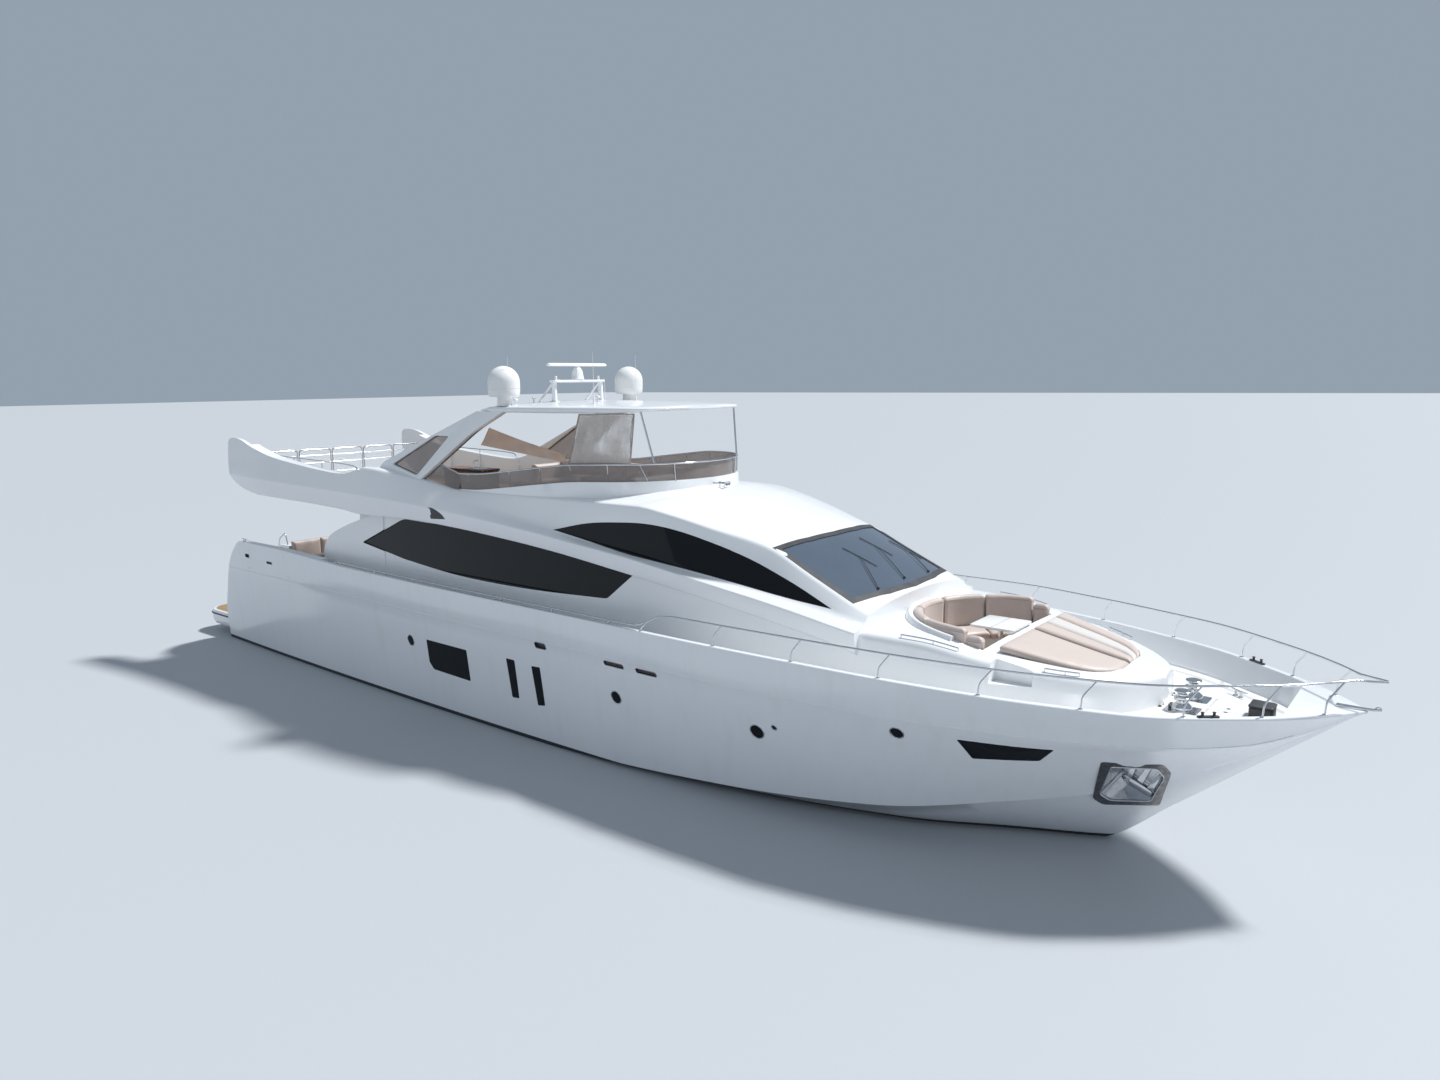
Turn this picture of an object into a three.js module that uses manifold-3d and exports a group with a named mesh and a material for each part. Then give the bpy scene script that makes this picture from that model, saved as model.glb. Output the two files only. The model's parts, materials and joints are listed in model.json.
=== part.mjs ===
// Flybridge motor yacht, about 29.8 m over all, built as a three.js scene graph.
// Millimetres. X forward to the bow, Y to port, Z up. The origin lies on the waterline plane,
// 12 m aft of the point where the stem meets the water.
import * as THREE from 'three';
import { mergeVertices } from 'three/addons/utils/BufferGeometryUtils.js';
import Module from 'manifold-3d';

const wasm = await Module();
wasm.setup();

// Driving dimensions
const seatGap = 0.3; // gap between pieces that touch
const deckZ = 2500; // side deck and foredeck
const soleZ = 2000; // cockpit and saloon sole
const flyDeckZ = 4620; // walking surface of the flybridge
const bulwarkWall = 110;
const houseWall = 90;
const bowTipX = 15400;
const transomX = -12950;
const hullStartX = -13200;
const cockpitAftX = -11350;
const bulkheadX = -5000;
const stepX = -6900;
const wellHalfWidth = 2350; // saloon well between the side decks
const houseEndX = 8500;
const platform = { aftX: -14500, halfWidth: 2560, top: 680, bottom: 220, corner: 520 };
const garage = { halfWidth: 1200, low: 860, high: 1840, frontX: -10400, doorThickness: 60, rim: 50, gap: 6, barrel: 14 };
const stairs = { inner: 1400, outer: 2540, risers: 5, tread: 300 };
const shaft = { y: 1150, exitX: -7000, exitZ: -690, slope: 9.5 * Math.PI / 180, radius: 45, length: 4150 };
const propeller = { radius: 500, hubRadius: 95, hubLength: 280, pitch: 1050, blades: 5 };
const rudder = { x: -12250, y: 1150, top: -740, bottom: -1720, stockRadius: 40, bore: 42 };
const dome = { x: -510, y: 1940, radius: 345, height: 720 };
const coaming = { front: 3750, wall: 90, screenHeight: 330, screenInset: 30, screenThickness: 12 };

const colours = {
  gelcoat: [0xf2f3f2, 0.28, 0.0],
  glass: [0x14181c, 0.06, 0.0],
  acrylic: [0x5a4638, 0.1, 0.0],
  steel: [0xc8ccd0, 0.2, 1.0],
  bronze: [0xb08d4c, 0.35, 1.0],
  cushion: [0xd8c3ae, 0.85, 0.0],
  teak: [0xa9784c, 0.7, 0.0],
  dark: [0x23262a, 0.5, 0.0],
};

// Solids from geometry and back
function toSolid(geometry) {
  const bare = geometry.clone();
  bare.deleteAttribute('normal');
  bare.deleteAttribute('uv');
  const merged = mergeVertices(bare, 1e-3);
  const index = [...merged.index.array];
  const triangles = [];
  for (let i = 0; i < index.length; i += 3) {
    const [a, b, c] = index.slice(i, i + 3);
    if (a !== b && b !== c && a !== c) triangles.push(a, b, c);
  }
  const mesh = new wasm.Mesh({
    numProp: 3,
    vertProperties: new Float32Array(merged.attributes.position.array),
    triVerts: new Uint32Array(triangles),
  });
  return new wasm.Manifold(mesh);
}

function toGeometry(solid) {
  const mesh = solid.getMesh();
  const geometry = new THREE.BufferGeometry();
  geometry.setAttribute('position', new THREE.BufferAttribute(new Float32Array(mesh.vertProperties), 3));
  geometry.setIndex(new THREE.BufferAttribute(new Uint32Array(mesh.triVerts), 1));
  geometry.computeVertexNormals();
  return geometry;
}

function unite(solids) {
  return solids.reduce((whole, piece) => whole.add(piece));
}

// A cap over a ring of points, wound the same way as the ring, in the plane that it faces most
function capTriangles(ring) {
  const normal = new THREE.Vector3();
  ring.forEach((p, i) => {
    const q = ring[(i + 1) % ring.length];
    normal.add(new THREE.Vector3(...p).cross(new THREE.Vector3(...q)));
  });
  const sizes = [Math.abs(normal.x), Math.abs(normal.y), Math.abs(normal.z)];
  const drop = sizes.indexOf(Math.max(...sizes));
  const flat = ring.map((p) => new THREE.Vector2(...p.filter((_, k) => k !== drop)));
  const turn = Math.sign(THREE.ShapeUtils.area(flat));
  return THREE.ShapeUtils.triangulateShape(flat, []).map(([a, b, c]) => {
    const side = Math.sign(THREE.ShapeUtils.area([flat[a], flat[b], flat[c]]));
    return side === turn ? [a, b, c] : [a, c, b];
  });
}

// A closed solid through rings of equally many [x, y, z] points
function loft(rings) {
  const count = rings[0].length;
  const faces = [];
  for (let r = 0; r + 1 < rings.length; r += 1) {
    for (let i = 0; i < count; i += 1) {
      const a = r * count + i;
      const b = r * count + ((i + 1) % count);
      faces.push([a, b, b + count], [a, b + count, a + count]);
    }
  }
  const last = (rings.length - 1) * count;
  capTriangles(rings[0]).forEach(([a, b, c]) => faces.push([a, c, b]));
  capTriangles(rings[rings.length - 1]).forEach(([a, b, c]) => faces.push([a + last, b + last, c + last]));
  const points = rings.flat();
  let volume = 0;
  faces.forEach(([a, b, c]) => {
    const pa = new THREE.Vector3(...points[a]);
    volume += pa.dot(new THREE.Vector3(...points[b]).cross(new THREE.Vector3(...points[c])));
  });
  const wound = volume > 0 ? faces : faces.map(([a, b, c]) => [a, c, b]);
  const geometry = new THREE.BufferGeometry();
  geometry.setAttribute('position', new THREE.Float32BufferAttribute(points.flat(), 3));
  geometry.setIndex(wound.flat());
  return toSolid(geometry);
}

// Straight prisms: a side view [x, z] across Y, a plan [x, y] up Z
function acrossY(points, low, high) {
  return loft([low, high].map((y) => points.map(([x, z]) => [x, y, z])));
}

function upZ(points, low, high) {
  return loft([low, high].map((z) => points.map(([x, y]) => [x, y, z])));
}

function box(x0, x1, y0, y1, z0, z1) {
  const geometry = new THREE.BoxGeometry(x1 - x0, y1 - y0, z1 - z0);
  geometry.translate((x0 + x1) / 2, (y0 + y1) / 2, (z0 + z1) / 2);
  return toSolid(geometry);
}

function mirrored(solid) {
  return solid.mirror([0, 1, 0]);
}

function bothSides(solid) {
  return solid.add(mirrored(solid));
}

// A cylinder between two points
function rod(from, to, radius, sides = 12) {
  const start = new THREE.Vector3(...from);
  const end = new THREE.Vector3(...to);
  const geometry = new THREE.CylinderGeometry(radius, radius, start.distanceTo(end), sides);
  const turn = new THREE.Quaternion().setFromUnitVectors(
    new THREE.Vector3(0, 1, 0),
    end.clone().sub(start).normalize(),
  );
  geometry.applyQuaternion(turn);
  geometry.translate(...start.add(end).multiplyScalar(0.5).toArray());
  return toSolid(geometry);
}

// A round tube along a smooth curve through points
function tube(points, radius, steps, sides = 8) {
  const curve = new THREE.CatmullRomCurve3(points.map((p) => new THREE.Vector3(...p)), false, 'centripetal');
  const section = new THREE.Shape();
  for (let i = 0; i < sides; i += 1) {
    const angle = 2 * Math.PI * i / sides;
    const method = i === 0 ? 'moveTo' : 'lineTo';
    section[method](radius * Math.cos(angle), radius * Math.sin(angle));
  }
  return toSolid(new THREE.ExtrudeGeometry(section, { steps, extrudePath: curve, bevelEnabled: false }));
}

// A turned piece on the Z axis from a profile of [radius, z]
function turned(profile, sides = 24) {
  const geometry = new THREE.LatheGeometry(profile.map(([r, z]) => new THREE.Vector2(r, z)), sides);
  geometry.rotateX(Math.PI / 2);
  return toSolid(geometry);
}

// A smooth reading of a table of rows at any x: rows are arrays whose first number is x
function readTable(rows, x) {
  const last = rows.length - 1;
  const clamped = Math.min(Math.max(x, rows[0][0]), rows[last][0]);
  let i = 0;
  while (i < last - 1 && rows[i + 1][0] < clamped) i += 1;
  const width = rows[i + 1][0] - rows[i][0];
  const t = (clamped - rows[i][0]) / width;
  const slope = (k, col) => {
    if (k === 0 || k === last) {
      const j = k === 0 ? 0 : last - 1;
      return (rows[j + 1][col] - rows[j][col]) / (rows[j + 1][0] - rows[j][0]);
    }
    const before = (rows[k][col] - rows[k - 1][col]) / (rows[k][0] - rows[k - 1][0]);
    const after = (rows[k + 1][col] - rows[k][col]) / (rows[k + 1][0] - rows[k][0]);
    if (before * after <= 0) return 0;
    return 2 * before * after / (before + after);
  };
  return rows[0].map((_, col) => {
    if (col === 0) return clamped;
    const a = rows[i][col];
    const b = rows[i + 1][col];
    const ta = slope(i, col) * width;
    const tb = slope(i + 1, col) * width;
    const t2 = t * t;
    const t3 = t2 * t;
    return (2 * t3 - 3 * t2 + 1) * a + (t3 - 2 * t2 + t) * ta + (3 * t2 - 2 * t3) * b + (t3 - t2) * tb;
  });
}

function steps(from, to, count) {
  return Array.from({ length: count + 1 }, (_, i) => from + (to - from) * i / count);
}

// Points of one side, mirrored into a closed ring around the centre line
function ringFromSide(x, side) {
  const port = side.map(([y, z]) => [x, y, z]);
  const starboard = side.filter(([y]) => y > 0).map(([y, z]) => [x, -y, z]).reverse();
  return [...port, ...starboard];
}

// Moves the edges of a convex outline outwards by a distance
function grow(points, distance) {
  const area = THREE.ShapeUtils.area(points.map((p) => new THREE.Vector2(...p)));
  const sign = Math.sign(area);
  return points.map((p, i) => {
    const before = points[(i + points.length - 1) % points.length];
    const after = points[(i + 1) % points.length];
    const n1 = new THREE.Vector2(p[1] - before[1], before[0] - p[0]).normalize();
    const n2 = new THREE.Vector2(after[1] - p[1], p[0] - after[0]).normalize();
    const middle = n1.clone().add(n2);
    const length = 2 * distance * sign / middle.lengthSq();
    return [p[0] + middle.x * length, p[1] + middle.y * length];
  });
}

// Hull sections: x, keel z, chine y, chine z, knuckle y, knuckle z, sheer y, sheer z
const hullTable = [
  [-13200, -850, 2560, -180, 2755, 2250, 2800, 3110],
  [-9500, -980, 2700, -180, 2870, 2280, 2920, 3110],
  [-5000, -1080, 2790, -150, 2985, 2300, 3040, 3005],
  [-1000, -1130, 2820, -80, 3070, 2310, 3140, 3000],
  [3000, -1130, 2780, 60, 3120, 2320, 3200, 3000],
  [6000, -1050, 2640, 240, 3150, 2320, 3250, 3000],
  [9000, -800, 2230, 520, 2960, 2320, 3170, 2995],
  [11000, -350, 1500, 880, 2480, 2295, 2850, 2945],
  [12000, 0, 1100, 1110, 2110, 2280, 2560, 2915],
  [13000, 830, 740, 1450, 1640, 2270, 2190, 2890],
  [14000, 1680, 400, 1950, 1000, 2330, 1500, 2876],
  [14800, 2360, 130, 2450, 390, 2560, 800, 2870],
  [15250, 2740, 40, 2765, 100, 2800, 240, 2870],
  [bowTipX, 2840, 14, 2848, 18, 2856, 26, 2870],
];

function hullSection(x) {
  const [, keel, chineY, chineZ, knuckleY, knuckleZ, sheerY, sheerZ] = readTable(hullTable, x);
  const hollow = 0.06 * (knuckleY - chineY);
  const flat = Math.min(70, chineY * 0.1);
  return [
    [0, keel],
    [chineY * 0.5, keel + (chineZ - keel) * 0.46],
    [chineY - flat, chineZ - flat * 0.2],
    [chineY, chineZ],
    [(chineY + knuckleY) / 2 - hollow, (chineZ + knuckleZ) / 2],
    [knuckleY, knuckleZ],
    [sheerY, sheerZ],
  ];
}

// Half breadth of the hull side at a place and height
function hullY(x, z) {
  const side = hullSection(x).slice(3);
  for (let i = 0; i + 1 < side.length; i += 1) {
    const [y0, z0] = side[i];
    const [y1, z1] = side[i + 1];
    if (z <= z1) return y0 + (y1 - y0) * (z - z0) / (z1 - z0);
  }
  return side[side.length - 1][0];
}

function sheerAt(x) {
  const row = readTable(hullTable, x);
  return { y: row[6], z: row[7] };
}

// Wall thickness seen across the boat where the side runs in towards the bow
function wallAcross(x, wall) {
  const slope = (sheerAt(x + 50).y - sheerAt(x - 50).y) / 100;
  return wall * Math.hypot(1, slope);
}

function insideBulwarks() {
  const places = [...steps(-6500, 9500, 12), ...steps(10300, 14500, 9)];
  return loft(places.map((x) => {
    const sheer = sheerAt(x);
    const wall = wallAcross(x, bulwarkWall);
    const low = Math.max(hullY(x, deckZ) - wall, 60);
    const high = Math.max(sheer.y - wall, 80);
    return ringFromSide(x, [[low, deckZ], [high, sheer.z], [high, 3400]]);
  }));
}

// The slope of the transom between the stairs, and of the door in it
const transomLow = { x: -12780, z: 700 };
const transomHigh = { x: -11950, z: 2740 };
const transomLean = (transomHigh.x - transomLow.x) / (transomHigh.z - transomLow.z);
function transomAt(z) {
  return transomLow.x + transomLean * (z - transomLow.z);
}

function cockpitCuts() {
  const quarter = [
    [-13400, 3400], [-11250, 3400], [-11330, 3090], [-11560, 2990], [-11900, 2680], [-12300, 2190],
    [-12660, 1470], [-12870, 1000], [transomX, 620], [transomX, -1500], [-13400, -1500],
  ];
  const wells = Array.from({ length: stairs.risers }, (_, i) => {
    const z = platform.top + (soleZ - platform.top) * (i + 1) / stairs.risers;
    const front = transomX + stairs.tread * (i + 1);
    return box(-13500, front, stairs.inner, stairs.outer, z - (soleZ - platform.top) / stairs.risers, 3400);
  });
  const landing = box(transomX, cockpitAftX + 10, stairs.inner, stairs.outer, soleZ, 3400);
  const centre = acrossY([
    [-13400, 700], [transomLow.x, 700], [transomHigh.x, transomHigh.z], [cockpitAftX + 5, transomHigh.z],
    [cockpitAftX + 5, 3400], [-13400, 3400],
  ], -stairs.inner - 1, stairs.inner + 1);
  return [
    acrossY(quarter, -3200, 3200),
    bothSides(unite([...wells, landing])),
    centre,
    box(cockpitAftX, stepX, -2700, 2700, soleZ, 3400),
    box(stepX - 5, 2500, -wellHalfWidth, wellHalfWidth, soleZ, 3400),
    bothSides(box(stepX - 5, -6495, wellHalfWidth - 5, 2900, (soleZ + deckZ) / 2, 3400)),
  ];
}

function garageCuts() {
  const { halfWidth, low, high, frontX, doorThickness, rim, gap } = garage;
  const room = acrossY([
    [transomAt(low) - 400, low], [frontX, low], [frontX, high], [transomAt(high) - 400, high],
  ], -halfWidth, halfWidth);
  const back = doorThickness + gap;
  const recess = acrossY([
    [transomAt(low - rim) - 400, low - rim], [transomAt(low - rim) + back, low - rim],
    [transomAt(high + rim) + back, high + rim], [transomAt(high + rim) - 400, high + rim],
  ], -halfWidth - rim, halfWidth + rim);
  return [room, recess, garageBarrels(garage.barrel + 0.8, 2)];
}

// Hinge barrels of the garage door, on the top edge of its recess
function garageBarrels(radius, endGap) {
  const { halfWidth, high, rim } = garage;
  const x = transomAt(high + rim) - 4;
  const z = high + rim;
  return unite([-0.7, 0, 0.7].map((share) => {
    const y = share * halfWidth;
    return rod([x, y - 130 - endGap, z], [x, y + 130 + endGap, z], radius, 12);
  }));
}

function shaftPoint(along) {
  return [
    shaft.exitX - along * Math.cos(shaft.slope),
    shaft.exitZ - along * Math.sin(shaft.slope),
  ];
}

function underwaterBores() {
  const [x0, z0] = shaftPoint(-420);
  const [x1, z1] = shaftPoint(1200);
  const tunnel = rod([x0, shaft.y, z0], [x1, shaft.y, z1], shaft.radius + 2.2, 16);
  const stock = rod([rudder.x, rudder.y, -300], [rudder.x, rudder.y, -1000], rudder.bore, 16);
  return bothSides(tunnel).add(bothSides(stock));
}

const pocket = { aftX: 12150, foreX: 13020, low: 1010, high: 1760, innerY: 430 };
function anchorPockets() {
  const { aftX, foreX, low, high, innerY } = pocket;
  const outline = [[aftX, low + 130], [aftX + 110, low], [foreX - 250, low], [foreX, high - 200], [foreX - 60, high],
    [aftX + 250, high]];
  return bothSides(acrossY(outline, innerY, 2400));
}

const locker = { aftX: 13380, foreX: 13900, innerY: 40, outerY: 520, depth: 240, lid: 30, rim: 25 };
function lockerCuts() {
  const { aftX, foreX, innerY, outerY, depth, lid, rim } = locker;
  const well = box(aftX + rim, foreX - rim, innerY + rim, outerY - rim, deckZ - depth, deckZ + 10);
  const seat = box(aftX, foreX, innerY, outerY, deckZ - lid - seatGap, deckZ + 10);
  return bothSides(well.add(seat));
}

function hullSolid() {
  const places = [...steps(hullStartX, 9000, 24), ...steps(9500, 14800, 11), 15050, 15250, bowTipX];
  let hull = loft(places.map((x) => ringFromSide(x, [...hullSection(x), [0, sheerAt(x).z]])));
  const cuts = [insideBulwarks(), ...cockpitCuts(), ...garageCuts(), underwaterBores(), anchorPockets(),
    lockerCuts()];
  cuts.forEach((cut) => {
    hull = hull.subtract(cut);
  });
  return hull;
}

// Superstructure sections: x, foot y, low y, low z, soffit y, soffit z, arm y, arm z, ledge y, ledge z,
// shoulder y, shoulder z, roof z on the centre line
const houseTable = [
  [-5000, 2500, 2460, 4330, 2840, 4350, 2950, 4840, 2840, 5180, 2720, 5500, 5500],
  [-2800, 2520, 2465, 4340, 2800, 4380, 2900, 4760, 2730, 5040, 2540, 5290, 5290],
  [-1500, 2530, 2465, 4290, 2760, 4330, 2850, 4680, 2670, 4930, 2480, 5140, 5150],
  [0, 2530, 2455, 4190, 2700, 4230, 2800, 4560, 2590, 4740, 2450, 5140, 5180],
  [1450, 2515, 2435, 4060, 2620, 4100, 2710, 4420, 2450, 4480, 2400, 5140, 5250],
  [3650, 2455, 2375, 3790, 2500, 3820, 2580, 4160, 2330, 4220, 2280, 5130, 5340],
  [4400, 2425, 2345, 3690, 2460, 3720, 2540, 4060, 2285, 4110, 2200, 5020, 5220],
  [5250, 2385, 2305, 3570, 2420, 3600, 2490, 3930, 2225, 3980, 2050, 4830, 5010],
  [6450, 2315, 2250, 3380, 2350, 3410, 2420, 3740, 2130, 3800, 1760, 4520, 4680],
  [7300, 2265, 2215, 3250, 2300, 3270, 2360, 3590, 2060, 3690, 1785, 4130, 4330],
  [8190, 2215, 2180, 3080, 2250, 3100, 2300, 3420, 2000, 3520, 1810, 3730, 3890],
  [houseEndX, 2200, 2170, 3000, 2240, 3020, 2285, 3370, 1980, 3460, 1800, 3600, 3740],
];

const flatEndX = coaming.front + 100; // the saloon ceiling runs flat under the flybridge to here

// The superstructure, or the same set in by a wall thickness
function house(inset, fromX, toX, flatCeiling = false) {
  const places = [...steps(-5000, 1450, 9), ...steps(2000, 3500, 3), flatEndX, flatEndX + 300, ...steps(4500, 6000, 3),
    6450, 6880, 7300, 7740, 8190, houseEndX].filter((x) => x > fromX + 1 && x < toX - 1);
  return loft([fromX, ...places, toX].map((x) => {
    const r = readTable(houseTable, x);
    const flat = flatCeiling && x <= flatEndX;
    const top = flat ? Math.min(r[11], flyDeckZ - 170 + inset) : r[11];
    const roof = flat ? Math.min(r[12], flyDeckZ - 170 + inset) : r[12];
    const ledge = Math.min(r[9], top - 60);
    const arm = Math.min(r[7], ledge - 60);
    const soffit = Math.min(r[5], arm - 60);
    const low = Math.min(r[3], soffit - 30);
    return ringFromSide(x, [
      [0, deckZ - (inset > 0 ? 200 : -seatGap)],
      [r[1] - inset, deckZ - (inset > 0 ? 200 : -seatGap)],
      [r[2] - inset, low],
      [(inset > 0 ? r[2] : r[4]) - inset, soffit],
      [(inset > 0 ? r[8] : r[6]) - inset, arm],
      [r[8] - inset, ledge],
      [r[10] - inset * 0.8, top - inset],
      [r[10] * 0.5, top - inset + (roof - top) * 0.8],
      [0, roof - inset],
    ]);
  }));
}

// The parting line between deckhouse and flybridge moulding, which follows the tops of the windows
const partingLine = [
  [-14000, 4342], [-5000, 4342], [-2800, 4352], [-1500, 4302], [0, 4202], [700, 4150], [1400, 4520], [2400, 4730],
  [3300, 4815], [3950, 4830], [4600, 4760], [5300, 4600], [5950, 4400], [7000, 4030], [7950, 3640], [8200, 3500],
];
function aboveParting(gap) {
  const sides = acrossY([
    ...partingLine.map(([x, z]) => [x, z + gap]),
    [houseEndX + 300, 3500 + gap], [houseEndX + 300, 9000], [-14000, 9000],
  ], -4000, 4000);
  const ceiling = box(1000 + gap, flatEndX + 280 - gap, -2100 + gap, 2100 - gap, flyDeckZ - 190 + gap, 6000);
  return sides.add(ceiling);
}

const saloonWindow = [[-5560, 3570], [-3780, 4300], [-1500, 4262], [0, 4160], [2000, 3985], [3640, 3800], [2960, 3250],
  [600, 3165], [-1700, 3180], [-3800, 3330]];
const pilotWindow = [[1480, 4500], [2400, 4700], [3300, 4785], [3950, 4800], [4600, 4730], [5300, 4570], [5950, 4370],
  [7000, 4000], [7880, 3640], [6800, 3770], [5250, 3990], [3300, 4240]];
const windscreen = [[6560, -1640], [6690, -820], [6730, 0], [6690, 820], [6560, 1640], [8110, 1690], [8290, 850],
  [8350, 0], [8290, -850], [8110, -1690]];
const cornerGap = 0.4;

function windowCut(outline, gap) {
  return bothSides(acrossY(grow(outline, gap), 1500, 3200));
}

function houseShell() {
  const shell = house(0, bulkheadX, houseEndX).subtract(house(houseWall, bulkheadX - 50, houseEndX - 60, true));
  return shell
    .subtract(windowCut(pilotWindow, cornerGap))
    .subtract(upZ(grow(windscreen, cornerGap), 3600, 5200));
}

// The side walls run past the saloon bulkhead and shelter the cockpit
function fashionPlates() {
  const outline = [[bulkheadX + 400, deckZ + seatGap], [bulkheadX + 400, 4330], [-4900, 4330], [-5600, 4140],
    [-6300, 3920], [-6900, 3690], [-7120, 3560], [-7330, 3330], [-7420, 3080], [-7400, deckZ + seatGap]];
  return bothSides(acrossY(outline, 2400, 2500));
}

function deckhouseSolid() {
  const aftSupport = box(-7500, -6500, wellHalfWidth, 2600, deckZ - 300, deckZ + 1);
  return houseShell()
    .subtract(aboveParting(-seatGap))
    .add(fashionPlates().subtract(aboveParting(-seatGap)))
    .subtract(windowCut(saloonWindow, cornerGap))
    .subtract(bothSides(aftSupport));
}

// Aft deck of the flybridge: x, soffit y, soffit z, arm y, arm z, top y, top z
const aftFlyTable = [
  [-10300, 2780, 4500, 2950, 4960, 2850, 5850],
  [-9900, 2785, 4490, 2952, 4950, 2845, 5750],
  [-9000, 2800, 4480, 2955, 4930, 2830, 5550],
  [-7500, 2810, 4460, 2960, 4900, 2805, 5410],
  [-5900, 2830, 4420, 2958, 4870, 2770, 5290],
  [-4950, 2840, 4352, 2950, 4840, 2720, 5490],
];
const soffitRise = 60;

function aftFlyDeck() {
  return loft(aftFlyTable.map(([x, soffitY, soffitZ, armY, armZ, topY, topZ]) => ringFromSide(x, [
    [0, soffitZ + soffitRise], [soffitY - 300, soffitZ + soffitRise * 0.6], [soffitY, soffitZ], [armY, armZ],
    [topY, topZ], [0, topZ],
  ])));
}

function wings() {
  const outline = [[-10250, 5860], [-10650, 5985], [-11000, 6020], [-11400, 6015], [-11520, 5900], [-11480, 5300],
    [-11380, 4930], [-11150, 4740], [-10700, 4580], [-10250, 4498]];
  return bothSides(acrossY(outline, 2780, 2950));
}

// Plan of the flybridge coaming, one side from aft to the centre line
const coamingPlan = [[-1600, 2455], [0, 2430], [1400, 2330], [2300, 2130], [2900, 1820], [3350, 1330], [3640, 700],
  [coaming.front, 0]];
const coamingTop = [[-1600, 5145], [-900, 5170], [0, 5270], [1000, 5390], [1900, 5480], [3000, 5500],
  [coaming.front + 60, 5500]];

function fullPlan(inset) {
  const outer = coamingPlan.map(([x, y]) => [x - inset * x / coaming.front * (x > 0 ? 1 : 0), y - inset * (y > 0 ? 1 : 0)]);
  const mirror = outer.filter(([, y]) => y > 0).map(([x, y]) => [x, -y]).reverse();
  return [...outer, ...mirror];
}

function underCoamingTop(rise, drop) {
  return acrossY([
    ...coamingTop.map(([x, z]) => [x, z + rise]),
    ...coamingTop.map(([x, z]) => [x, z - drop]).reverse(),
  ], -3000, 3000);
}

function flybridgeSolid() {
  const recess = upZ([...fullPlan(coaming.wall)], flyDeckZ, 6000)
    .add(box(-11800, -1500, -2340, 2340, flyDeckZ, 6500))
    .add(box(-11800, -4700, -2560, 2560, flyDeckZ, 6500));
  const rim = upZ(fullPlan(0), 4900, 5700).intersect(underCoamingTop(0, 900));
  return house(0, bulkheadX, houseEndX)
    .subtract(house(houseWall, bulkheadX - 50, houseEndX - 60, true))
    .subtract(upZ(grow(windscreen, cornerGap), 3600, 5200))
    .subtract(windowCut(pilotWindow, cornerGap))
    .intersect(aboveParting(0))
    .add(aftFlyDeck())
    .add(wings())
    .add(rim)
    .subtract(recess);
}

// Panes lie in the wall, flush with their openings
const paneDepth = { outer: 15, thickness: 26 };
function paneBand() {
  return house(paneDepth.outer, bulkheadX + 5, houseEndX - 10)
    .subtract(house(paneDepth.outer + paneDepth.thickness, bulkheadX - 50, houseEndX - 40));
}

// The saloon pane runs on over the fashion plate aft of the bulkhead
function saloonPane() {
  const onPlate = acrossY(saloonWindow, 2459, 2485).intersect(box(-6000, bulkheadX + 20, 2000, 3000, 3000, 5000));
  return paneBand().intersect(acrossY(saloonWindow, 1500, 3200)).add(onPlate);
}

// Tinted screen standing on the coaming, or with room round it, the groove that its rail needs
function flyScreen(room = 0) {
  const { screenInset, screenThickness, screenHeight } = coaming;
  const band = upZ(fullPlan(screenInset - room), 5000, 6100)
    .subtract(upZ(fullPlan(screenInset + screenThickness + room), 4900, 6200))
    .subtract(box(-3000, -1560 - room, -3000, 3000, 4000, 7000));
  return band.intersect(underCoamingTop(screenHeight + room, -seatGap));
}

function screenRail() {
  const middle = coaming.screenInset + coaming.screenThickness / 2;
  const lift = coaming.screenHeight + 12;
  const zAt = (x) => readTable(coamingTop, x)[1] + lift;
  const side = coamingPlan.slice(0, -1).map(([x, y]) => [x, y - middle]);
  const path = [...side, [coaming.front - middle, 0], ...side.map(([x, y]) => [x, -y]).reverse()];
  return tube(path.map(([x, y]) => [x, y, zAt(x)]), 18, 36, 6);
}

const archFoot = 5200;
const archLean = 0.28;
function archLeg() {
  const outline = [[-4700, 5300], [-4620, 5545], [-1230, 6850], [-405, 6850], [-1350, 6390], [-3000, 5240],
    [-3050, 5150]];
  const hole = [[-4130, 5580], [-2660, 6290], [-2130, 6290], [-3080, 5370]];
  const leg = acrossY(outline, 2400, 2560).subtract(acrossY(hole, 2000, 3000));
  return leg.warp((p) => {
    p[1] -= (p[2] - archFoot) * archLean;
  });
}

// Hardtop sections: x, half width, bottom z, edge top z, crown z
const hardtopTable = [
  [-1300, 1980, 6840, 6900, 6960],
  [-700, 2120, 6840, 6960, 7040],
  [500, 2080, 6840, 6970, 7060],
  [1900, 1900, 6845, 6970, 7055],
  [2700, 1740, 6860, 6965, 7040],
  [3150, 1560, 6880, 6960, 7015],
  [3400, 1150, 6900, 6960, 6995],
  [3520, 600, 6915, 6955, 6975],
];
function hardtopSolid() {
  return loft(hardtopTable.map(([x, halfWidth, bottom, edge, crown]) => ringFromSide(x, [
    [0, bottom], [halfWidth - 40, bottom], [halfWidth, (bottom + edge) / 2], [halfWidth - 30, edge],
    [halfWidth * 0.6, edge + (crown - edge) * 0.75], [0, crown],
  ])));
}

// Foredeck lounge: x, foot y, edge y, edge z
const loungeTable = [
  [8500, 2200, 2150, 3370],
  [9500, 2150, 2080, 3350],
  [10600, 2020, 1930, 3190],
  [11500, 1700, 1600, 3070],
  [12200, 1250, 1150, 2990],
  [12600, 800, 700, 2950],
  [12800, 330, 260, 2930],
];
const sofaRing = { x: 10080, outer: 1560, inner: 1420, seat: 820, seatZ: 2960, backTop: 3560, length: 300 };
const sunpad = { aftX: 10600, foreX: 12230, aftHalf: 1400, foreHalf: 780, aftZ: 3225, foreZ: 2890, gap: 60, thickness: 125 };

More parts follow.
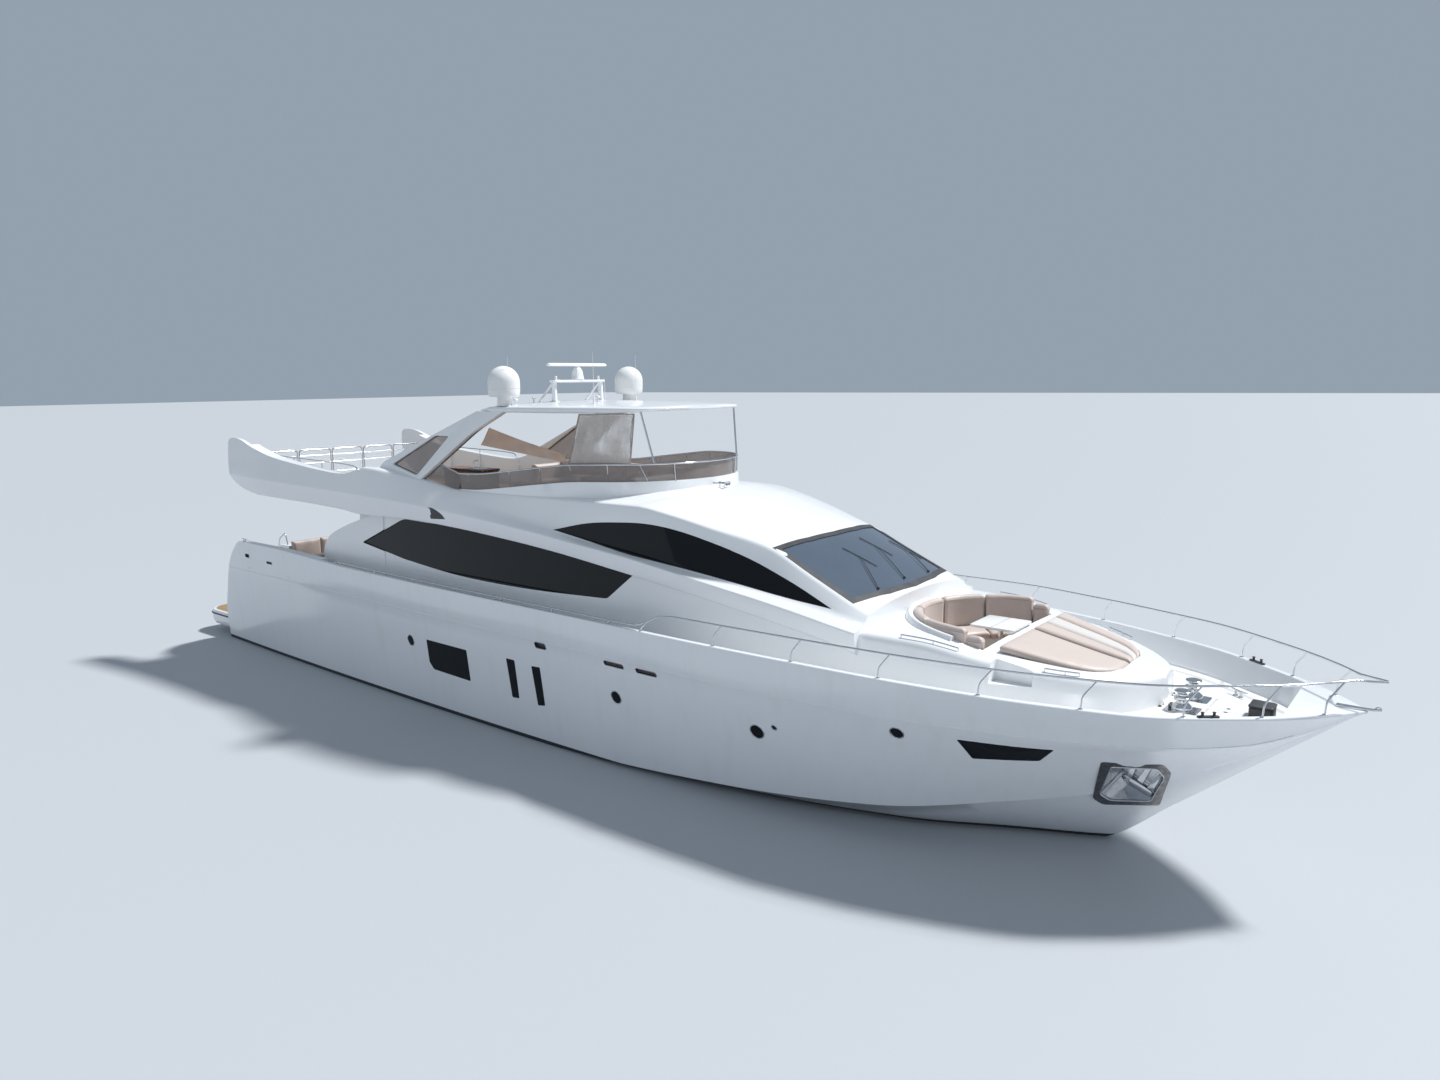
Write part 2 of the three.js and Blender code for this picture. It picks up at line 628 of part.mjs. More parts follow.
function arcPoints(centreX, radius, fromDeg, toDeg, count) {
  return steps(fromDeg, toDeg, count).map((deg) => {
    const angle = deg * Math.PI / 180;
    return [centreX + radius * Math.cos(angle), radius * Math.sin(angle)];
  });
}

// Plan of the port sunpad, and a side view of a layer that follows its slope
function sunpadPlan(innerY) {
  const { aftX, foreX, aftHalf, foreHalf } = sunpad;
  return [[aftX, innerY], [foreX, innerY], [foreX, foreHalf - 330], [foreX - 120, foreHalf - 60],
    [foreX - 500, foreHalf + 300], [aftX, aftHalf]];
}

function padSlope(low, high) {
  const { aftX, foreX, aftZ, foreZ } = sunpad;
  return [[aftX - 10, aftZ + low], [foreX + 10, foreZ + low], [foreX + 10, foreZ + high], [aftX - 10, aftZ + high]];
}

function loungeSolid() {
  const base = loft([...steps(houseEndX, 12200, 8), 12450, 12650, 12800].map((x) => {
    const [, footY, edgeY, edgeZ] = readTable(loungeTable, x);
    const from = x === houseEndX ? x + seatGap : x;
    return ringFromSide(from, [[0, deckZ + seatGap], [footY, deckZ + seatGap], [edgeY, edgeZ - 80],
      [edgeY - 70, edgeZ], [0, edgeZ + 40]]);
  }));
  const back = upZ(arcPoints(sofaRing.x, sofaRing.outer + 60, 100, 260, 16), deckZ + 100, sofaRing.backTop - 60);
  const { x, outer, length } = sofaRing;
  const well = upZ([...arcPoints(x, outer - 60, 90, 270, 16), [x + length + 5, -outer + 60],
    [x + length + 5, outer - 60]], 2560, 4000);
  const coveredBack = back.intersect(box(8500 + seatGap, 10500, -2100, 2100, 2500, 4000));
  const padRecess = upZ(grow(sunpadPlan(0), 6), 2700, 4000).intersect(acrossY(padSlope(0, 900), -2000, 2000));
  return base.add(coveredBack).subtract(well).subtract(bothSides(padRecess));
}

// Outline of one half of a U-shaped seat round the aft end of the lounge
function loungeRing(outer, inner, low, high) {
  const { x, length } = sofaRing;
  const end = x + length;
  const plan = [[end, outer], ...arcPoints(x, outer, 90, 270, 16), [end, -outer],
    [end, -inner], ...arcPoints(x, inner, 270, 90, 16), [end, inner]];
  return upZ(plan, low, high);
}

const sofaFloorZ = 2560;
function loungeSeat() {
  const { outer, seat, seatZ } = sofaRing;
  return loungeRing(outer - 60 - seatGap, seat, sofaFloorZ + seatGap, seatZ);
}

function loungeBack() {
  const { outer, inner, seatZ, backTop } = sofaRing;
  return loungeRing(outer - 60 - seatGap, inner - 90, seatZ + seatGap, backTop);
}

function loungeTableSolid() {
  const top = upZ([[9660, -420], [10440, -420], [10440, 420], [9660, 420]], 3290, 3340);
  const leg = rod([10050, 0, sofaFloorZ + seatGap], [10050, 0, 3300], 60, 16);
  return top.add(leg);
}

function sunpadPort() {
  return upZ(sunpadPlan(sunpad.gap / 2), 2500, 4000).intersect(acrossY(padSlope(seatGap, sunpad.thickness), -2000, 2000));
}

// Windlass: a drum on a round gearbox
function windlass(y) {
  return turned([[0, 0], [150, 0], [150, 60], [110, 90], [70, 110], [70, 150], [120, 175], [120, 200], [75, 215],
    [75, 260], [120, 280], [120, 300], [0, 305]], 14).translate([13080, y, deckZ + seatGap]);
}

// Stockless anchor lying in its pocket, crown down
function anchorPort() {
  const y = pocket.innerY + seatGap;
  const shank = box(-45, 45, 0, 90, 60, 560);
  const crown = box(-260, 260, 0, 130, -40, 110);
  const fluke = loft([[[-250, 20, 60], [-120, 20, 60], [-120, 110, 60], [-250, 110, 60]],
    [[-215, 30, 420], [-180, 30, 420], [-180, 60, 420], [-215, 60, 420]]]);
  const pair = unite([shank, crown, fluke, fluke.mirror([1, 0, 0])]);
  return pair.rotate([0, 24, 0]).translate([12560, y, 1190]);
}

// Stainless rail on the bulwark cap of the port side, with leaning stanchions
const railTable = [
  // x, height above the cap
  [-6000, 70], [-3000, 70], [0, 70], [3000, 70], [4300, 75], [4650, 170], [4950, 320], [5400, 365], [7000, 375],
  [9000, 385], [11000, 400], [13000, 430], [14400, 450], [15300, 455],
];
const stanchions = [-5900, -4300, -2700, -1100, 500, 2100, 3700, 4560, 6250, 7850, 9400, 10900, 12250, 13450, 14300, 14950];
const railRadius = 17;
function capPoint(x) {
  const sheer = sheerAt(x);
  return [x, sheer.y - wallAcross(x, bulwarkWall) * 0.5, sheer.z];
}

function bowRailPort() {
  const at = (x) => {
    const [px, y, z] = capPoint(x);
    const lift = readTable(railTable, x)[1];
    return [px + lift * 0.12, Math.max(y - lift * 0.1, railRadius + 20), z + lift];
  };
  const heads = stanchions.map((x) => x + 60);
  const between = [-6000, 4300, 4450, 4780, 4950, 5200, 5500, 7000, 8600, 10100, 11600, 12900];
  const path = [...between, ...heads].sort((a, b) => a - b).map(at);
  const tip = [[15420, 110, 3318], [15600, railRadius + seatGap / 2 + 0.2, 3320]];
  const rail = tube([...path, ...tip], railRadius, 64, 6);
  const posts = stanchions.map((x) => {
    const foot = capPoint(x);
    const head = at(x + 60);
    return rod([foot[0], foot[1], foot[2] - 15], head, railRadius * 0.75, 6);
  });
  return unite([rail, ...posts]);
}

function swimPlatform() {
  const { aftX, halfWidth, top, bottom, corner } = platform;
  const round = arcPoints(0, corner, 0, 90, 5).map(([u, v]) => [aftX + corner - u, halfWidth - corner + v]);
  const plan = [[transomX - seatGap, halfWidth], ...round.reverse(), ...round.reverse().map(([x, y]) => [x, -y]),
    [transomX - seatGap, -halfWidth]];
  return upZ(plan, bottom, top);
}

function garageDoor() {
  const { halfWidth, low, high, doorThickness, gap } = garage;
  const rim = garage.rim - gap;
  const panel = acrossY([
    [transomAt(low - rim), low - rim], [transomAt(low - rim) + doorThickness, low - rim],
    [transomAt(high + rim) + doorThickness, high + rim], [transomAt(high + rim), high + rim],
  ], -halfWidth - rim, halfWidth + rim);
  return panel.add(garageBarrels(garage.barrel, 0));
}

// One prop: hub and blades, its axis along X and its middle at the origin; hand is 1 or -1
function propellerSolid(hand) {
  const { radius, hubRadius, hubLength, pitch, blades } = propeller;
  const hub = turned([[0, -hubLength / 2 - 60], [45, -hubLength / 2 - 50], [hubRadius - 10, -hubLength / 2 + 20],
    [hubRadius, -hubLength / 2 + 45], [hubRadius, hubLength / 2], [0, hubLength / 2]], 2 * blades)
    .rotate([0, 90, 0]).rotate([90 / blades, 0, 0]);
  // radius, chord, thickness, radius that sets the pitch angle: the root is a straight prism inside the hub
  const rows = [[60, 210, 44, 190], [190, 210, 44, 190], [340, 340, 28, 340], [radius, 150, 14, radius]];
  const blade = loft(rows.map(([r, chord, thick, pitchRadius]) => {
    const angle = Math.atan(pitch / (2 * Math.PI * pitchRadius));
    const along = [Math.sin(angle), hand * Math.cos(angle)];
    const across = [Math.cos(angle), -hand * Math.sin(angle)];
    const section = [[-0.5, 0], [0, 0.5], [0.5, 0], [0, -0.5]];
    return section.map(([c, t]) => [
      c * chord * along[0] + t * thick * across[0],
      c * chord * along[1] + t * thick * across[1],
      r,
    ]);
  }));
  const turns = Array.from({ length: blades }, (_, i) => blade.rotate([360 * i / blades, 0, 0]));
  return unite([hub, ...turns]);
}

function strutPort() {
  const along = 3300;
  const [xa, za] = shaftPoint(along - 130);
  const [xb, zb] = shaftPoint(along + 130);
  const [xm, zm] = shaftPoint(along);
  const arms = [-330, 330].map((dy) => loft([
    [[xm - 110, shaft.y - 14, zm], [xm + 110, shaft.y - 14, zm], [xm + 110, shaft.y + 14, zm], [xm - 110, shaft.y + 14, zm]],
    [[xm - 110, shaft.y + dy - 14, -300], [xm + 110, shaft.y + dy - 14, -300], [xm + 110, shaft.y + dy + 14, -300],
      [xm - 110, shaft.y + dy + 14, -300]],
  ]));
  const barrel = rod([xa, shaft.y, za], [xb, shaft.y, zb], 82, 20);
  const bore = rod([xa + 20, shaft.y, za + 3.35], [xb - 20, shaft.y, zb - 3.35], shaft.radius + 2.2, 16);
  return unite([barrel, ...arms]).subtract(bore);
}

function rudderSolid() {
  const { top, bottom, stockRadius } = rudder;
  const blade = loft([[-250, 250, 34, top], [-300, 330, 34, (top + bottom) / 2], [-250, 230, 20, bottom]]
    .map(([aft, fore, half, z]) => [[aft, 4, z], [0, half, z], [fore, 12, z], [fore, -12, z], [0, -half, z], [aft, -4, z]]));
  const stock = rod([0, 0, top - 200], [0, 0, -300 - seatGap], stockRadius, 16);
  return blade.add(stock);
}

function helmWheel() {
  const rim = toSolid(new THREE.TorusGeometry(190, 15, 6, 20));
  const hub = turned([[0, -helmHub], [48, -helmHub], [48, 18], [30, 32], [0, 34]], 16);
  const spokes = [90, 210, 330].map((deg) => {
    const angle = deg * Math.PI / 180;
    return rod([30 * Math.cos(angle), 30 * Math.sin(angle), 0], [190 * Math.cos(angle), 190 * Math.sin(angle), 0], 11, 6);
  });
  return unite([rim, hub, ...spokes]);
}

const helmHub = 25; // depth of the hub below the rim's plane
const helm = { x: 2310, y: -950, z: 5380, lean: -62 };
function helmConsole() {
  const side = [[2360, flyDeckZ + seatGap], [2400, 5230], [2500, 5480], [2760, 5560], [2980, 5540], [2980, flyDeckZ + seatGap]];
  const lean = helm.lean * Math.PI / 180;
  const bossEnd = helmHub + 0.6;
  const boss = rod([helm.x - Math.sin(lean) * bossEnd, helm.y, helm.z - Math.cos(lean) * bossEnd],
    [helm.x - Math.sin(lean) * 200, helm.y, helm.z - Math.cos(lean) * 200], 34);
  return acrossY(side, -1550, -350).add(boss);
}

function benchWithBack(x0, x1, y0, y1, floorZ) {
  const seat = box(x0, x1, y0, y1, floorZ + seatGap, floorZ + 450);
  const back = box(x0, x0 + 160, y0, y1, floorZ + 440, floorZ + 900);
  return seat.add(back);
}

function flySofa() {
  const plan = [[-2600, 2310], [300, 2310], [1200, 2190], [1200, 1560], [-1900, 1560], [-1900, 500], [-2600, 500]];
  const back = [[-2600, 2310], [300, 2310], [1200, 2190], [1200, 2040], [300, 2140], [-2430, 2140], [-2430, 500],
    [-2600, 500]];
  return upZ(plan, flyDeckZ + seatGap, flyDeckZ + 430).add(upZ(back, flyDeckZ + 400, flyDeckZ + 820));
}

function pedestalTable(x, y, halfX, halfY, floorZ, height) {
  const top = box(x - halfX, x + halfX, y - halfY, y + halfY, floorZ + height - 40, floorZ + height);
  return top.add(rod([x, y, floorZ + seatGap], [x, y, floorZ + height - 20], 70, 16));
}

function flyAftRail() {
  const x = -10180;
  const top = rod([x, -2540, flyDeckZ + 1000], [x, 2540, flyDeckZ + 1000], 19, 6);
  const middle = rod([x, -2540, flyDeckZ + 520], [x, 2540, flyDeckZ + 520], 12, 6);
  const posts = steps(-2520, 2520, 6).map((y) => rod([x, y, flyDeckZ + seatGap], [x, y, flyDeckZ + 1000], 17, 6));
  return unite([top, middle, ...posts]);
}

// Domes and mast stand on the crown of the hardtop, which trims their feet
function domeSolid() {
  const { radius, height } = dome;
  const cap = arcPoints(0, radius, 0, 90, 8).map(([r, z]) => [r, height - radius + z]);
  cap[cap.length - 1][0] = 0;
  return turned([[0, -200], [150, -200], [150, 60], [radius - 40, 60], [radius - 20, 90], ...cap], 20);
}

const mast = { x: -260, halfWidth: 720, barZ: 7520, scannerZ: 7800, pedestal: 130 };
function mastFrame() {
  const { x, halfWidth, barZ } = mast;
  const legs = [-halfWidth, halfWidth].map((y) => box(x - 60, x + 60, y - 35, y + 35, 6900, barZ));
  const stays = [-halfWidth, halfWidth].map((y) => rod([x - 520, y, 6900], [x - 20, y, barZ - 40], 26, 10));
  const bar = box(x - 130, x + 130, -halfWidth - 60, halfWidth + 60, barZ - 60, barZ);
  return unite([...legs, ...stays, bar]);
}

function radarPedestal() {
  const { x, barZ, scannerZ, pedestal } = mast;
  return turned([[0, 0], [pedestal, 0], [pedestal, 40], [pedestal - 30, 90], [70, scannerZ - barZ - 50],
    [70, scannerZ - barZ - 5 - 2 * seatGap], [0, scannerZ - barZ - 5 - 2 * seatGap]], 20)
    .translate([x, 0, barZ + seatGap]);
}

function radarScanner() {
  const hub = turned([[0, -4.7], [60, -4.7], [60, 30], [0, 30]], 16);
  const half = 900;
  const section = [[-70, 25], [-45, 95], [45, 95], [70, 60], [70, 25]];
  const bar = loft([-half, -half + 60, half - 60, half].map((y) => {
    const share = Math.abs(y) === half ? 0.6 : 1;
    return section.map(([x, z]) => [x * share, y, 25 + (z - 25) * share]);
  }));
  return hub.add(bar);
}

// Aft wall of the saloon with its doorway, and the sliding leaf behind it
const doorway = { halfWidth: 850, low: soleZ + 30, high: 4080 };
function saloonBulkhead() {
  const wall = box(bulkheadX + 60, bulkheadX + 130, -2399.5, 2399.5, deckZ + seatGap, 6000);
  const outer = wall.intersect(house(houseWall + 0.5, bulkheadX - 50, houseEndX - 60, true));
  const track = box(bulkheadX + 129, bulkheadX + 172, -60, 1780, doorway.high + 45, doorway.high + 80);
  const below = box(bulkheadX + 60, bulkheadX + 130, -wellHalfWidth + seatGap, wellHalfWidth - seatGap, soleZ + seatGap, deckZ + 40);
  const door = box(bulkheadX - 100, bulkheadX + 300, -doorway.halfWidth, doorway.halfWidth, doorway.low, doorway.high);
  return outer.add(below).subtract(door).add(track);
}

function saloonDoor() {
  return box(bulkheadX + 136, bulkheadX + 166, -20, 880, soleZ + seatGap, doorway.high + 45 - seatGap);
}

function saloonPaneFixed() {
  const { halfWidth, low, high } = doorway;
  return box(bulkheadX + 80, bulkheadX + 104, -halfWidth + seatGap, 0, low + seatGap, high - seatGap);
}

function dashSolid() {
  const side = [[5900, 3300], [6050, 3600], [6500, 3760], [7400, 3760], [7900, 3560], [7900, 3200], [6400, 3000],
    [6000, 3000]];
  return acrossY(side, -2300, 2300).intersect(house(houseWall + 0.5, bulkheadX - 50, houseEndX - 60, true));
}

const colourOf = (name) => {
  const [color, roughness, metalness] = colours[name];
  return new THREE.MeshStandardMaterial({ color, roughness, metalness });
};

const yacht = new THREE.Group();
function place(name, solid, colour, parent = yacht) {
  const mesh = new THREE.Mesh(toGeometry(solid), colourOf(colour));
  mesh.name = name;
  parent.add(mesh);
  return mesh;
}

// Each pair gets a port piece and its mirror image, both trimmed clear of what carries them
function placePair(name, solid, colour, carrier = null) {
  const trim = (piece) => (carrier ? piece.subtract(carrier) : piece);
  place(`${name}_port`, trim(solid), colour);
  place(`${name}_stbd`, trim(mirrored(solid)), colour);
}

function raised(solid, distance = seatGap) {
  return solid.translate([0, 0, distance]);
}

const wholeHull = hullSolid();
const flybridge = flybridgeSolid();
const deckhouse = deckhouseSolid();
const lounge = loungeSolid();
const hardtop = hardtopSolid();

// Mouldings; the bulwark stands on the deck edge from each quarter to the bow, where its halves meet
const aboveDeck = box(hullStartX - 100, bowTipX + 100, -3500, 3500, deckZ, 3500);
const transomTop = box(hullStartX - 100, cockpitAftX + 50, -stairs.inner - 50, stairs.inner + 50, deckZ - 10, 3500);
const standing = aboveDeck.subtract(transomTop);
place('hull', wholeHull.subtract(standing), 'gelcoat');
const portHalf = box(hullStartX - 100, bowTipX + 100, seatGap / 2, 3500, deckZ - 100, 3600);
placePair('bulwark', wholeHull.intersect(raised(standing)).intersect(portHalf), 'gelcoat');
place('deckhouse', deckhouse, 'gelcoat');
place('flybridge', flybridge, 'gelcoat');
place('foredeck_lounge', lounge, 'gelcoat');
place('hardtop', hardtop, 'gelcoat');
placePair('arch', archLeg(), 'gelcoat', raised(flybridge).add(raised(hardtop, -seatGap)));
place('swim_platform', swimPlatform(), 'gelcoat');
place('garage_door', garageDoor(), 'gelcoat');

// Glass and acrylic
placePair('saloon_window', saloonPane(), 'glass');
placePair('pilot_window', paneBand().intersect(acrossY(pilotWindow, 1500, 3200)), 'glass');
place('windscreen', paneBand().intersect(upZ(windscreen, 3600, 5200)), 'glass');
const screen = flyScreen().subtract(raised(flybridge));
place('fly_screen', screen, 'acrylic');

// Steel rails
place('fly_screen_rail', screenRail().subtract(flyScreen(0.5)), 'steel');
place('fly_aft_rail', flyAftRail(), 'steel');
placePair('bow_rail', bowRailPort(), 'steel', raised(wholeHull));

// Saloon and wheelhouse
place('saloon_bulkhead', saloonBulkhead(), 'gelcoat');
place('saloon_door', saloonDoor(), 'glass');
place('saloon_pane', saloonPaneFixed(), 'glass');
place('wheelhouse_dash', dashSolid(), 'dark');

// Underwater gear
placePair('strut', strutPort(), 'bronze', raised(wholeHull, -seatGap));
const shaftLine = new THREE.Group();
const [tailX, tailZ] = shaftPoint(shaft.length);
[1, -1].forEach((side) => {
  const name = side > 0 ? 'port' : 'stbd';
  const line = new THREE.Group();
  line.position.set(tailX, side * shaft.y, tailZ);
  line.rotation.y = -shaft.slope;
  const prop = propellerSolid(side);
  const shaftBody = rod([propeller.hubLength / 2 + seatGap, 0, 0], [shaft.length + 420 - seatGap, 0, 0], shaft.radius, 16);
  place(`propeller_${name}`, prop, 'bronze', line);
  place(`shaft_${name}`, shaftBody, 'steel', line);
  shaftLine.add(line);
  const blade = place(`rudder_${name}`, rudderSolid(), 'bronze');
  blade.position.set(rudder.x, side * rudder.y, 0);
});
yacht.add(shaftLine);

// Flybridge fittings
place('helm_console', helmConsole(), 'gelcoat');
const wheel = place('helm_wheel', helmWheel(), 'dark');
wheel.position.set(helm.x, helm.y, helm.z);
wheel.rotation.y = helm.lean * Math.PI / 180;
place('helm_seat', benchWithBack(1350, 1900, -1550, -350, flyDeckZ), 'cushion');
place('fly_sofa', flySofa(), 'cushion');
place('fly_table', pedestalTable(-700, 900, 620, 420, flyDeckZ, 700), 'teak');
place('fly_bar', box(-2500, -1100, -2200, -1650, flyDeckZ + seatGap, flyDeckZ + 950), 'teak');

// Hardtop gear
[1, -1].forEach((side) => {
  const piece = domeSolid().translate([dome.x, side * dome.y, 7110]).subtract(raised(hardtop));
  place(`satdome_${side > 0 ? 'port' : 'stbd'}`, piece, 'gelcoat');
});
place('mast_frame', mastFrame().subtract(raised(hardtop)), 'gelcoat');
place('radar_pedestal', radarPedestal(), 'gelcoat');
const scanner = place('radar_scanner', radarScanner(), 'gelcoat');
scanner.position.set(mast.x, 0, mast.scannerZ);

// Foredeck
place('lounge_seat', loungeSeat(), 'cushion');
place('lounge_back', loungeBack(), 'cushion');
place('lounge_table', loungeTableSolid(), 'teak');
placePair('sunpad', sunpadPort(), 'cushion');
placePair('windlass', windlass(330), 'steel');
placePair('anchor', anchorPort(), 'steel');
const { aftX, foreX, innerY, outerY, lid } = locker;
placePair('locker_lid', box(aftX + 6, foreX - 6, innerY + 6, outerY - 6, deckZ - lid, deckZ), 'gelcoat');

// Cockpit
place('cockpit_sofa', benchWithBack(-500, 50, -1350, 1350, soleZ).translate([cockpitAftX + 500 + seatGap, 0, 0]), 'cushion');
place('cockpit_table', pedestalTable(-9300, 0, 520, 900, soleZ, 720), 'teak');

export default yacht;
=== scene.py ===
import bpy
import bmesh
import json
import math
import random
from mathutils import Matrix, Vector

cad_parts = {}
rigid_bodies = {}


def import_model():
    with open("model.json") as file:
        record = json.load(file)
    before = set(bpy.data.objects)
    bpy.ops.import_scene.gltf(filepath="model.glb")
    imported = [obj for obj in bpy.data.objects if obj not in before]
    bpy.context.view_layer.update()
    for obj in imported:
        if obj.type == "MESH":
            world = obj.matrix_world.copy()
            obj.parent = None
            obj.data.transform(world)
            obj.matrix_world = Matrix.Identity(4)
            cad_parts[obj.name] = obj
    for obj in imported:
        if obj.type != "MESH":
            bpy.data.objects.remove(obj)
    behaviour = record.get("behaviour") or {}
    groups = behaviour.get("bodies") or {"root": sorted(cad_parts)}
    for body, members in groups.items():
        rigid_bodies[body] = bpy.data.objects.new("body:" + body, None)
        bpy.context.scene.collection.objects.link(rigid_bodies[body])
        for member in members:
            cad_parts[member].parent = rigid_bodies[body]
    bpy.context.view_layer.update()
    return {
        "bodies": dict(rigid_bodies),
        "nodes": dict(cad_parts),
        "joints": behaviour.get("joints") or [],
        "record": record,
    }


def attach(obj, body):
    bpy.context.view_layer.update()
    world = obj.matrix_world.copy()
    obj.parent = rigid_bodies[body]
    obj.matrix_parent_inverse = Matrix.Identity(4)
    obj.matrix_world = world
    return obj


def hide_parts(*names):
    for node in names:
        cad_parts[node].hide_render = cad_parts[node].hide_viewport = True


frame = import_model()
scene = bpy.context.scene
cadNodes = frame["nodes"]
print("yacht: frame loaded")

# Camera, floor and light

photo = {"width": 1440, "height": 1080}
view = {"place": (16.58, -15.85, 7.51), "focal": 984.2, "heading": 128.7, "pitch": -9.3, "roll": -0.56}
studio = {
    "floorHalf": 420.0, "floorColour": (0.46, 0.48, 0.505), "skyColour": (0.7, 0.84, 1.0), "skyStrength": 0.42,
    "sunStrength": 4.3, "sunSoftness": 6.0, "sunHeading": 56.0, "sunHeight": 55.0,
    "fillStrength": 0.16, "fillHeading": -75.0, "fillHeight": 24.0, "fillSoftness": 40.0, "floorRoughness": 0.55,
}


def makeCamera():
    data = bpy.data.cameras.new("photoCamera")
    data.sensor_width = 36.0
    data.lens = view["focal"] * data.sensor_width / photo["width"]
    data.clip_start = 0.1
    data.clip_end = 1500.0
    heading, pitch, roll = (math.radians(view[k]) for k in ("heading", "pitch", "roll"))
    ahead = Vector((math.cos(heading) * math.cos(pitch), math.sin(heading) * math.cos(pitch), math.sin(pitch)))
    right = Vector((math.sin(heading), -math.cos(heading), 0.0))
    up = right.cross(ahead)
    tiltedRight = right * math.cos(roll) + up * math.sin(roll)
    tiltedUp = up * math.cos(roll) - right * math.sin(roll)
    camera = bpy.data.objects.new("photoCamera", data)
    scene.collection.objects.link(camera)
    turn = Matrix((tiltedRight, tiltedUp, -ahead)).transposed()
    camera.matrix_world = Matrix.Translation(view["place"]) @ turn.to_4x4()
    scene.camera = camera


def makeSun(name, strength, heading, height, softness):
    data = bpy.data.lights.new(name, "SUN")
    data.energy = strength
    data.angle = math.radians(softness)
    sun = bpy.data.objects.new(name, data)
    scene.collection.objects.link(sun)
    flat, rise = math.radians(heading), math.radians(height)
    towards = Vector((math.cos(flat) * math.cos(rise), math.sin(flat) * math.cos(rise), math.sin(rise)))
    sun.rotation_mode = "QUATERNION"
    sun.rotation_quaternion = towards.to_track_quat("Z", "Y")


def makeStudio():
    half = studio["floorHalf"]
    mesh = bpy.data.meshes.new("floor")
    mesh.from_pydata([(-half, -half, 0), (half, -half, 0), (half, half, 0), (-half, half, 0)], [],
                     [(0, 1, 2, 3)])
    floor = bpy.data.objects.new("floor", mesh)
    scene.collection.objects.link(floor)
    paint = bpy.data.materials.new("floorPaint")
    paint.use_nodes = True
    shader = paint.node_tree.nodes["Principled BSDF"]
    shader.inputs["Base Color"].default_value = (*studio["floorColour"], 1.0)
    shader.inputs["Roughness"].default_value = studio["floorRoughness"]
    mesh.materials.append(paint)
    world = bpy.data.worlds.new("studioSky")
    world.use_nodes = True
    sky = world.node_tree.nodes["Background"]
    sky.inputs["Color"].default_value = (*studio["skyColour"], 1.0)
    sky.inputs["Strength"].default_value = studio["skyStrength"]
    scene.world = world
    makeSun("keySun", studio["sunStrength"], studio["sunHeading"], studio["sunHeight"], studio["sunSoftness"])
    makeSun("fillSun", studio["fillStrength"], studio["fillHeading"], studio["fillHeight"],
            studio["fillSoftness"])
    scene.view_settings.view_transform = "Standard"


makeCamera()
makeStudio()
print("yacht: camera, floor and light")

# Shader groups that several finishes share


def startGroup(name, inputs, outputs):
    group = bpy.data.node_groups.new(name, "ShaderNodeTree")
    for label, kind, value in inputs:
        socket = group.interface.new_socket(name=label, in_out="INPUT", socket_type=kind)
        socket.default_value = value
    for label, kind in outputs:
        group.interface.new_socket(name=label, in_out="OUTPUT", socket_type=kind)
    entry = group.nodes.new("NodeGroupInput")
    leave = group.nodes.new("NodeGroupOutput")
    return group, entry, leave


def addNode(tree, kind, links=None, **settings):
    node = tree.nodes.new(kind)
    for key, value in settings.items():
        setattr(node, key, value)
    for socket, source in (links or {}).items():
        if hasattr(source, "is_linked"):
            tree.links.new(source, node.inputs[socket])
        else:
            node.inputs[socket].default_value = source
    return node


def mathNode(tree, operation, a, b=0.0, clamp=False):
    node = addNode(tree, "ShaderNodeMath", {0: a, 1: b}, operation=operation)
    node.use_clamp = clamp
    return node.outputs[0]


def mixColour(tree, share, a, b, blend="MIX"):
    node = addNode(tree, "ShaderNodeMix", data_type="RGBA", blend_type=blend)
    for socket, source in ((node.inputs["Factor"], share), (node.inputs[6], a), (node.inputs[7], b)):
        if hasattr(source, "is_linked"):
            tree.links.new(source, socket)
        else:
            socket.default_value = source
    return node.outputs[2]


def place(tree, scale=(1.0, 1.0, 1.0)):
    coordinates = addNode(tree, "ShaderNodeTexCoord")
    return addNode(tree, "ShaderNodeMapping", {"Vector": coordinates.outputs["Object"],
                                               "Scale": scale}).outputs[0]


colour4 = "NodeSocketColor"
number = "NodeSocketFloat"
direction = "NodeSocketVector"


def buildMottle():
    group, entry, leave = startGroup(
        "softMottle",
        [("Colour", colour4, (0.8, 0.8, 0.8, 1)), ("Tint", colour4, (0.7, 0.7, 0.7, 1)), ("Scale", number, 1.0),
         ("Amount", number, 0.3), ("Roughness", number, 0.3), ("Spread", number, 0.08)],
        [("Colour", colour4), ("Roughness", number)])
    noise = addNode(group, "ShaderNodeTexNoise", {"Vector": place(group), "Scale": entry.outputs["Scale"],
                                                  "Detail": 6.0, "Roughness": 0.6})
    spread = addNode(group, "ShaderNodeMapRange", {"Value": noise.outputs["Fac"], "From Min": 0.36,
                                                   "From Max": 0.68})
    share = mathNode(group, "MULTIPLY", spread.outputs[0], entry.outputs["Amount"])
    group.links.new(mixColour(group, share, entry.outputs["Colour"], entry.outputs["Tint"]),
                    leave.inputs["Colour"])
    change = mathNode(group, "MULTIPLY", mathNode(group, "SUBTRACT", spread.outputs[0], 0.5),
                      entry.outputs["Spread"])
    group.links.new(mathNode(group, "ADD", change, entry.outputs["Roughness"], clamp=True),
                    leave.inputs["Roughness"])
    return group


def buildStreaks():
    group, entry, leave = startGroup(
        "rainStreaks", [("Scale", number, 2.0), ("Amount", number, 0.2)], [("Mask", number)])
    noise = addNode(group, "ShaderNodeTexNoise", {"Vector": place(group, (3.0, 3.0, 0.16)),
                                                  "Scale": entry.outputs["Scale"], "Detail": 5.0})
    ramp = addNode(group, "ShaderNodeMapRange", {"Value": noise.outputs["Fac"], "From Min": 0.52,
                                                 "From Max": 0.78})
    group.links.new(mathNode(group, "MULTIPLY", ramp.outputs[0], entry.outputs["Amount"]), leave.inputs["Mask"])
    return group


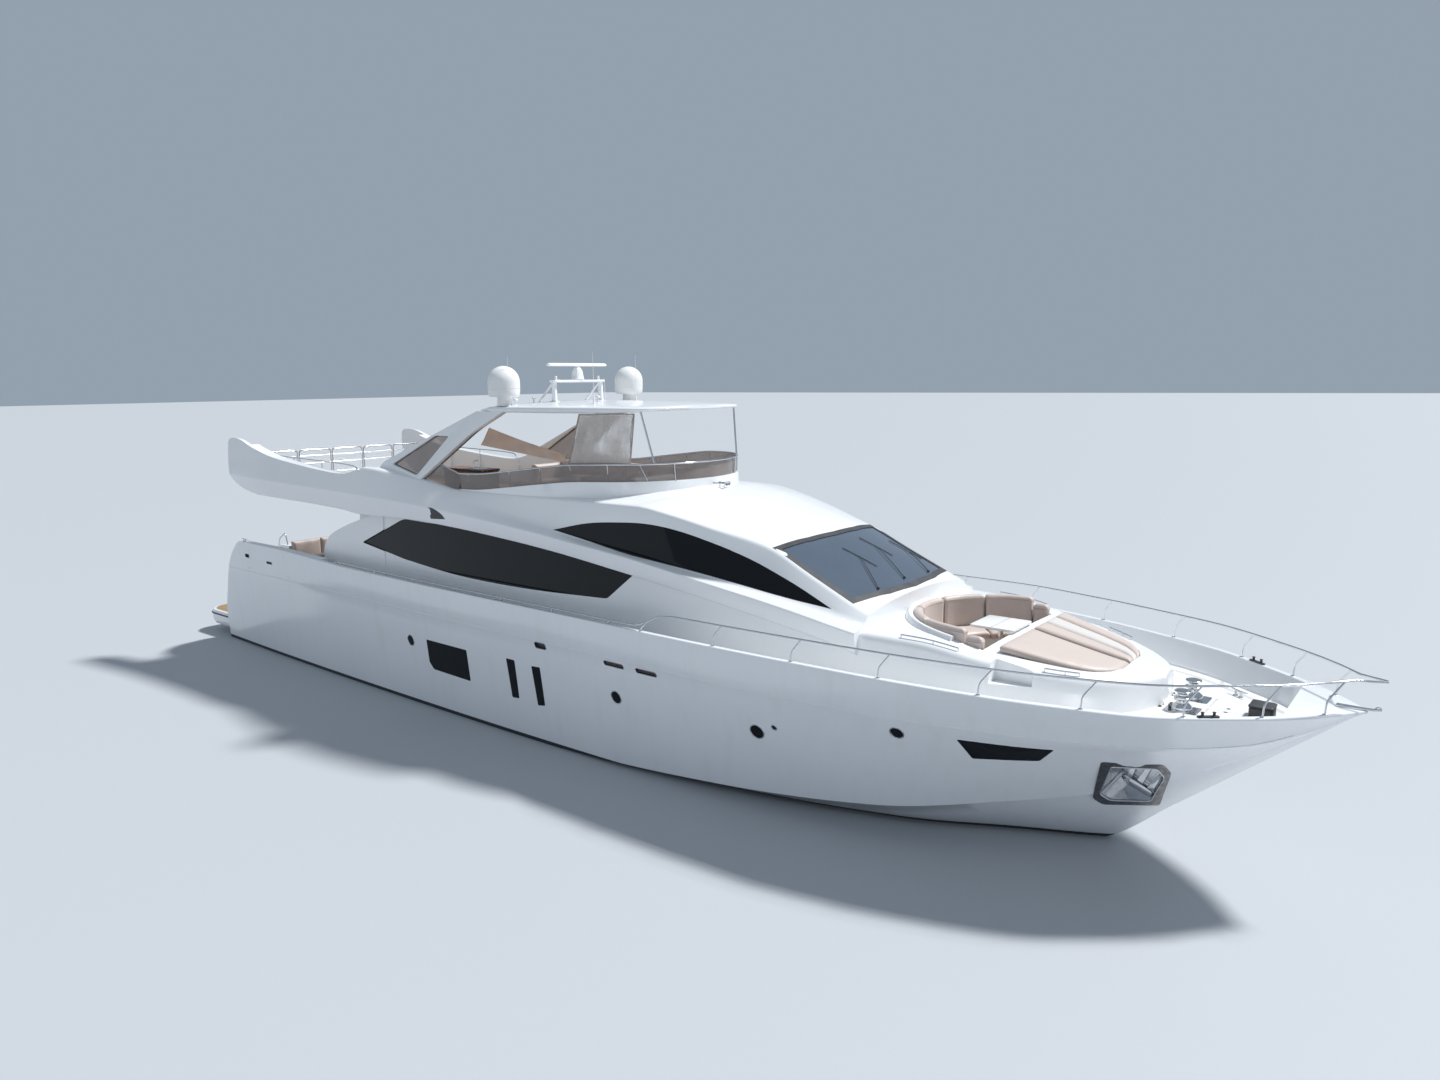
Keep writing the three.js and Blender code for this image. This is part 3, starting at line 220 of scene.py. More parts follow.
def buildGrain():
    group, entry, leave = startGroup(
        "fineGrain", [("Scale", number, 80.0), ("Strength", number, 0.2), ("Depth", number, 0.002)],
        [("Normal", direction), ("Mask", number)])
    cells = addNode(group, "ShaderNodeTexVoronoi", {"Vector": place(group), "Scale": entry.outputs["Scale"]})
    bump = addNode(group, "ShaderNodeBump", {"Strength": entry.outputs["Strength"],
                                             "Distance": entry.outputs["Depth"],
                                             "Height": cells.outputs["Distance"]})
    group.links.new(bump.outputs[0], leave.inputs["Normal"])
    group.links.new(cells.outputs["Distance"], leave.inputs["Mask"])
    return group


def buildPlanks():
    group, entry, leave = startGroup(
        "laidPlanks",
        [("Wood", colour4, (0.4, 0.25, 0.13, 1)), ("Dark wood", colour4, (0.28, 0.16, 0.08, 1)),
         ("Caulk", colour4, (0.02, 0.02, 0.02, 1)), ("Plank width", number, 0.06),
         ("Caulk share", number, 0.09)],
        [("Colour", colour4), ("Normal", direction), ("Seam", number)])
    coordinates = addNode(group, "ShaderNodeTexCoord")
    split = addNode(group, "ShaderNodeSeparateXYZ", {0: coordinates.outputs["Object"]})
    across = mathNode(group, "DIVIDE", split.outputs["Y"], entry.outputs["Plank width"])
    share = mathNode(group, "FRACT", across)
    seam = mathNode(group, "LESS_THAN", share, entry.outputs["Caulk share"])
    row = mathNode(group, "FLOOR", across)
    tone = addNode(group, "ShaderNodeTexWhiteNoise", {"W": row}, noise_dimensions="1D")
    fibre = addNode(group, "ShaderNodeTexNoise", {"Vector": place(group, (1.2, 30.0, 30.0)), "Scale": 3.0,
                                                  "Detail": 7.0, "Roughness": 0.7})
    wear = mathNode(group, "ADD", mathNode(group, "MULTIPLY", tone.outputs["Value"], 0.45),
                    mathNode(group, "MULTIPLY", fibre.outputs["Fac"], 0.65))
    wood = mixColour(group, wear, entry.outputs["Wood"], entry.outputs["Dark wood"])
    group.links.new(mixColour(group, seam, wood, entry.outputs["Caulk"]), leave.inputs["Colour"])
    height = mathNode(group, "SUBTRACT", mathNode(group, "MULTIPLY", fibre.outputs["Fac"], 0.3), seam)
    bump = addNode(group, "ShaderNodeBump", {"Strength": 0.35, "Distance": 0.003, "Height": height})
    group.links.new(bump.outputs[0], leave.inputs["Normal"])
    group.links.new(seam, leave.inputs["Seam"])
    return group


groups = {"mottle": buildMottle(), "streaks": buildStreaks(), "grain": buildGrain(), "planks": buildPlanks()}


def startFinish(name, **plain):
    material = bpy.data.materials.new(name)
    material.use_nodes = True
    shader = material.node_tree.nodes["Principled BSDF"]
    for socket, value in plain.items():
        shader.inputs[socket.replace("_", " ")].default_value = value
    return material, material.node_tree, shader


def addGroup(tree, key, **values):
    node = tree.nodes.new("ShaderNodeGroup")
    node.node_tree = groups[key]
    for label, value in values.items():
        socket = node.inputs[label.replace("_", " ")]
        if hasattr(value, "is_linked"):
            tree.links.new(value, socket)
        else:
            socket.default_value = value
    return node


def mottled(name, colour, tint, scale=1.5, amount=0.4, roughness=0.3, spread=0.08, grain=None, **plain):
    material, tree, shader = startFinish(name, **plain)
    soft = addGroup(tree, "mottle", Colour=(*colour, 1), Tint=(*tint, 1), Scale=scale, Amount=amount,
                    Roughness=roughness, Spread=spread)
    tree.links.new(soft.outputs["Colour"], shader.inputs["Base Color"])
    tree.links.new(soft.outputs["Roughness"], shader.inputs["Roughness"])
    if grain:
        fine = addGroup(tree, "grain", Scale=grain[0], Strength=grain[1], Depth=grain[2])
        tree.links.new(fine.outputs["Normal"], shader.inputs["Normal"])
    return material


hullPaint = {"white": (0.83, 0.85, 0.87, 1), "shadedWhite": (0.76, 0.79, 0.83, 1), "streak": (0.62, 0.6, 0.55, 1),
             "antifouling": (0.014, 0.018, 0.026, 1), "antifoulingTop": 0.085, "antifoulingRoughness": 0.5}


def makeHullPaint():
    # white topsides over dark antifouling, with faint streaks under the sheer
    material, tree, shader = startFinish("hullPaint", Coat_Weight=0.35, Coat_Roughness=0.06)
    soft = addGroup(tree, "mottle", Colour=hullPaint["white"], Tint=hullPaint["shadedWhite"], Scale=0.35,
                    Amount=0.5, Roughness=0.2, Spread=0.08)
    streak = addGroup(tree, "streaks", Scale=1.3, Amount=0.16)
    weathered = mixColour(tree, streak.outputs["Mask"], soft.outputs["Colour"], hullPaint["streak"])
    coordinates = addNode(tree, "ShaderNodeTexCoord")
    height = addNode(tree, "ShaderNodeSeparateXYZ", {0: coordinates.outputs["Object"]}).outputs["Z"]
    below = mathNode(tree, "LESS_THAN", height, hullPaint["antifoulingTop"])
    painted = mixColour(tree, below, weathered, hullPaint["antifouling"])
    tree.links.new(painted, shader.inputs["Base Color"])
    rough = mathNode(tree, "ADD", soft.outputs["Roughness"],
                     mathNode(tree, "MULTIPLY", below, hullPaint["antifoulingRoughness"]))
    tree.links.new(rough, shader.inputs["Roughness"])
    return material


def makeTeak(name, plankWidth, wood, darkWood, roughness):
    material, tree, shader = startFinish(name)
    planks = addGroup(tree, "planks", Plank_width=plankWidth, Wood=(*wood, 1), Dark_wood=(*darkWood, 1))
    tree.links.new(planks.outputs["Colour"], shader.inputs["Base Color"])
    tree.links.new(planks.outputs["Normal"], shader.inputs["Normal"])
    shader.inputs["Roughness"].default_value = roughness
    return material


def makeVinyl(name, colour, tint, roughness=0.5, scale=3.0):
    material = mottled(name, colour, tint, scale=scale, amount=0.55, roughness=roughness, spread=0.12,
                       grain=(260.0, 0.35, 0.0012))
    shader = material.node_tree.nodes["Principled BSDF"]
    shader.inputs["Sheen Weight"].default_value = 0.25
    shader.inputs["Sheen Roughness"].default_value = 0.5
    return material


def makeGlass(name, colour, transmission, roughness=0.02, shine=0.5):
    material, tree, shader = startFinish(name, Transmission_Weight=transmission, IOR=1.45,
                                         Specular_IOR_Level=shine)
    soft = addGroup(tree, "mottle", Colour=(*colour, 1), Tint=(*[c * 0.8 for c in colour], 1), Scale=0.8,
                    Amount=0.5, Roughness=roughness, Spread=0.02)
    tree.links.new(soft.outputs["Colour"], shader.inputs["Base Color"])
    tree.links.new(soft.outputs["Roughness"], shader.inputs["Roughness"])
    return material


def makeClearVinyl():
    # clear sheet with cloudy, yellowed patches
    material, tree, shader = startFinish("clearVinyl", IOR=1.4)
    cloud = addGroup(tree, "mottle", Colour=(0.9, 0.89, 0.87, 1), Tint=(0.72, 0.62, 0.56, 1), Scale=1.6,
                     Amount=0.9, Roughness=0.14, Spread=0.12)
    tree.links.new(cloud.outputs["Colour"], shader.inputs["Base Color"])
    tree.links.new(cloud.outputs["Roughness"], shader.inputs["Roughness"])
    clear = mathNode(tree, "MULTIPLY", cloud.outputs["Roughness"], 4.6, True)
    tree.links.new(mathNode(tree, "SUBTRACT", 1.22, clear, True), shader.inputs["Transmission Weight"])
    return material


finishes = {
    "hull": makeHullPaint(),
    "gelcoat": mottled("gelcoatWhite", (0.86, 0.87, 0.88), (0.8, 0.815, 0.83), scale=0.5, amount=0.5,
                       roughness=0.22, spread=0.08, Coat_Weight=0.3, Coat_Roughness=0.08),
    "deck": mottled("nonSkidDeck", (0.8, 0.8, 0.79), (0.7, 0.705, 0.7), scale=0.9, amount=0.5, roughness=0.62,
                    spread=0.1, grain=(150.0, 0.5, 0.003)),
    "teak": makeTeak("laidTeak", 0.062, (0.42, 0.27, 0.145), (0.27, 0.165, 0.085), 0.6),
    "varnish": makeTeak("varnishedTeak", 0.11, (0.32, 0.13, 0.05), (0.2, 0.075, 0.028), 0.22),
    "darkGlass": makeGlass("darkGlass", (0.006, 0.008, 0.01), 0.0, 0.03, 0.28),
    "screenGlass": makeGlass("windscreenGlass", (0.16, 0.21, 0.28), 0.45, 0.02),
    "acrylic": makeGlass("brownAcrylic", (0.47, 0.42, 0.4), 0.66, 0.06),
    "vinylWindow": makeClearVinyl(),
    "steel": mottled("polishedSteel", (0.66, 0.67, 0.69), (0.5, 0.51, 0.53), scale=9.0, amount=0.5,
                     roughness=0.14, spread=0.12, Metallic=1.0),
    # dark steel for weathered fittings; on the anchor pocket plate its darkness is painted shade and a painted dark
    # reflection
    "darkSteel": mottled("weatheredSteelAndPaintedShade", (0.24, 0.24, 0.25), (0.12, 0.115, 0.11), scale=14.0, amount=0.7,
                         roughness=0.38, spread=0.2, Metallic=1.0),
    "bronze": mottled("castBronze", (0.5, 0.34, 0.15), (0.3, 0.24, 0.14), scale=8.0, amount=0.7, roughness=0.36,
                      spread=0.2, grain=(90.0, 0.2, 0.002), Metallic=1.0),
    "rubber": mottled("blackRubber", (0.02, 0.02, 0.022), (0.04, 0.04, 0.042), scale=12.0, amount=0.6,
                      roughness=0.6, spread=0.15, grain=(300.0, 0.2, 0.001)),
    "moulding": mottled("darkMoulding", (0.03, 0.031, 0.034), (0.055, 0.055, 0.06), scale=5.0, amount=0.5,
                        roughness=0.45, spread=0.12, grain=(220.0, 0.25, 0.001)),
    "radome": mottled("radomeWhite", (0.85, 0.85, 0.84), (0.78, 0.78, 0.77), scale=2.5, amount=0.5,
                      roughness=0.32, spread=0.08),
    "beige": makeVinyl("beigeVinyl", (0.6, 0.505, 0.455), (0.53, 0.44, 0.395)),
    "cream": makeVinyl("creamVinyl", (0.68, 0.64, 0.61), (0.61, 0.57, 0.54)),
    "tan": makeVinyl("tanCanvas", (0.55, 0.42, 0.34), (0.62, 0.3, 0.13), 0.7, 0.9),
    "pipe": makeVinyl("seamPiping", (0.42, 0.34, 0.3), (0.35, 0.28, 0.24), 0.6),
    "vent": mottled("ventRed", (0.16, 0.1, 0.11), (0.09, 0.055, 0.06), scale=20.0, amount=0.6, roughness=0.5),
    "lamp": mottled("lampGlass", (0.85, 0.86, 0.84), (0.7, 0.71, 0.7), scale=30.0, amount=0.4, roughness=0.1),
}
print("yacht: finishes")

# Mesh helpers


def steps(start, end, count):
    return [start + (end - start) * i / count for i in range(count + 1)]


def readTable(rows, x):
    # smooth monotone curve through rows whose first number is x
    last = len(rows) - 1
    x = min(max(x, rows[0][0]), rows[last][0])
    i = 0
    while i < last - 1 and rows[i + 1][0] < x:
        i += 1
    width = rows[i + 1][0] - rows[i][0]
    t = (x - rows[i][0]) / width

    def slope(k, col):
        if k in (0, last):
            j = 0 if k == 0 else last - 1
            return (rows[j + 1][col] - rows[j][col]) / (rows[j + 1][0] - rows[j][0])
        before = (rows[k][col] - rows[k - 1][col]) / (rows[k][0] - rows[k - 1][0])
        after = (rows[k + 1][col] - rows[k][col]) / (rows[k + 1][0] - rows[k][0])
        return 0.0 if before * after <= 0 else 2 * before * after / (before + after)

    values = [x]
    for col in range(1, len(rows[0])):
        a, b = rows[i][col], rows[i + 1][col]
        ta, tb = slope(i, col) * width, slope(i + 1, col) * width
        values.append((2 * t**3 - 3 * t**2 + 1) * a + (t**3 - 2 * t**2 + t) * ta
                      + (3 * t**2 - 2 * t**3) * b + (t**3 - t**2) * tb)
    return values


def newMesh(name, points, faces, finish="gelcoat"):
    mesh = bpy.data.meshes.new(name)
    mesh.from_pydata([tuple(p) for p in points], [], faces)
    work = bmesh.new()
    work.from_mesh(mesh)
    bmesh.ops.remove_doubles(work, verts=work.verts, dist=1e-5)
    bmesh.ops.recalc_face_normals(work, faces=work.faces)
    work.to_mesh(mesh)
    work.free()
    piece = bpy.data.objects.new(name, mesh)
    scene.collection.objects.link(piece)
    mesh.materials.append(finishes[finish])
    return piece


def loft(name, rings, finish="gelcoat", closed=False):
    count = len(rings[0])
    faces = []
    spans = len(rings) if closed else len(rings) - 1
    for r in range(spans):
        a0, b0 = r * count, ((r + 1) % len(rings)) * count
        for i in range(count):
            j = (i + 1) % count
            faces.append((a0 + i, a0 + j, b0 + j, b0 + i))
    if not closed:
        faces.append(tuple(range(count)))
        faces.append(tuple(range((len(rings) - 1) * count, len(rings) * count)))
    return newMesh(name, [p for ring in rings for p in ring], faces, finish)


def prismY(name, outline, low, high, finish="gelcoat"):
    return loft(name, [[(x, y, z) for x, z in outline] for y in (low, high)], finish)


def prismZ(name, outline, low, high, finish="gelcoat"):
    return loft(name, [[(x, y, z) for x, y in outline] for z in (low, high)], finish)


def block(name, low, high, finish="gelcoat"):
    (x0, y0, z0), (x1, y1, z1) = low, high
    return prismZ(name, [(x0, y0), (x1, y0), (x1, y1), (x0, y1)], z0, z1, finish)


def applyModifiers(piece):
    graph = bpy.context.evaluated_depsgraph_get()
    finished = bpy.data.meshes.new_from_object(piece.evaluated_get(graph), preserve_all_data_layers=True,
                                               depsgraph=graph)
    piece.modifiers.clear()
    piece.data = finished


def carve(piece, cutters, operation="DIFFERENCE"):
    holder = bpy.data.collections.new("cutters")
    scene.collection.children.link(holder)
    for cutter in cutters:
        holder.objects.link(cutter)
    cut = piece.modifiers.new("cut", "BOOLEAN")
    cut.operation = operation
    cut.operand_type = "COLLECTION"
    cut.collection = holder
    cut.solver = "EXACT"
    cut.material_mode = "TRANSFER"
    applyModifiers(piece)
    for cutter in cutters:
        bpy.data.objects.remove(cutter)
    bpy.data.collections.remove(holder)
    return piece


def shade(piece, angle=30.0):
    piece.data.shade_smooth()
    piece.data.set_sharp_from_angle(angle=math.radians(angle))
    return piece


def soften(piece, width, segments=3, angle=35.0):
    bevel = piece.modifiers.new("soften", "BEVEL")
    bevel.width = width
    bevel.segments = segments
    bevel.limit_method = "ANGLE"
    bevel.angle_limit = math.radians(angle)
    bevel.harden_normals = False
    applyModifiers(piece)
    return shade(piece, 40)


def join(name, pieces):
    pieces = [p for p in pieces if p]
    whole = bmesh.new()
    materials = []
    for piece in pieces:
        for material in piece.data.materials:
            if material not in materials:
                materials.append(material)
    for piece in pieces:
        remap = [materials.index(m) for m in piece.data.materials]
        start = len(whole.faces)
        whole.from_mesh(piece.data)
        whole.faces.ensure_lookup_table()
        for face in whole.faces[start:]:
            face.material_index = remap[face.material_index] if remap else 0
    mesh = bpy.data.meshes.new(name)
    whole.to_mesh(mesh)
    whole.free()
    for material in materials:
        mesh.materials.append(material)
    for piece in pieces:
        bpy.data.objects.remove(piece)
    joined = bpy.data.objects.new(name, mesh)
    scene.collection.objects.link(joined)
    return joined


def tube(name, points, radius, finish="steel", sides=10, closed=False):
    # swept along points, its section carried without twist
    points = [Vector(p) for p in points]
    count = len(points)
    rings = []
    normal = None
    for i, point in enumerate(points):
        before = points[(i - 1) % count] if closed or i > 0 else point
        after = points[(i + 1) % count] if closed or i < count - 1 else point
        ahead = (after - before).normalized()
        if normal is None:
            helper = Vector((0, 0, 1)) if abs(ahead.z) < 0.9 else Vector((1, 0, 0))
            normal = ahead.cross(helper).normalized()
        normal = (normal - ahead * normal.dot(ahead)).normalized()
        side = ahead.cross(normal)
        size = radius[i] if isinstance(radius, (list, tuple)) else radius
        rings.append([tuple(point + (normal * math.cos(a) + side * math.sin(a)) * size)
                      for a in (2 * math.pi * k / sides for k in range(sides))])
    return shade(loft(name, rings, finish, closed), 50)


def smoothPath(points, perSpan=6):
    # Catmull-Rom points through a few given ones
    points = [Vector(p) for p in points]
    path = []
    for i in range(len(points) - 1):
        p1, p2 = points[i], points[i + 1]
        p0 = points[i - 1] if i else p1 * 2 - p2
        p3 = points[i + 2] if i + 2 < len(points) else p2 * 2 - p1
        for k in range(perSpan):
            t = k / perSpan
            path.append(0.5 * (2 * p1 + (p2 - p0) * t + (2 * p0 - 5 * p1 + 4 * p2 - p3) * t * t
                               + (3 * p1 - p0 - 3 * p2 + p3) * t**3))
    return [tuple(p) for p in path] + [tuple(points[-1])]


def turned(name, profile, at, finish="steel", sides=32, axis=(0, 0, 1)):
    # profile of (radius, height) turned about an axis through at
    turn = Vector((0, 0, 1)).rotation_difference(Vector(axis)).to_matrix()
    rings = []
    for radius, height in profile:
        rings.append([tuple(Vector(at) + turn @ Vector((max(radius, 1e-6) * math.cos(a),
                                                        max(radius, 1e-6) * math.sin(a), height))) for a in
                      (2 * math.pi * k / sides for k in range(sides))])
    return shade(loft(name, rings, finish), 35)


def filleted(points, radii, count=4):
    # rounds the corners of an open outline; every station gets the same number of points
    result = []
    for i, point in enumerate(points):
        radius = radii[i]
        if not radius or i in (0, len(points) - 1):
            result.append(tuple(point))
            continue
        here = Vector(point)
        back, ahead = Vector(points[i - 1]) - here, Vector(points[i + 1]) - here
        start = here + back.normalized() * min(radius, back.length * 0.45)
        end = here + ahead.normalized() * min(radius, ahead.length * 0.45)
        for t in steps(0, 1, count):
            result.append(tuple(start * (1 - t)**2 + here * 2 * t * (1 - t) + end * t * t))
    return result


def ringFromSide(x, side):
    port = [(x, y, z) for y, z in side]
    return port + [(x, -y, z) for y, z in reversed(side) if y > 1e-6]


def ride(piece, body="yacht", replaced=()):
    if replaced:
        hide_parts(*replaced)
    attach(piece, body)
    return piece


# Driving sizes, the same as the construction's

sizes = {
    "deck": 2.5, "sole": 2.0, "flyDeck": 4.62, "bulwark": 0.11, "houseWall": 0.09, "transom": -12.95,
    "cockpitAft": -11.35, "bulkhead": -5.0, "step": -6.9, "wellHalf": 2.35, "houseEnd": 8.5, "bowTip": 15.4,
}

# Hull: the rows hold x, keel z, chine y, chine z, knuckle y, knuckle z, sheer y, sheer z
hullTable = [
    (-13.2, -0.85, 2.56, -0.18, 2.755, 2.25, 2.8, 3.11),
    (-9.5, -0.98, 2.7, -0.18, 2.87, 2.28, 2.92, 3.11),
    (-5.0, -1.08, 2.79, -0.15, 2.985, 2.3, 3.04, 3.005),
    (-1.0, -1.13, 2.82, -0.08, 3.07, 2.31, 3.14, 3.0),
    (3.0, -1.13, 2.78, 0.06, 3.12, 2.32, 3.2, 3.0),
    (6.0, -1.05, 2.64, 0.24, 3.15, 2.32, 3.25, 3.0),
    (9.0, -0.8, 2.23, 0.52, 2.96, 2.32, 3.17, 2.995),
    (11.0, -0.35, 1.5, 0.88, 2.48, 2.295, 2.85, 2.945),
    (12.0, 0.0, 1.1, 1.11, 2.11, 2.28, 2.56, 2.915),
    (13.0, 0.83, 0.74, 1.45, 1.64, 2.27, 2.19, 2.89),
    (14.0, 1.68, 0.4, 1.95, 1.0, 2.33, 1.5, 2.876),
    (14.8, 2.36, 0.13, 2.45, 0.39, 2.56, 0.8, 2.87),
    (15.25, 2.74, 0.04, 2.765, 0.1, 2.8, 0.24, 2.87),
    (15.4, 2.84, 0.014, 2.848, 0.018, 2.856, 0.026, 2.87),
]
platform = {"aft": -14.5, "halfWidth": 2.56, "top": 0.68, "bottom": 0.22, "corner": 0.52}
garage = {"halfWidth": 1.2, "low": 0.86, "high": 1.84, "front": -10.4, "door": 0.06, "rim": 0.05, "gap": 0.006,
          "barrel": 0.014}
stairs = {"inner": 1.4, "outer": 2.54, "risers": 5, "tread": 0.3}
pocket = {"aft": 12.15, "fore": 13.02, "low": 1.01, "high": 1.76, "inner": 0.43}
locker = {"aft": 13.38, "fore": 13.9, "inner": 0.04, "outer": 0.52, "depth": 0.24, "lid": 0.03, "rim": 0.025}
transomLow, transomHigh = (-12.78, 0.7), (-11.95, 2.74)


def transomAt(z):
    share = (z - transomLow[1]) / (transomHigh[1] - transomLow[1])
    return transomLow[0] + (transomHigh[0] - transomLow[0]) * share


def bend(a, control, b, count):
    return [tuple(a[k] * (1 - t)**2 + control[k] * 2 * t * (1 - t) + b[k] * t * t for k in (0, 1))
            for t in steps(0, 1, count)]


def topsides(x):
    # the visible side of one station, from the chine up to the rounded cap
    _, _, chineY, chineZ, knuckleY, knuckleZ, sheerY, sheerZ = readTable(hullTable, x)
    hollow = 0.06 * (knuckleY - chineY)
    step = min(0.012, 0.2 * knuckleY)
    control = ((chineY + knuckleY) / 2 - 2 * hollow, (chineZ + knuckleZ) / 2)
    lower = bend((chineY, chineZ), control, (knuckleY - step, knuckleZ - 0.02), 9)
    round_ = min(0.03, 0.3 * sheerY)
    upper = [(knuckleY, knuckleZ), ((knuckleY + sheerY) / 2 + step * 0.6, (knuckleZ + sheerZ) / 2)]
    corner = bend((sheerY, sheerZ - round_), (sheerY, sheerZ), (sheerY - round_, sheerZ), 3)
    return lower + upper + corner


def hullSection(x):
    _, keel, chineY, chineZ = readTable(hullTable, x)[:4]
    flat = min(0.07, chineY * 0.1)
    rise = chineZ - keel
    middle = (chineY * 0.5, keel + rise * 0.46)
    end = (chineY - flat, chineZ - flat * 0.2)
    control = (2 * middle[0] - end[0] / 2, 2 * middle[1] - (keel + end[1]) / 2)
    return bend((0.0, keel), control, end, 5) + topsides(x)


def hullY(x, z):
    side = topsides(x)
    for (y0, z0), (y1, z1) in zip(side, side[1:]):
        if z <= z1:
            return y0 + (y1 - y0) * (z - z0) / max(z1 - z0, 1e-6)
    return side[-1][0]


def onHull(x, z, out=0.0, side=-1):
    # a point of the hull side, pushed out square to it
    along = (hullY(x + 0.05, z) - hullY(x - 0.05, z)) / 0.1
    upward = (hullY(x, z + 0.03) - hullY(x, z - 0.03)) / 0.06
    square = Vector((-along, 1.0, -upward)).normalized() * out
    return (x + square.x, side * (hullY(x, z) + square.y), z + square.z)


def sheerAt(x):
    row = readTable(hullTable, x)
    return row[6], row[7]


def wallAcross(x, wall):
    slope = (sheerAt(x + 0.05)[0] - sheerAt(x - 0.05)[0]) / 0.1
    return wall * math.hypot(1.0, slope)


def floorFinish(cutter, finish, low=None):
    # the cutter's flat underside leaves a floor of its own finish
    cutter.data.materials.append(finishes[finish])
    slot = len(cutter.data.materials) - 1
    for face in cutter.data.polygons:
        if face.normal.z < -0.95 and (low is None or abs(face.center.z - low) < 0.02):
            face.material_index = slot
    return cutter


def cutBulwarks():
    rings = []
    for x in steps(-6.5, 12.0, 74) + steps(12.1, 14.5, 24):
        sheerY, sheerZ = sheerAt(x)
        wall = wallAcross(x, sizes["bulwark"])
        low = max(hullY(x, sizes["deck"]) - wall, 0.06)
        high = max(sheerY - wall, 0.08)
        fillet = min(0.06, low * 0.3)
        side = bend((low - fillet, sizes["deck"]), (low, sizes["deck"]), (low + 0.008, sizes["deck"] + fillet),
                    3)
        side += [(high, sheerZ - 0.025), (high + 0.006, sheerZ - 0.008), (high + 0.025, sheerZ + 0.002),
                 (high + 0.025, 3.4)]
        rings.append(ringFromSide(x, side))
    return floorFinish(loft("bulwarkCut", rings), "deck", sizes["deck"])


def quarterLine():
    curve = smoothPath([(x, 0, z) for x, z in
                        ((-11.2, 3.14), (-11.36, 3.085), (-11.56, 2.97), (-11.9, 2.68), (-12.3, 2.19),
                         (-12.66, 1.47), (-12.87, 1.0), (-12.95, 0.62))], 6)
    return [(x, z) for x, _, z in curve]


def stairLine():
    rise = (sizes["sole"] - platform["top"]) / stairs["risers"]
    line = [(-13.5, platform["top"])]
    for i in range(stairs["risers"]):
        front = sizes["transom"] + stairs["tread"] * (i + 1)
        height = platform["top"] + rise * i
        line += [(front, height), (front, height + rise)]
    return line + [(sizes["cockpitAft"] + 0.01, sizes["sole"]), (sizes["cockpitAft"] + 0.01, 3.4), (-13.5, 3.4)]


def cutCockpit():
    aft = sizes["cockpitAft"]
    quarter = prismY("quarterCut", quarterLine() + [(-12.95, -1.5), (-13.4, -1.5), (-13.4, 3.4), (-11.2, 3.4)],
                     -3.3, 3.3)
    flights = []
    for side in (1, -1):
        low, high = sorted((side * stairs["inner"], side * stairs["outer"]))
        flights.append(floorFinish(prismY("stairCut", stairLine(), low, high), "teak"))
    centreLine = [(-13.4, 0.7), transomLow, transomHigh, (aft + 0.005, transomHigh[1]), (aft + 0.005, 3.4),
                  (-13.4, 3.4)]
    centre = prismY("centreCut", centreLine, -stairs["inner"] - 0.001, stairs["inner"] + 0.001)
    well = sizes["wellHalf"]
    cockpit = floorFinish(block("cockpitCut", (aft, -2.7, sizes["sole"]), (sizes["step"], 2.7, 3.42)), "teak")
    saloon = floorFinish(block("saloonCut", (sizes["step"] - 0.005, -well, sizes["sole"]), (2.5, well, 3.41)),
                         "teak")
    middle = (sizes["sole"] + sizes["deck"]) / 2
    treads = [floorFinish(block("treadCut", (sizes["step"] - 0.005, min(a, b), middle),
                                (-6.495, max(a, b), 3.43)), "teak")
              for a, b in ((well - 0.005, 2.9), (0.005 - well, -2.9))]
    return [quarter, *flights, centre, cockpit, saloon, *treads]


def cutGarage():
    low, high, rim, half = garage["low"], garage["high"], garage["rim"], garage["halfWidth"]
    back = garage["door"] + garage["gap"]
    room = prismY("garageCut", [(transomAt(low) - 0.4, low), (garage["front"], low), (garage["front"], high),
                                (transomAt(high) - 0.4, high)], -half, half)
    recess = prismY("recessCut", [(transomAt(low - rim) - 0.4, low - rim),
                                  (transomAt(low - rim) + back, low - rim),
                                  (transomAt(high + rim) + back, high + rim),
                                  (transomAt(high + rim) - 0.4, high + rim)],
                    -half - rim, half + rim)
    barrels = [tube("barrelCut", [(transomAt(high + rim) - 0.004, share * half - 0.132, high + rim),
                                  (transomAt(high + rim) - 0.004, share * half + 0.132, high + rim)],
                    garage["barrel"] + 0.0008, "gelcoat", 12) for share in (-0.7, 0, 0.7)]
    return [floorFinish(room, "deck"), recess, *barrels]


def shaftPoint(along):
    slope = math.radians(9.5)
    return -7.0 - along * math.cos(slope), -0.69 - along * math.sin(slope)


def cutUnderwater():
    (x0, z0), (x1, z1) = shaftPoint(-0.42), shaftPoint(1.2)
    cutters = []
    for side in (1, -1):
        y = 1.15 * side
        cutters.append(tube("shaftCut", [(x0, y, z0), (x1, y, z1)], 0.0475, "gelcoat", 16))
        cutters.append(tube("stockCut", [(-12.25, y, -0.3), (-12.25, y, -1.0)], 0.0425, "gelcoat", 16))
    return cutters


def pocketOutline(room=0.0):
    aft, fore, low, high = pocket["aft"] - room, pocket["fore"] + room, pocket["low"] - room, pocket["high"] + room
    corners = [(aft, low + 0.13), (aft + 0.11, low), (fore - 0.25, low), (fore, high - 0.2),
               (fore - 0.06, high), (aft + 0.25, high)]
    closed = corners + corners[:2]
    smooth = filleted(closed, [0] + [0.05] * (len(closed) - 2) + [0], 4)
    return smooth[1:-1]


def cutPockets():
    cutters = []
    for side in (1, -1):
        low, high = sorted((side * pocket["inner"], side * 2.4))
        cutters.append(prismY("pocketCut", pocketOutline(), low, high, "steel"))
    return cutters


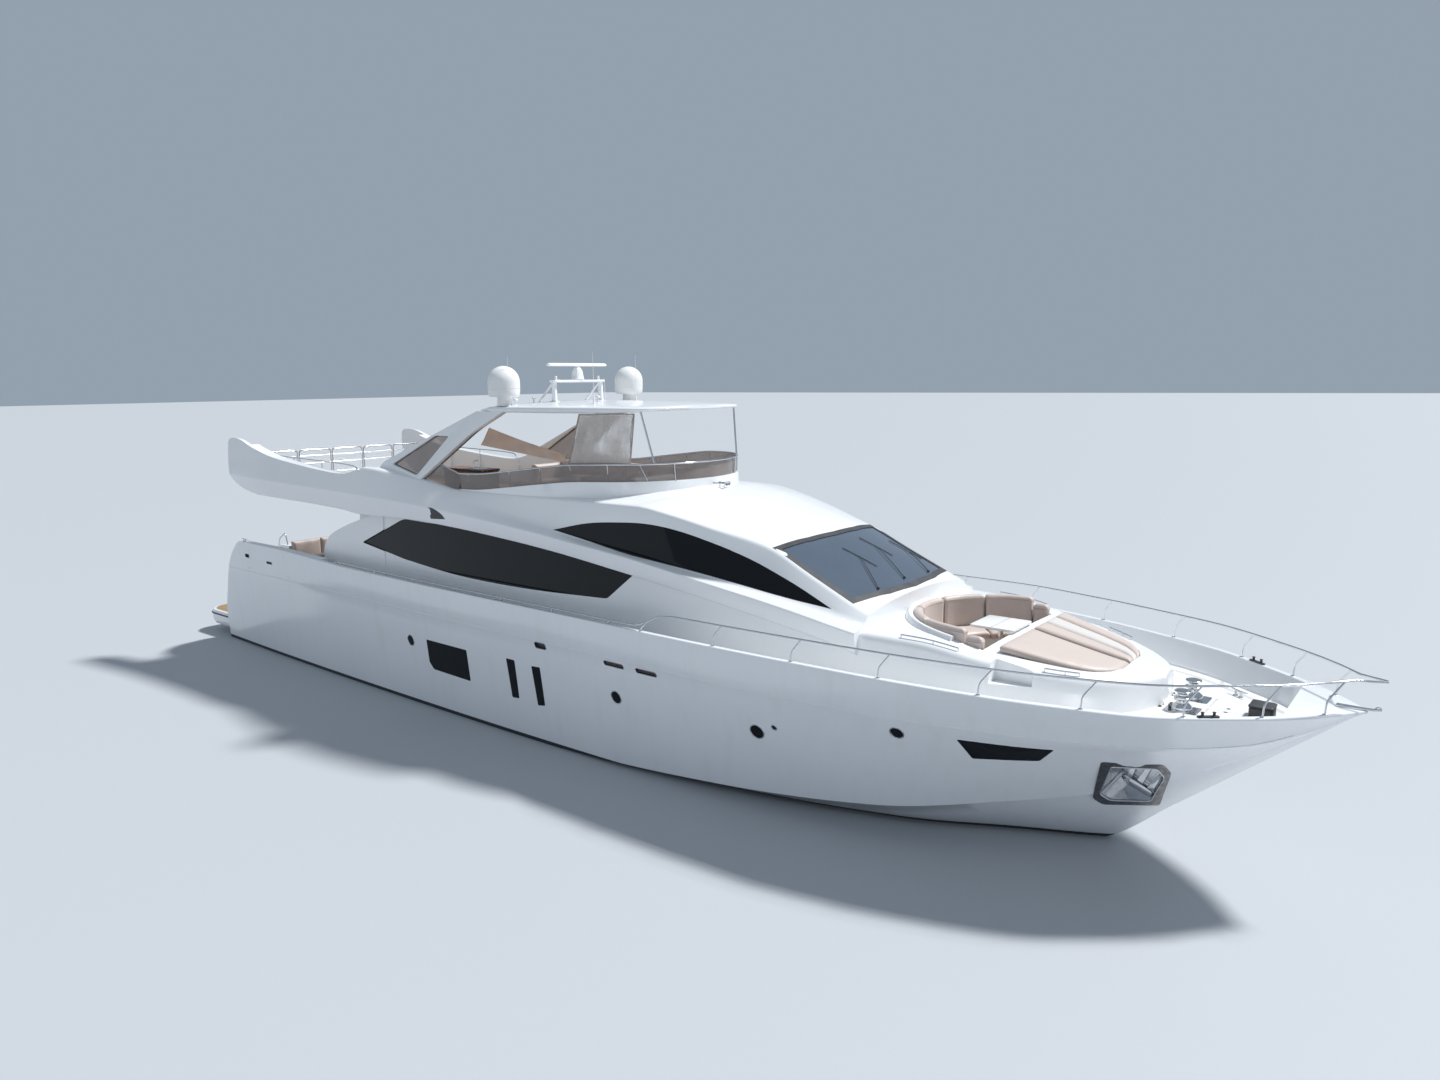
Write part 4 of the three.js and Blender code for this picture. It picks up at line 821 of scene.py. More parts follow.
def cutLockers():
    deck, rim, lid = sizes["deck"], locker["rim"], locker["lid"]
    cutters = []
    for side in (1, -1):
        inner, outer = sorted((side * (locker["inner"] + rim), side * (locker["outer"] - rim)))
        cutters.append(block("wellCut", (locker["aft"] + rim, inner, deck - locker["depth"]),
                             (locker["fore"] - rim, outer, deck + 0.01)))
        inner, outer = sorted((side * locker["inner"], side * locker["outer"]))
        cutters.append(block("lidCut", (locker["aft"], inner, deck - lid - 0.0003),
                             (locker["fore"], outer, deck + 0.012)))
    return cutters


# Windows, ports and vents in the hull side: outlines in side view, from aft to fore and from low to high
hullWindows = {
    "midWindow": [(-2.26, 0.98), (-0.9, 0.95), (-0.9, 1.68), (-2.4, 1.68), (-2.4, 1.14)],
    "aftSlot": [(0.5, 0.86), (0.73, 0.88), (0.745, 1.74), (0.47, 1.74)],
    "foreSlot": [(1.31, 0.84), (1.535, 0.88), (1.54, 1.73), (1.27, 1.71)],
    "bowWindow": [(10.57, 1.69), (11.5, 1.775), (11.76, 2.05), (10.43, 2.06)],
}
# rows: x, z, radius
hullPorts = [(-3.04, 1.55, 0.125), (3.68, 1.51, 0.125), (6.95, 1.52, 0.13), (9.55, 2.04, 0.1),
             (7.32, 1.68, 0.045)]
# rows: x of the middle, z, half length, half height
hullVents = [(3.76, 2.2, 0.27, 0.05), (4.6, 2.2, 0.27, 0.05)]
hullFairleads = [(1.67, 2.22, 0.18, 0.068), (-10.9, 2.72, 0.13, 0.055), (-9.6, 2.66, 0.16, 0.035)]


def roundedOutline(corners, radius, count=5):
    closed = corners + corners[:2]
    return filleted(closed, [0] + [radius] * (len(closed) - 2) + [0], count)[1:-1]


def stadium(x, z, halfLength, halfHeight, count=8):
    points = []
    for centre, start in ((halfLength - halfHeight, -90), (halfHeight - halfLength, 90)):
        for angle in steps(start, start + 180, count):
            a = math.radians(angle)
            points.append((x + centre + halfHeight * math.cos(a), z + halfHeight * math.sin(a)))
    return points


def circle(x, z, radius, count=28):
    return [(x + radius * math.cos(a),
             z + radius * math.sin(a)) for a in (2 * math.pi * k / count for k in range(count))]


def skin(name, outline, low, high, finish, side=-1, surface=onHull, crown=0.0, shrink=(1.0, 0.97, 0.7, 0.35)):
    # a closed plate that follows a surface between two offsets, its rim slightly rounded
    cx = sum(p[0] for p in outline) / len(outline)
    cz = sum(p[1] for p in outline) / len(outline)
    count = len(outline)
    points, faces = [], []

    def ring(share, offset):
        start = len(points)
        for x, z in outline:
            points.append(surface(cx + (x - cx) * share, cz + (z - cz) * share, offset, side))
        return list(range(start, start + count))

    def bridge(a, b):
        for i in range(count):
            j = (i + 1) % count
            faces.append((a[i], a[j], b[j], b[i]))

    outerRings = [ring(share, high + crown * (1 - share) - (0.002 if k == 0 else 0)) for k,
                  share in enumerate(shrink)]
    innerRings = [ring(share, low) for share in shrink]
    bridge(innerRings[0], outerRings[0])
    for rings in (outerRings, innerRings):
        for a, b in zip(rings, rings[1:]):
            bridge(a, b)
        points.append(surface(cx, cz, high + crown if rings is outerRings else low, side))
        for i in range(count):
            faces.append((rings[-1][i], rings[-1][(i + 1) % count], len(points) - 1))
    return newMesh(name, points, faces, finish)


def hullOpenings():
    shapes = [(roundedOutline(outline, 0.035), -0.02) for outline in hullWindows.values()]
    shapes += [(circle(x, z, radius), -0.02) for x, z, radius in hullPorts]
    shapes += [(stadium(*row), -0.05) for row in hullVents + hullFairleads]
    return shapes


def makeHull():
    places = steps(-13.2, 12.0, 126) + steps(12.1, 15.2, 31) + [15.25, 15.3, 15.35, sizes["bowTip"]]
    shell = loft("hullShell", [ringFromSide(x, hullSection(x) + [(0.0, sheerAt(x)[1])]) for x in places],
                 "hull")
    cutters = [cutBulwarks(), *cutCockpit(), *cutGarage(), *cutUnderwater(), *cutPockets(), *cutLockers()]
    for outline, depth in hullOpenings():
        cutters += [skin("openingCut", outline, depth, 0.05, "moulding", side) for side in (-1, 1)]
    carve(shell, cutters)
    shade(shell, 28)
    print("yacht: hull", len(shell.data.polygons))
    return ride(shell, replaced=("hull", "bulwark_port", "bulwark_stbd"))


makeHull()

# Deckhouse and flybridge. The rows hold x, foot y, low y, low z, soffit y, soffit z, arm y, arm z, ledge y,
# ledge z, shoulder y, shoulder z, roof z on the centre line
houseTable = [
    (-5.0, 2.5, 2.46, 4.33, 2.84, 4.35, 2.95, 4.84, 2.84, 5.18, 2.72, 5.5, 5.5),
    (-2.8, 2.52, 2.465, 4.34, 2.8, 4.38, 2.9, 4.76, 2.73, 5.04, 2.54, 5.29, 5.29),
    (-1.5, 2.53, 2.465, 4.29, 2.76, 4.33, 2.85, 4.68, 2.67, 4.93, 2.48, 5.14, 5.15),
    (0.0, 2.53, 2.455, 4.19, 2.7, 4.23, 2.8, 4.56, 2.59, 4.74, 2.45, 5.14, 5.18),
    (1.45, 2.515, 2.435, 4.06, 2.62, 4.1, 2.71, 4.42, 2.45, 4.48, 2.4, 5.14, 5.25),
    (3.65, 2.455, 2.375, 3.79, 2.5, 3.82, 2.58, 4.16, 2.33, 4.22, 2.28, 5.13, 5.34),
    (4.4, 2.425, 2.345, 3.69, 2.46, 3.72, 2.54, 4.06, 2.285, 4.11, 2.2, 5.02, 5.22),
    (5.25, 2.385, 2.305, 3.57, 2.42, 3.6, 2.49, 3.93, 2.225, 3.98, 2.05, 4.83, 5.01),
    (6.45, 2.315, 2.25, 3.38, 2.35, 3.41, 2.42, 3.74, 2.13, 3.8, 1.76, 4.52, 4.68),
    (7.3, 2.265, 2.215, 3.25, 2.3, 3.27, 2.36, 3.59, 2.06, 3.69, 1.785, 4.13, 4.33),
    (8.19, 2.215, 2.18, 3.08, 2.25, 3.1, 2.3, 3.42, 2.0, 3.52, 1.81, 3.73, 3.89),
    (8.5, 2.2, 2.17, 3.0, 2.24, 3.02, 2.285, 3.37, 1.98, 3.46, 1.8, 3.6, 3.74),
]
# Aft of the saloon the same side runs on as the flybridge coaming and its wings
aftTable = [
    (-11.7, 2.5, 2.46, 4.3, 2.74, 4.46, 2.9, 5.0, 2.852, 5.42, 2.79, 6.2, 6.2),
    (-10.3, 2.5, 2.46, 4.3, 2.78, 4.5, 2.95, 4.96, 2.9, 5.4, 2.85, 6.1, 6.1),
    (-9.0, 2.5, 2.46, 4.3, 2.8, 4.48, 2.955, 4.93, 2.89, 5.28, 2.82, 5.72, 5.72),
    (-7.5, 2.5, 2.46, 4.31, 2.81, 4.46, 2.96, 4.9, 2.88, 5.2, 2.8, 5.5, 5.5),
    (-5.9, 2.5, 2.46, 4.32, 2.83, 4.42, 2.958, 4.87, 2.86, 5.19, 2.76, 5.49, 5.49),
]
fullTable = aftTable + houseTable
coaming = {"front": 3.75, "wall": 0.09, "screenHeight": 0.33, "screenInset": 0.03, "screenThickness": 0.012}
flatEnd = coaming["front"] + 0.1
# side views as x, z
partingLine = [
    (-14.0, 4.342), (-5.0, 4.342), (-2.8, 4.352), (-1.5, 4.302), (0.0, 4.202), (0.7, 4.15), (1.4, 4.52),
    (2.4, 4.73), (3.3, 4.815), (3.95, 4.83), (4.6, 4.76), (5.3, 4.6), (5.95, 4.4), (7.0, 4.03), (7.95, 3.64),
    (8.2, 3.5),
]
wingTop = [(-11.52, 5.88), (-11.43, 5.985), (-11.25, 6.02), (-10.95, 6.015), (-10.65, 5.965), (-10.3, 5.86),
           (-9.9, 5.75), (-9.0, 5.56), (-7.5, 5.4), (-6.4, 5.32), (-5.9, 5.3), (-5.5, 5.335), (-4.95, 5.49)]
wingEnd = [(-11.52, 5.88), (-11.53, 5.5), (-11.47, 5.15), (-11.34, 4.9), (-11.1, 4.72), (-10.7, 4.585),
           (-10.2, 4.5)]
pilotUpper = [(1.48, 4.5), (2.4, 4.7), (3.3, 4.785), (3.95, 4.8), (4.6, 4.73), (5.3, 4.57), (5.95, 4.37),
              (7.0, 4.0), (7.88, 3.64)]
pilotLower = [(7.88, 3.64), (6.8, 3.77), (5.25, 3.99), (3.3, 4.24), (1.48, 4.5)]
saloonOutline = [(-5.56, 3.57), (-3.78, 4.3), (-1.5, 4.262), (0.0, 4.16), (2.0, 3.985), (3.64, 3.8),
                 (2.96, 3.25), (0.6, 3.165), (-1.7, 3.18), (-3.8, 3.33)]
windscreenOutline = [(6.56, -1.64), (6.69, -0.82), (6.73, 0.0), (6.69, 0.82), (6.56, 1.64), (8.11, 1.69),
                     (8.29, 0.85), (8.35, 0.0), (8.29, -0.85), (8.11, -1.69)]
coamingPlan = [(-1.6, 2.455), (0.0, 2.43), (1.4, 2.33), (2.3, 2.13), (2.9, 1.82), (3.35, 1.33), (3.64, 0.7),
               (3.75, 0.0)]
coamingTop = [(-1.6, 5.145), (-0.9, 5.17), (0.0, 5.27), (1.0, 5.39), (1.9, 5.48), (3.0, 5.5), (3.81, 5.5)]


def flat2(points):
    return [(p[0], p[2]) for p in points]


def smooth2(points, perSpan=5):
    return flat2(smoothPath([(x, 0, z) for x, z in points], perSpan))


def pilotOutline():
    return smooth2(pilotUpper, 5) + smooth2(pilotLower, 6)[1:-1]


def saloonWindowOutline():
    # straight at the ends, a long easy curve above and below, small radii at the corners
    upper = smooth2(saloonOutline[1:6], 5)
    lower = smooth2(saloonOutline[6:], 5)
    ring = [saloonOutline[0]] + upper + lower
    return cornered(ring, {0: 0.1, 1: 0.16, len(upper): 0.05, len(upper) + 1: 0.07}, 4)


def cornered(ring, radii, count):
    # rounds some corners of a closed ring
    result = []
    for i, point in enumerate(ring):
        if i not in radii:
            result.append(tuple(point))
            continue
        here = Vector(point)
        back = Vector(ring[i - 1]) - here
        ahead = Vector(ring[(i + 1) % len(ring)]) - here
        start = here + back.normalized() * min(radii[i], back.length * 0.6)
        end = here + ahead.normalized() * min(radii[i], ahead.length * 0.6)
        for t in steps(0, 1, count):
            result.append(tuple(start * (1 - t)**2 + here * 2 * t * (1 - t) + end * t * t))
    return result


def houseSide(x, inset=0.0, flatCeiling=False):
    # one side of a station from the foot to the centre line, with rounded corners
    row = readTable(fullTable, x)
    foot, lowY, lowZ, soffitY, soffitZ, armY, armZ, ledgeY, ledgeZ, shoulderY, shoulderZ, roof = row[1:]
    ceiling = 4.45 + inset
    flat = flatCeiling and x <= flatEnd
    top = min(shoulderZ, ceiling) if flat else shoulderZ
    roofZ = min(roof, ceiling) if flat else roof
    ledge = min(ledgeZ, top - 0.06)
    arm = min(armZ, ledge - 0.06)
    soffit = min(soffitZ, arm - 0.06)
    low = min(lowZ, soffit - 0.03)
    footZ = 2.3 if inset > 0 else 2.5003
    side = [
        (0.0, footZ), (foot - inset, footZ), (lowY - inset, low),
        ((lowY if inset > 0 else soffitY) - inset, soffit), ((ledgeY if inset > 0 else armY) - inset, arm),
        (ledgeY - inset, ledge), (shoulderY - inset * 0.8, top - inset),
        (shoulderY * 0.5, top - inset + (roofZ - top) * 0.8), (0.0, roofZ - inset),
    ]
    if inset > 0.05:
        return side
    fine = filleted(side[:8], [0, 0, 0.03, 0.025, 0.03, 0.09, 0.07, 0], 4)
    crown = bend(fine[-2], (fine[-1][0] * 1.15, fine[-1][1] + 0.004), fine[-1], 3)[1:]
    return fine[:-1] + crown + bend(fine[-1], (fine[-1][0] * 0.5, roofZ - inset), (0.0, roofZ - inset), 4)[1:]


def houseLoft(name, inset, start, end, finish="gelcoat", flatCeiling=False, gap=0.2):
    count = max(2, round((end - start) / gap))
    places = steps(start, end, count)
    if flatCeiling:
        places = sorted(set(places + [flatEnd, flatEnd + 0.02]))
    return loft(name, [ringFromSide(x, houseSide(x, inset, flatCeiling)) for x in places], finish)


def fullPlan(inset):
    plan = flat2(smoothPath([(x, 0, y) for x, y in coamingPlan], 4))
    outer = [(x - (inset * x / coaming["front"] if x > 0 else 0), y - (inset if y > 0 else 0)) for x, y in plan]
    return outer + [(x, -y) for x, y in reversed(outer) if y > 1e-6]


def underCoamingTop(name, rise, drop, finish="gelcoat"):
    line = smooth2(coamingTop, 5)
    return prismY(name, [(x, z + rise) for x, z in line] + [(x, z - drop) for x, z in reversed(line)], -3.0,
                  3.0, finish)


def cutAboveParting(gap=0.0003):
    line = smooth2(partingLine[1:], 4)
    outline = [(-14.0, 4.342 - gap)] + [(x, z - gap) for x, z in line]
    sides = prismY("partingCut", outline + [(8.8, 3.5 - gap), (8.8, 9.0), (-14.0, 9.0)], -4.0, 4.0)
    ceiling = block("ceilingCut", (1.0, -2.1, 4.43), (flatEnd + 0.28, 2.1, 6.0))
    return [sides, ceiling]


def cutWindows(name, outline, inner=1.5, outer=3.2):
    return [prismY(name, outline, min(s * inner, s * outer), max(s * inner, s * outer), "moulding") for s in (1, -1)]


def fashionPlates():
    # the side walls run past the saloon and shelter the cockpit
    edge = smooth2([(-4.6, 4.33), (-4.9, 4.33), (-5.6, 4.14), (-6.3, 3.92), (-6.9, 3.69), (-7.14, 3.54),
                    (-7.33, 3.33), (-7.41, 3.08), (-7.4, 2.5003)], 5)
    plates = []
    for side in (1, -1):
        low, high = sorted((side * 2.4, side * 2.5))
        plates.append(prismY("fashionPlate", edge + [(-4.6, 2.5003)], low, high))
    return plates


def makeDeckhouse():
    shell = houseLoft("deckhouseShell", 0.0, sizes["bulkhead"], sizes["houseEnd"])
    carve(shell, fashionPlates(), "UNION")
    inner = houseLoft("roomCut", sizes["houseWall"], sizes["bulkhead"] - 0.002, sizes["houseEnd"] - 0.06,
                      "moulding", True)
    supports = [block("supportCut", (-7.5, min(a, b), 2.2), (-6.5, max(a, b), 2.501)) for a, b in
                ((2.35, 2.6), (-2.35, -2.6))]
    cutters = [inner, *cutAboveParting(), *cutWindows("saloonCut", saloonWindowOutline()),
               *cutWindows("pilotCut", pilotOutline()), prismZ("screenCut", windscreenOutline, 3.6, 5.2),
               *supports]
    carve(shell, cutters)
    shade(shell, 30)
    print("yacht: deckhouse", len(shell.data.polygons))
    return ride(shell, replaced=("deckhouse",))


def makeFlybridge():
    shell = houseLoft("flybridgeShell", 0.0, -11.65, sizes["houseEnd"])
    outline = smooth2(wingTop, 4) + [(-4.5, 7.0), (9.0, 7.0), (9.0, 2.4), (-4.0, 2.4), (-10.1, 4.4)]
    outline += list(reversed(smooth2(wingEnd, 4)))[:-1]
    carve(shell, [prismY("wingSilhouette", outline, -4.0, 4.0)], "INTERSECT")
    rim = prismZ("rim", fullPlan(0.0), 4.9, 5.7)
    carve(rim, [underCoamingTop("rimSlice", 0.0, 0.9)], "INTERSECT")
    soften(rim, 0.02, 3, 50)
    carve(shell, [rim], "UNION")
    inner = houseLoft("roomCut", sizes["houseWall"], sizes["bulkhead"] - 0.002, sizes["houseEnd"] - 0.06,
                      "moulding", True)
    below = [(-14.0, 2.0), (-14.0, 4.0)] + [(-5.3, 4.0), (-5.0, 4.342)] + smooth2(partingLine[1:], 4)[1:]
    parting = prismY("belowParting", below + [(8.8, 3.5), (8.8, 2.0)], -4.0, 4.0)
    ceiling = block("keepCeiling", (1.0, -2.1, 4.43), (flatEnd + 0.28, 2.1, 6.0))
    carve(parting, [ceiling])
    deck = sizes["flyDeck"]
    plan = fullPlan(coaming["wall"])
    side = 1 if plan[-1][1] > 0 else -1
    plan += [(-4.7, side * 2.34), (-4.7, side * 2.56), (-11.8, side * 2.56), (-11.8, -side * 2.56),
             (-4.7, -side * 2.56), (-4.7, -side * 2.34)]
    wells = [floorFinish(prismZ("flyWellCut", plan, deck, 6.5), "teak"),
             block("wingInnerCut", (-12.0, -2.76, 4.0), (-10.3, 2.76, 6.53))]
    cutters = [inner, parting, prismZ("screenCut", windscreenOutline, 3.6, 5.2),
               *cutWindows("pilotCut", pilotOutline()), *soffitCuts()]
    carve(shell, cutters)
    slab = prismZ("floorSlab", fullPlan(0.001), deck - 0.09, deck + 0.2)
    carve(slab, [block("slabPart", (1.5, -2.0997, 4.0), (4.0, 2.0997, 6.0))], "INTERSECT")
    carve(shell, [slab], "UNION")
    carve(shell, wells)
    shade(shell, 30)
    print("yacht: flybridge", len(shell.data.polygons))
    return ride(shell, replaced=("flybridge",))


def soffitCuts():
    # aft of the saloon the underside rises a little towards the middle
    rows = [(-11.8, 4.5), (-10.3, 4.5), (-9.0, 4.48), (-7.5, 4.46), (-5.9, 4.42), (-5.0, 4.345)]
    rings = []
    for x, z in rows:
        y = readTable(fullTable, x)[4]
        rings.append([(x, -y, 2.0), (x, y, 2.0), (x, y - 0.02, z - 0.002), (x, y - 0.3, z + 0.036),
                      (x, 0, z + 0.06), (x, 0.3 - y, z + 0.036), (x, 0.02 - y, z - 0.002)])
    return [loft("soffitCut", rings)]


makeDeckhouse()
makeFlybridge()


# Glass

paneInset = {"outer": 0.012, "inner": 0.038}


def makeSidePane(name, outline, start, end, node, side):
    pane = houseLoft(name, paneInset["outer"], start, end, "darkGlass", gap=0.25)
    core = houseLoft("paneCore", paneInset["inner"], start - 0.05, end + 0.05, "darkGlass", gap=0.25)
    low, high = sorted((side * 1.5, side * 3.2))
    window = prismY("paneOutline", outline, low, high, "darkGlass")
    carve(pane, [window], "INTERSECT")
    carve(pane, [core])
    shade(pane, 30)
    return ride(pane, replaced=(node,))


def makeWindscreen():
    pane = houseLoft("windscreenGlass", paneInset["outer"], 6.3, 8.45, "screenGlass", gap=0.1)
    core = houseLoft("paneCore", paneInset["inner"], 6.2, 8.5, "screenGlass", gap=0.1)
    carve(pane, [prismZ("paneOutline", windscreenOutline, 3.6, 5.2, "screenGlass")], "INTERSECT")
    carve(pane, [core])
    shade(pane, 30)
    return ride(pane, replaced=("windscreen",))


for side, word in ((1, "port"), (-1, "stbd")):
    makeSidePane("saloonGlass_" + word, saloonWindowOutline(), -5.7, 3.8, "saloon_window_" + word, side)
    makeSidePane("pilotGlass_" + word, pilotOutline(), 1.3, 8.0, "pilot_window_" + word, side)
makeWindscreen()
print("yacht: glass")

# Foredeck lounge: the rows hold x, foot y, edge y, edge z

loungeTable = [
    (8.5, 2.2, 2.15, 3.37), (9.5, 2.15, 2.08, 3.35), (10.6, 2.02, 1.93, 3.19), (11.5, 1.7, 1.6, 3.07),
    (12.2, 1.25, 1.15, 2.99), (12.6, 0.8, 0.7, 2.95), (12.8, 0.33, 0.26, 2.93),
]
sofaRing = {"x": 10.08, "outer": 1.56, "inner": 1.42, "seat": 0.82, "seatZ": 2.96, "backTop": 3.56,
            "length": 0.3}
sunpad = {"aft": 10.6, "fore": 12.23, "aftZ": 3.225, "foreZ": 2.89, "gap": 0.06}
loungeFloor = 2.56
sideStep = {"aft": 10.68, "fore": 11.28, "tread": 2.86, "depth": 0.34}


def arcPoints(centreX, radius, start, end, count):
    return [(centreX + radius * math.cos(math.radians(a)), radius * math.sin(math.radians(a)))
            for a in steps(start, end, count)]


def loungeRow(x):
    return readTable(loungeTable, x)


def sunpadEdge(x):
    # half breadth of the sunpads at x
    rows = [(10.6, 1.4), (11.2, 1.25), (11.73, 1.08), (11.95, 0.95), (12.11, 0.76), (12.2, 0.58), (12.23, 0.45)]
    return readTable(rows, x)[1]


def padHeight(x):
    share = (x - sunpad["aft"]) / (sunpad["fore"] - sunpad["aft"])
    return sunpad["aftZ"] + (sunpad["foreZ"] - sunpad["aftZ"]) * share


def loungeRim(low, lean):
    # the raised coaming that runs round the aft end of the sofa
    rings = []
    for angle in steps(97, 263, 44):
        swing = math.cos(math.radians(angle - 180) * 0.92)
        top = 3.3 + 0.2 * max(0.0, swing) ** 0.5
        a = math.radians(angle)
        outer = sofaRing["outer"] + 0.07
        section = [(outer + lean, low), (outer + 0.01, top - 0.1), (outer - 0.01, top - 0.035),
                   (outer - 0.045, top), (outer - 0.09, top), (outer - 0.118, top - 0.02),
                   (outer - 0.125, top - 0.05), (outer - 0.125, low)]
        rings.append([(sofaRing["x"] + r * math.cos(a), r * math.sin(a), z) for r, z in section])
    return loft("loungeRim", rings)


def makeLounge():
    rings = []
    for x in [8.5003] + steps(8.7, 12.6, 39) + [12.66, 12.71, 12.75, 12.78, 12.8]:
        _, footY, edgeY, edgeZ = loungeRow(x)
        shrink = min(1.0, edgeY * 2)
        side = [(0, 2.5003), (footY, 2.5003), (edgeY, edgeZ - 0.08), (edgeY - 0.07 * shrink, edgeZ),
                (0, edgeZ + 0.04)]
        fine = filleted(side, [0, 0, 0.05 * shrink, 0.06 * shrink, 0], 4)
        rings.append(ringFromSide(x, fine[:-1] + bend(fine[-2], (fine[-2][0] * 0.5, edgeZ + 0.035), fine[-1],
                                                      3)[1:]))
    shell = loft("loungeShell", rings)
    carve(shell, [loungeRim(2.7, 0.09)], "UNION")
    x, outer, end = sofaRing["x"], sofaRing["outer"] - 0.06, sofaRing["x"] + sofaRing["length"] + 0.005
    well = prismZ("sofaWell", arcPoints(x, outer, 90, 270, 36) + [(end, -outer), (end, outer)], loungeFloor,
                  4.0)
    floorFinish(well, "teak")
    cutters = [well]
    for side in (1, -1):
        edge = [(x, side * (sunpadEdge(x) + 0.012)) for x in steps(10.594, 12.23, 18)]
        edge += [(12.24, side * 0.4), (12.24, -0.01 * side), (10.594, -0.01 * side)]
        pad = loft("padRecess", [[(px, py, z + (0 if k else padHeight(px))) for px, py in edge] for k, z in
                                 enumerate((0.0, 4.0))])
        cutters.append(floorFinish(pad, "moulding"))
        y0, y1 = sorted((side * (1.93 - sideStep["depth"] + 0.06), side * 2.4))
        aft, fore, tread = sideStep["aft"], sideStep["fore"], sideStep["tread"]
        step = prismZ("stepCut", cornered([(aft, y0), (fore, y0), (fore, y1), (aft, y1)],
                                          {0: 0.05, 1: 0.05, 2: 0.05,
                                                                                           3: 0.05}, 3), tread, 4.0)
        cutters.append(floorFinish(step, "deck"))
    carve(shell, cutters)
    shade(shell, 32)
    print("yacht: foredeck lounge", len(shell.data.polygons))
    return ride(shell, replaced=("foredeck_lounge",))


# Cushions: crowned closed pads in a mapped box, u and v across, w up

padEdge = [0.0, 0.012, 0.035, 0.08, 0.15, 0.26, 0.4]


pads = {}


def padStops(extra):
    return padEdge + steps(0.4, 0.6, extra)[1:-1] + [1 - s for s in reversed(padEdge)]


def cushion(name, at, finish, rollU=0.12, rollV=0.12, shoulder=0.55, crown=0.06, pinch=0.012, extra=2,
            quilt=None):
    # at(u, v, w) maps the unit box to the boat; shoulder is where the side ends and the rounded top starts
    stops = padStops(extra)
    count = len(stops)
    points, index = [], {}

    def lift(s, roll):
        edge = min(s, 1 - s) / roll
        return 1.0 if edge >= 1 else math.sqrt(max(0.0, 1 - (1 - edge) ** 2))

    def drawIn(a, b, level):
        # the sides pull in between the corners, most at half height
        bow = pinch * 4 * b * (1 - b) * math.sin(math.pi * min(1.0, level + 0.15))
        return bow if a < 0.5 else -bow

    for i, u in enumerate(stops):
        for j, v in enumerate(stops):
            top = shoulder + (1 - shoulder) * min(lift(u, rollU), lift(v, rollV))
            top += crown * 16 * u * (1 - u) * v * (1 - v)
            if quilt:
                top -= quilt(u, v)
            index["t", i, j] = len(points)
            points.append(at(u, v, top))
            index["b", i, j] = len(points)
            points.append(at(u, v, 0.0))
    faces = []
    for i in range(count - 1):
        for j in range(count - 1):
            for layer in "tb":
                faces.append(tuple(index[layer, a, b] for a, b in ((i, j), (i + 1, j), (i + 1, j + 1),
                                                                   (i, j + 1))))
    border = [(i, 0) for i in range(count - 1)] + [(count - 1, j) for j in range(count - 1)]
    border += [(i, count - 1) for i in range(count - 1, 0, -1)] + [(0, j) for j in range(count - 1, 0, -1)]
    levels = [0.0, 0.12, 0.3, 0.42]
    walls = []
    for level in levels[1:]:
        row = []
        for i, j in border:
            u, v = stops[i], stops[j]
            du = drawIn(u, v, level) if i in (0, count - 1) else 0.0
            dv = drawIn(v, u, level) if j in (0, count - 1) else 0.0
            row.append(len(points))
            points.append(at(u + du, v + dv, level))
        walls.append(row)
    rows = [[index["b", i, j] for i, j in border]] + walls + [[index["t", i, j] for i, j in border]]
    for a, b in zip(rows, rows[1:]):
        for k in range(len(border)):
            m = (k + 1) % len(border)
            faces.append((a[k], a[m], b[m], b[k]))
    pad = newMesh(name, points, faces, finish)
    shade(pad, 60)
    pads[name] = borderPath(at, shoulder - 0.02)
    return pad


def borderPath(at, level, count=12):
    # a ring round the pad at one height, with the corners cut a little
    stops = [0.02, 0.05] + steps(0.1, 0.9, count) + [0.95, 0.98]
    ring = [(s, 0.0) for s in stops] + [(1.0, s) for s in stops]
    ring += [(1 - s, 1.0) for s in stops] + [(0.0, 1 - s) for s in stops]
    return [at(u, v, level) for u, v in ring]


def swell(pad, voxel=0.016, cap=0.01):
    # a short cloth run that fills the pad with air; the first shape limits how far each point may go
    remesh = pad.modifiers.new("even", "REMESH")
    remesh.mode = "VOXEL"
    remesh.voxel_size = voxel
    remesh.use_smooth_shade = True
    applyModifiers(pad)
    before = [v.co.copy() for v in pad.data.vertices]
    cloth = pad.modifiers.new("air", "CLOTH")
    cloth.settings.use_pressure = True
    cloth.settings.uniform_pressure_force = 4.0
    cloth.settings.effector_weights.gravity = 0.0
    cloth.settings.quality = 5
    for number in range(1, 21):
        scene.frame_set(number)
    applyModifiers(pad)
    scene.frame_set(1)
    for vertex, start in zip(pad.data.vertices, before):
        move = vertex.co - start
        if move.length > cap:
            vertex.co = start + move.normalized() * cap
    pad.data.shade_smooth()
    return sewn(pad)


def sewn(pad):
    # piping round the rim of a pad, laid on its finished surface
    rim = []
    for point in pads.pop(pad.name):
        found, spot, normal, _ = pad.closest_point_on_mesh(Vector(point))
        rim.append(spot + normal * 0.001 if found else Vector(point))
    seam = tube(pad.name + "Piping", rim, 0.0055, "pipe", 6, True)
    whole = join(pad.name, [pad, seam])
    return whole


def ringMap(inner, outer, start, end, low, high, lean=0.0):
    def at(u, v, w):
        a = math.radians(start + (end - start) * u)
        r = inner + (outer - inner) * v + lean * w
        return (sofaRing["x"] + r * math.cos(a), r * math.sin(a), low + (high - low) * w)
    return at


def boxMap(low, high, lean=(0.0, 0.0)):
    def at(u, v, w):
        return (low[0] + (high[0] - low[0]) * u + lean[0] * w, low[1] + (high[1] - low[1]) * v + lean[1] * w,
                low[2] + (high[2] - low[2]) * w)
    return at


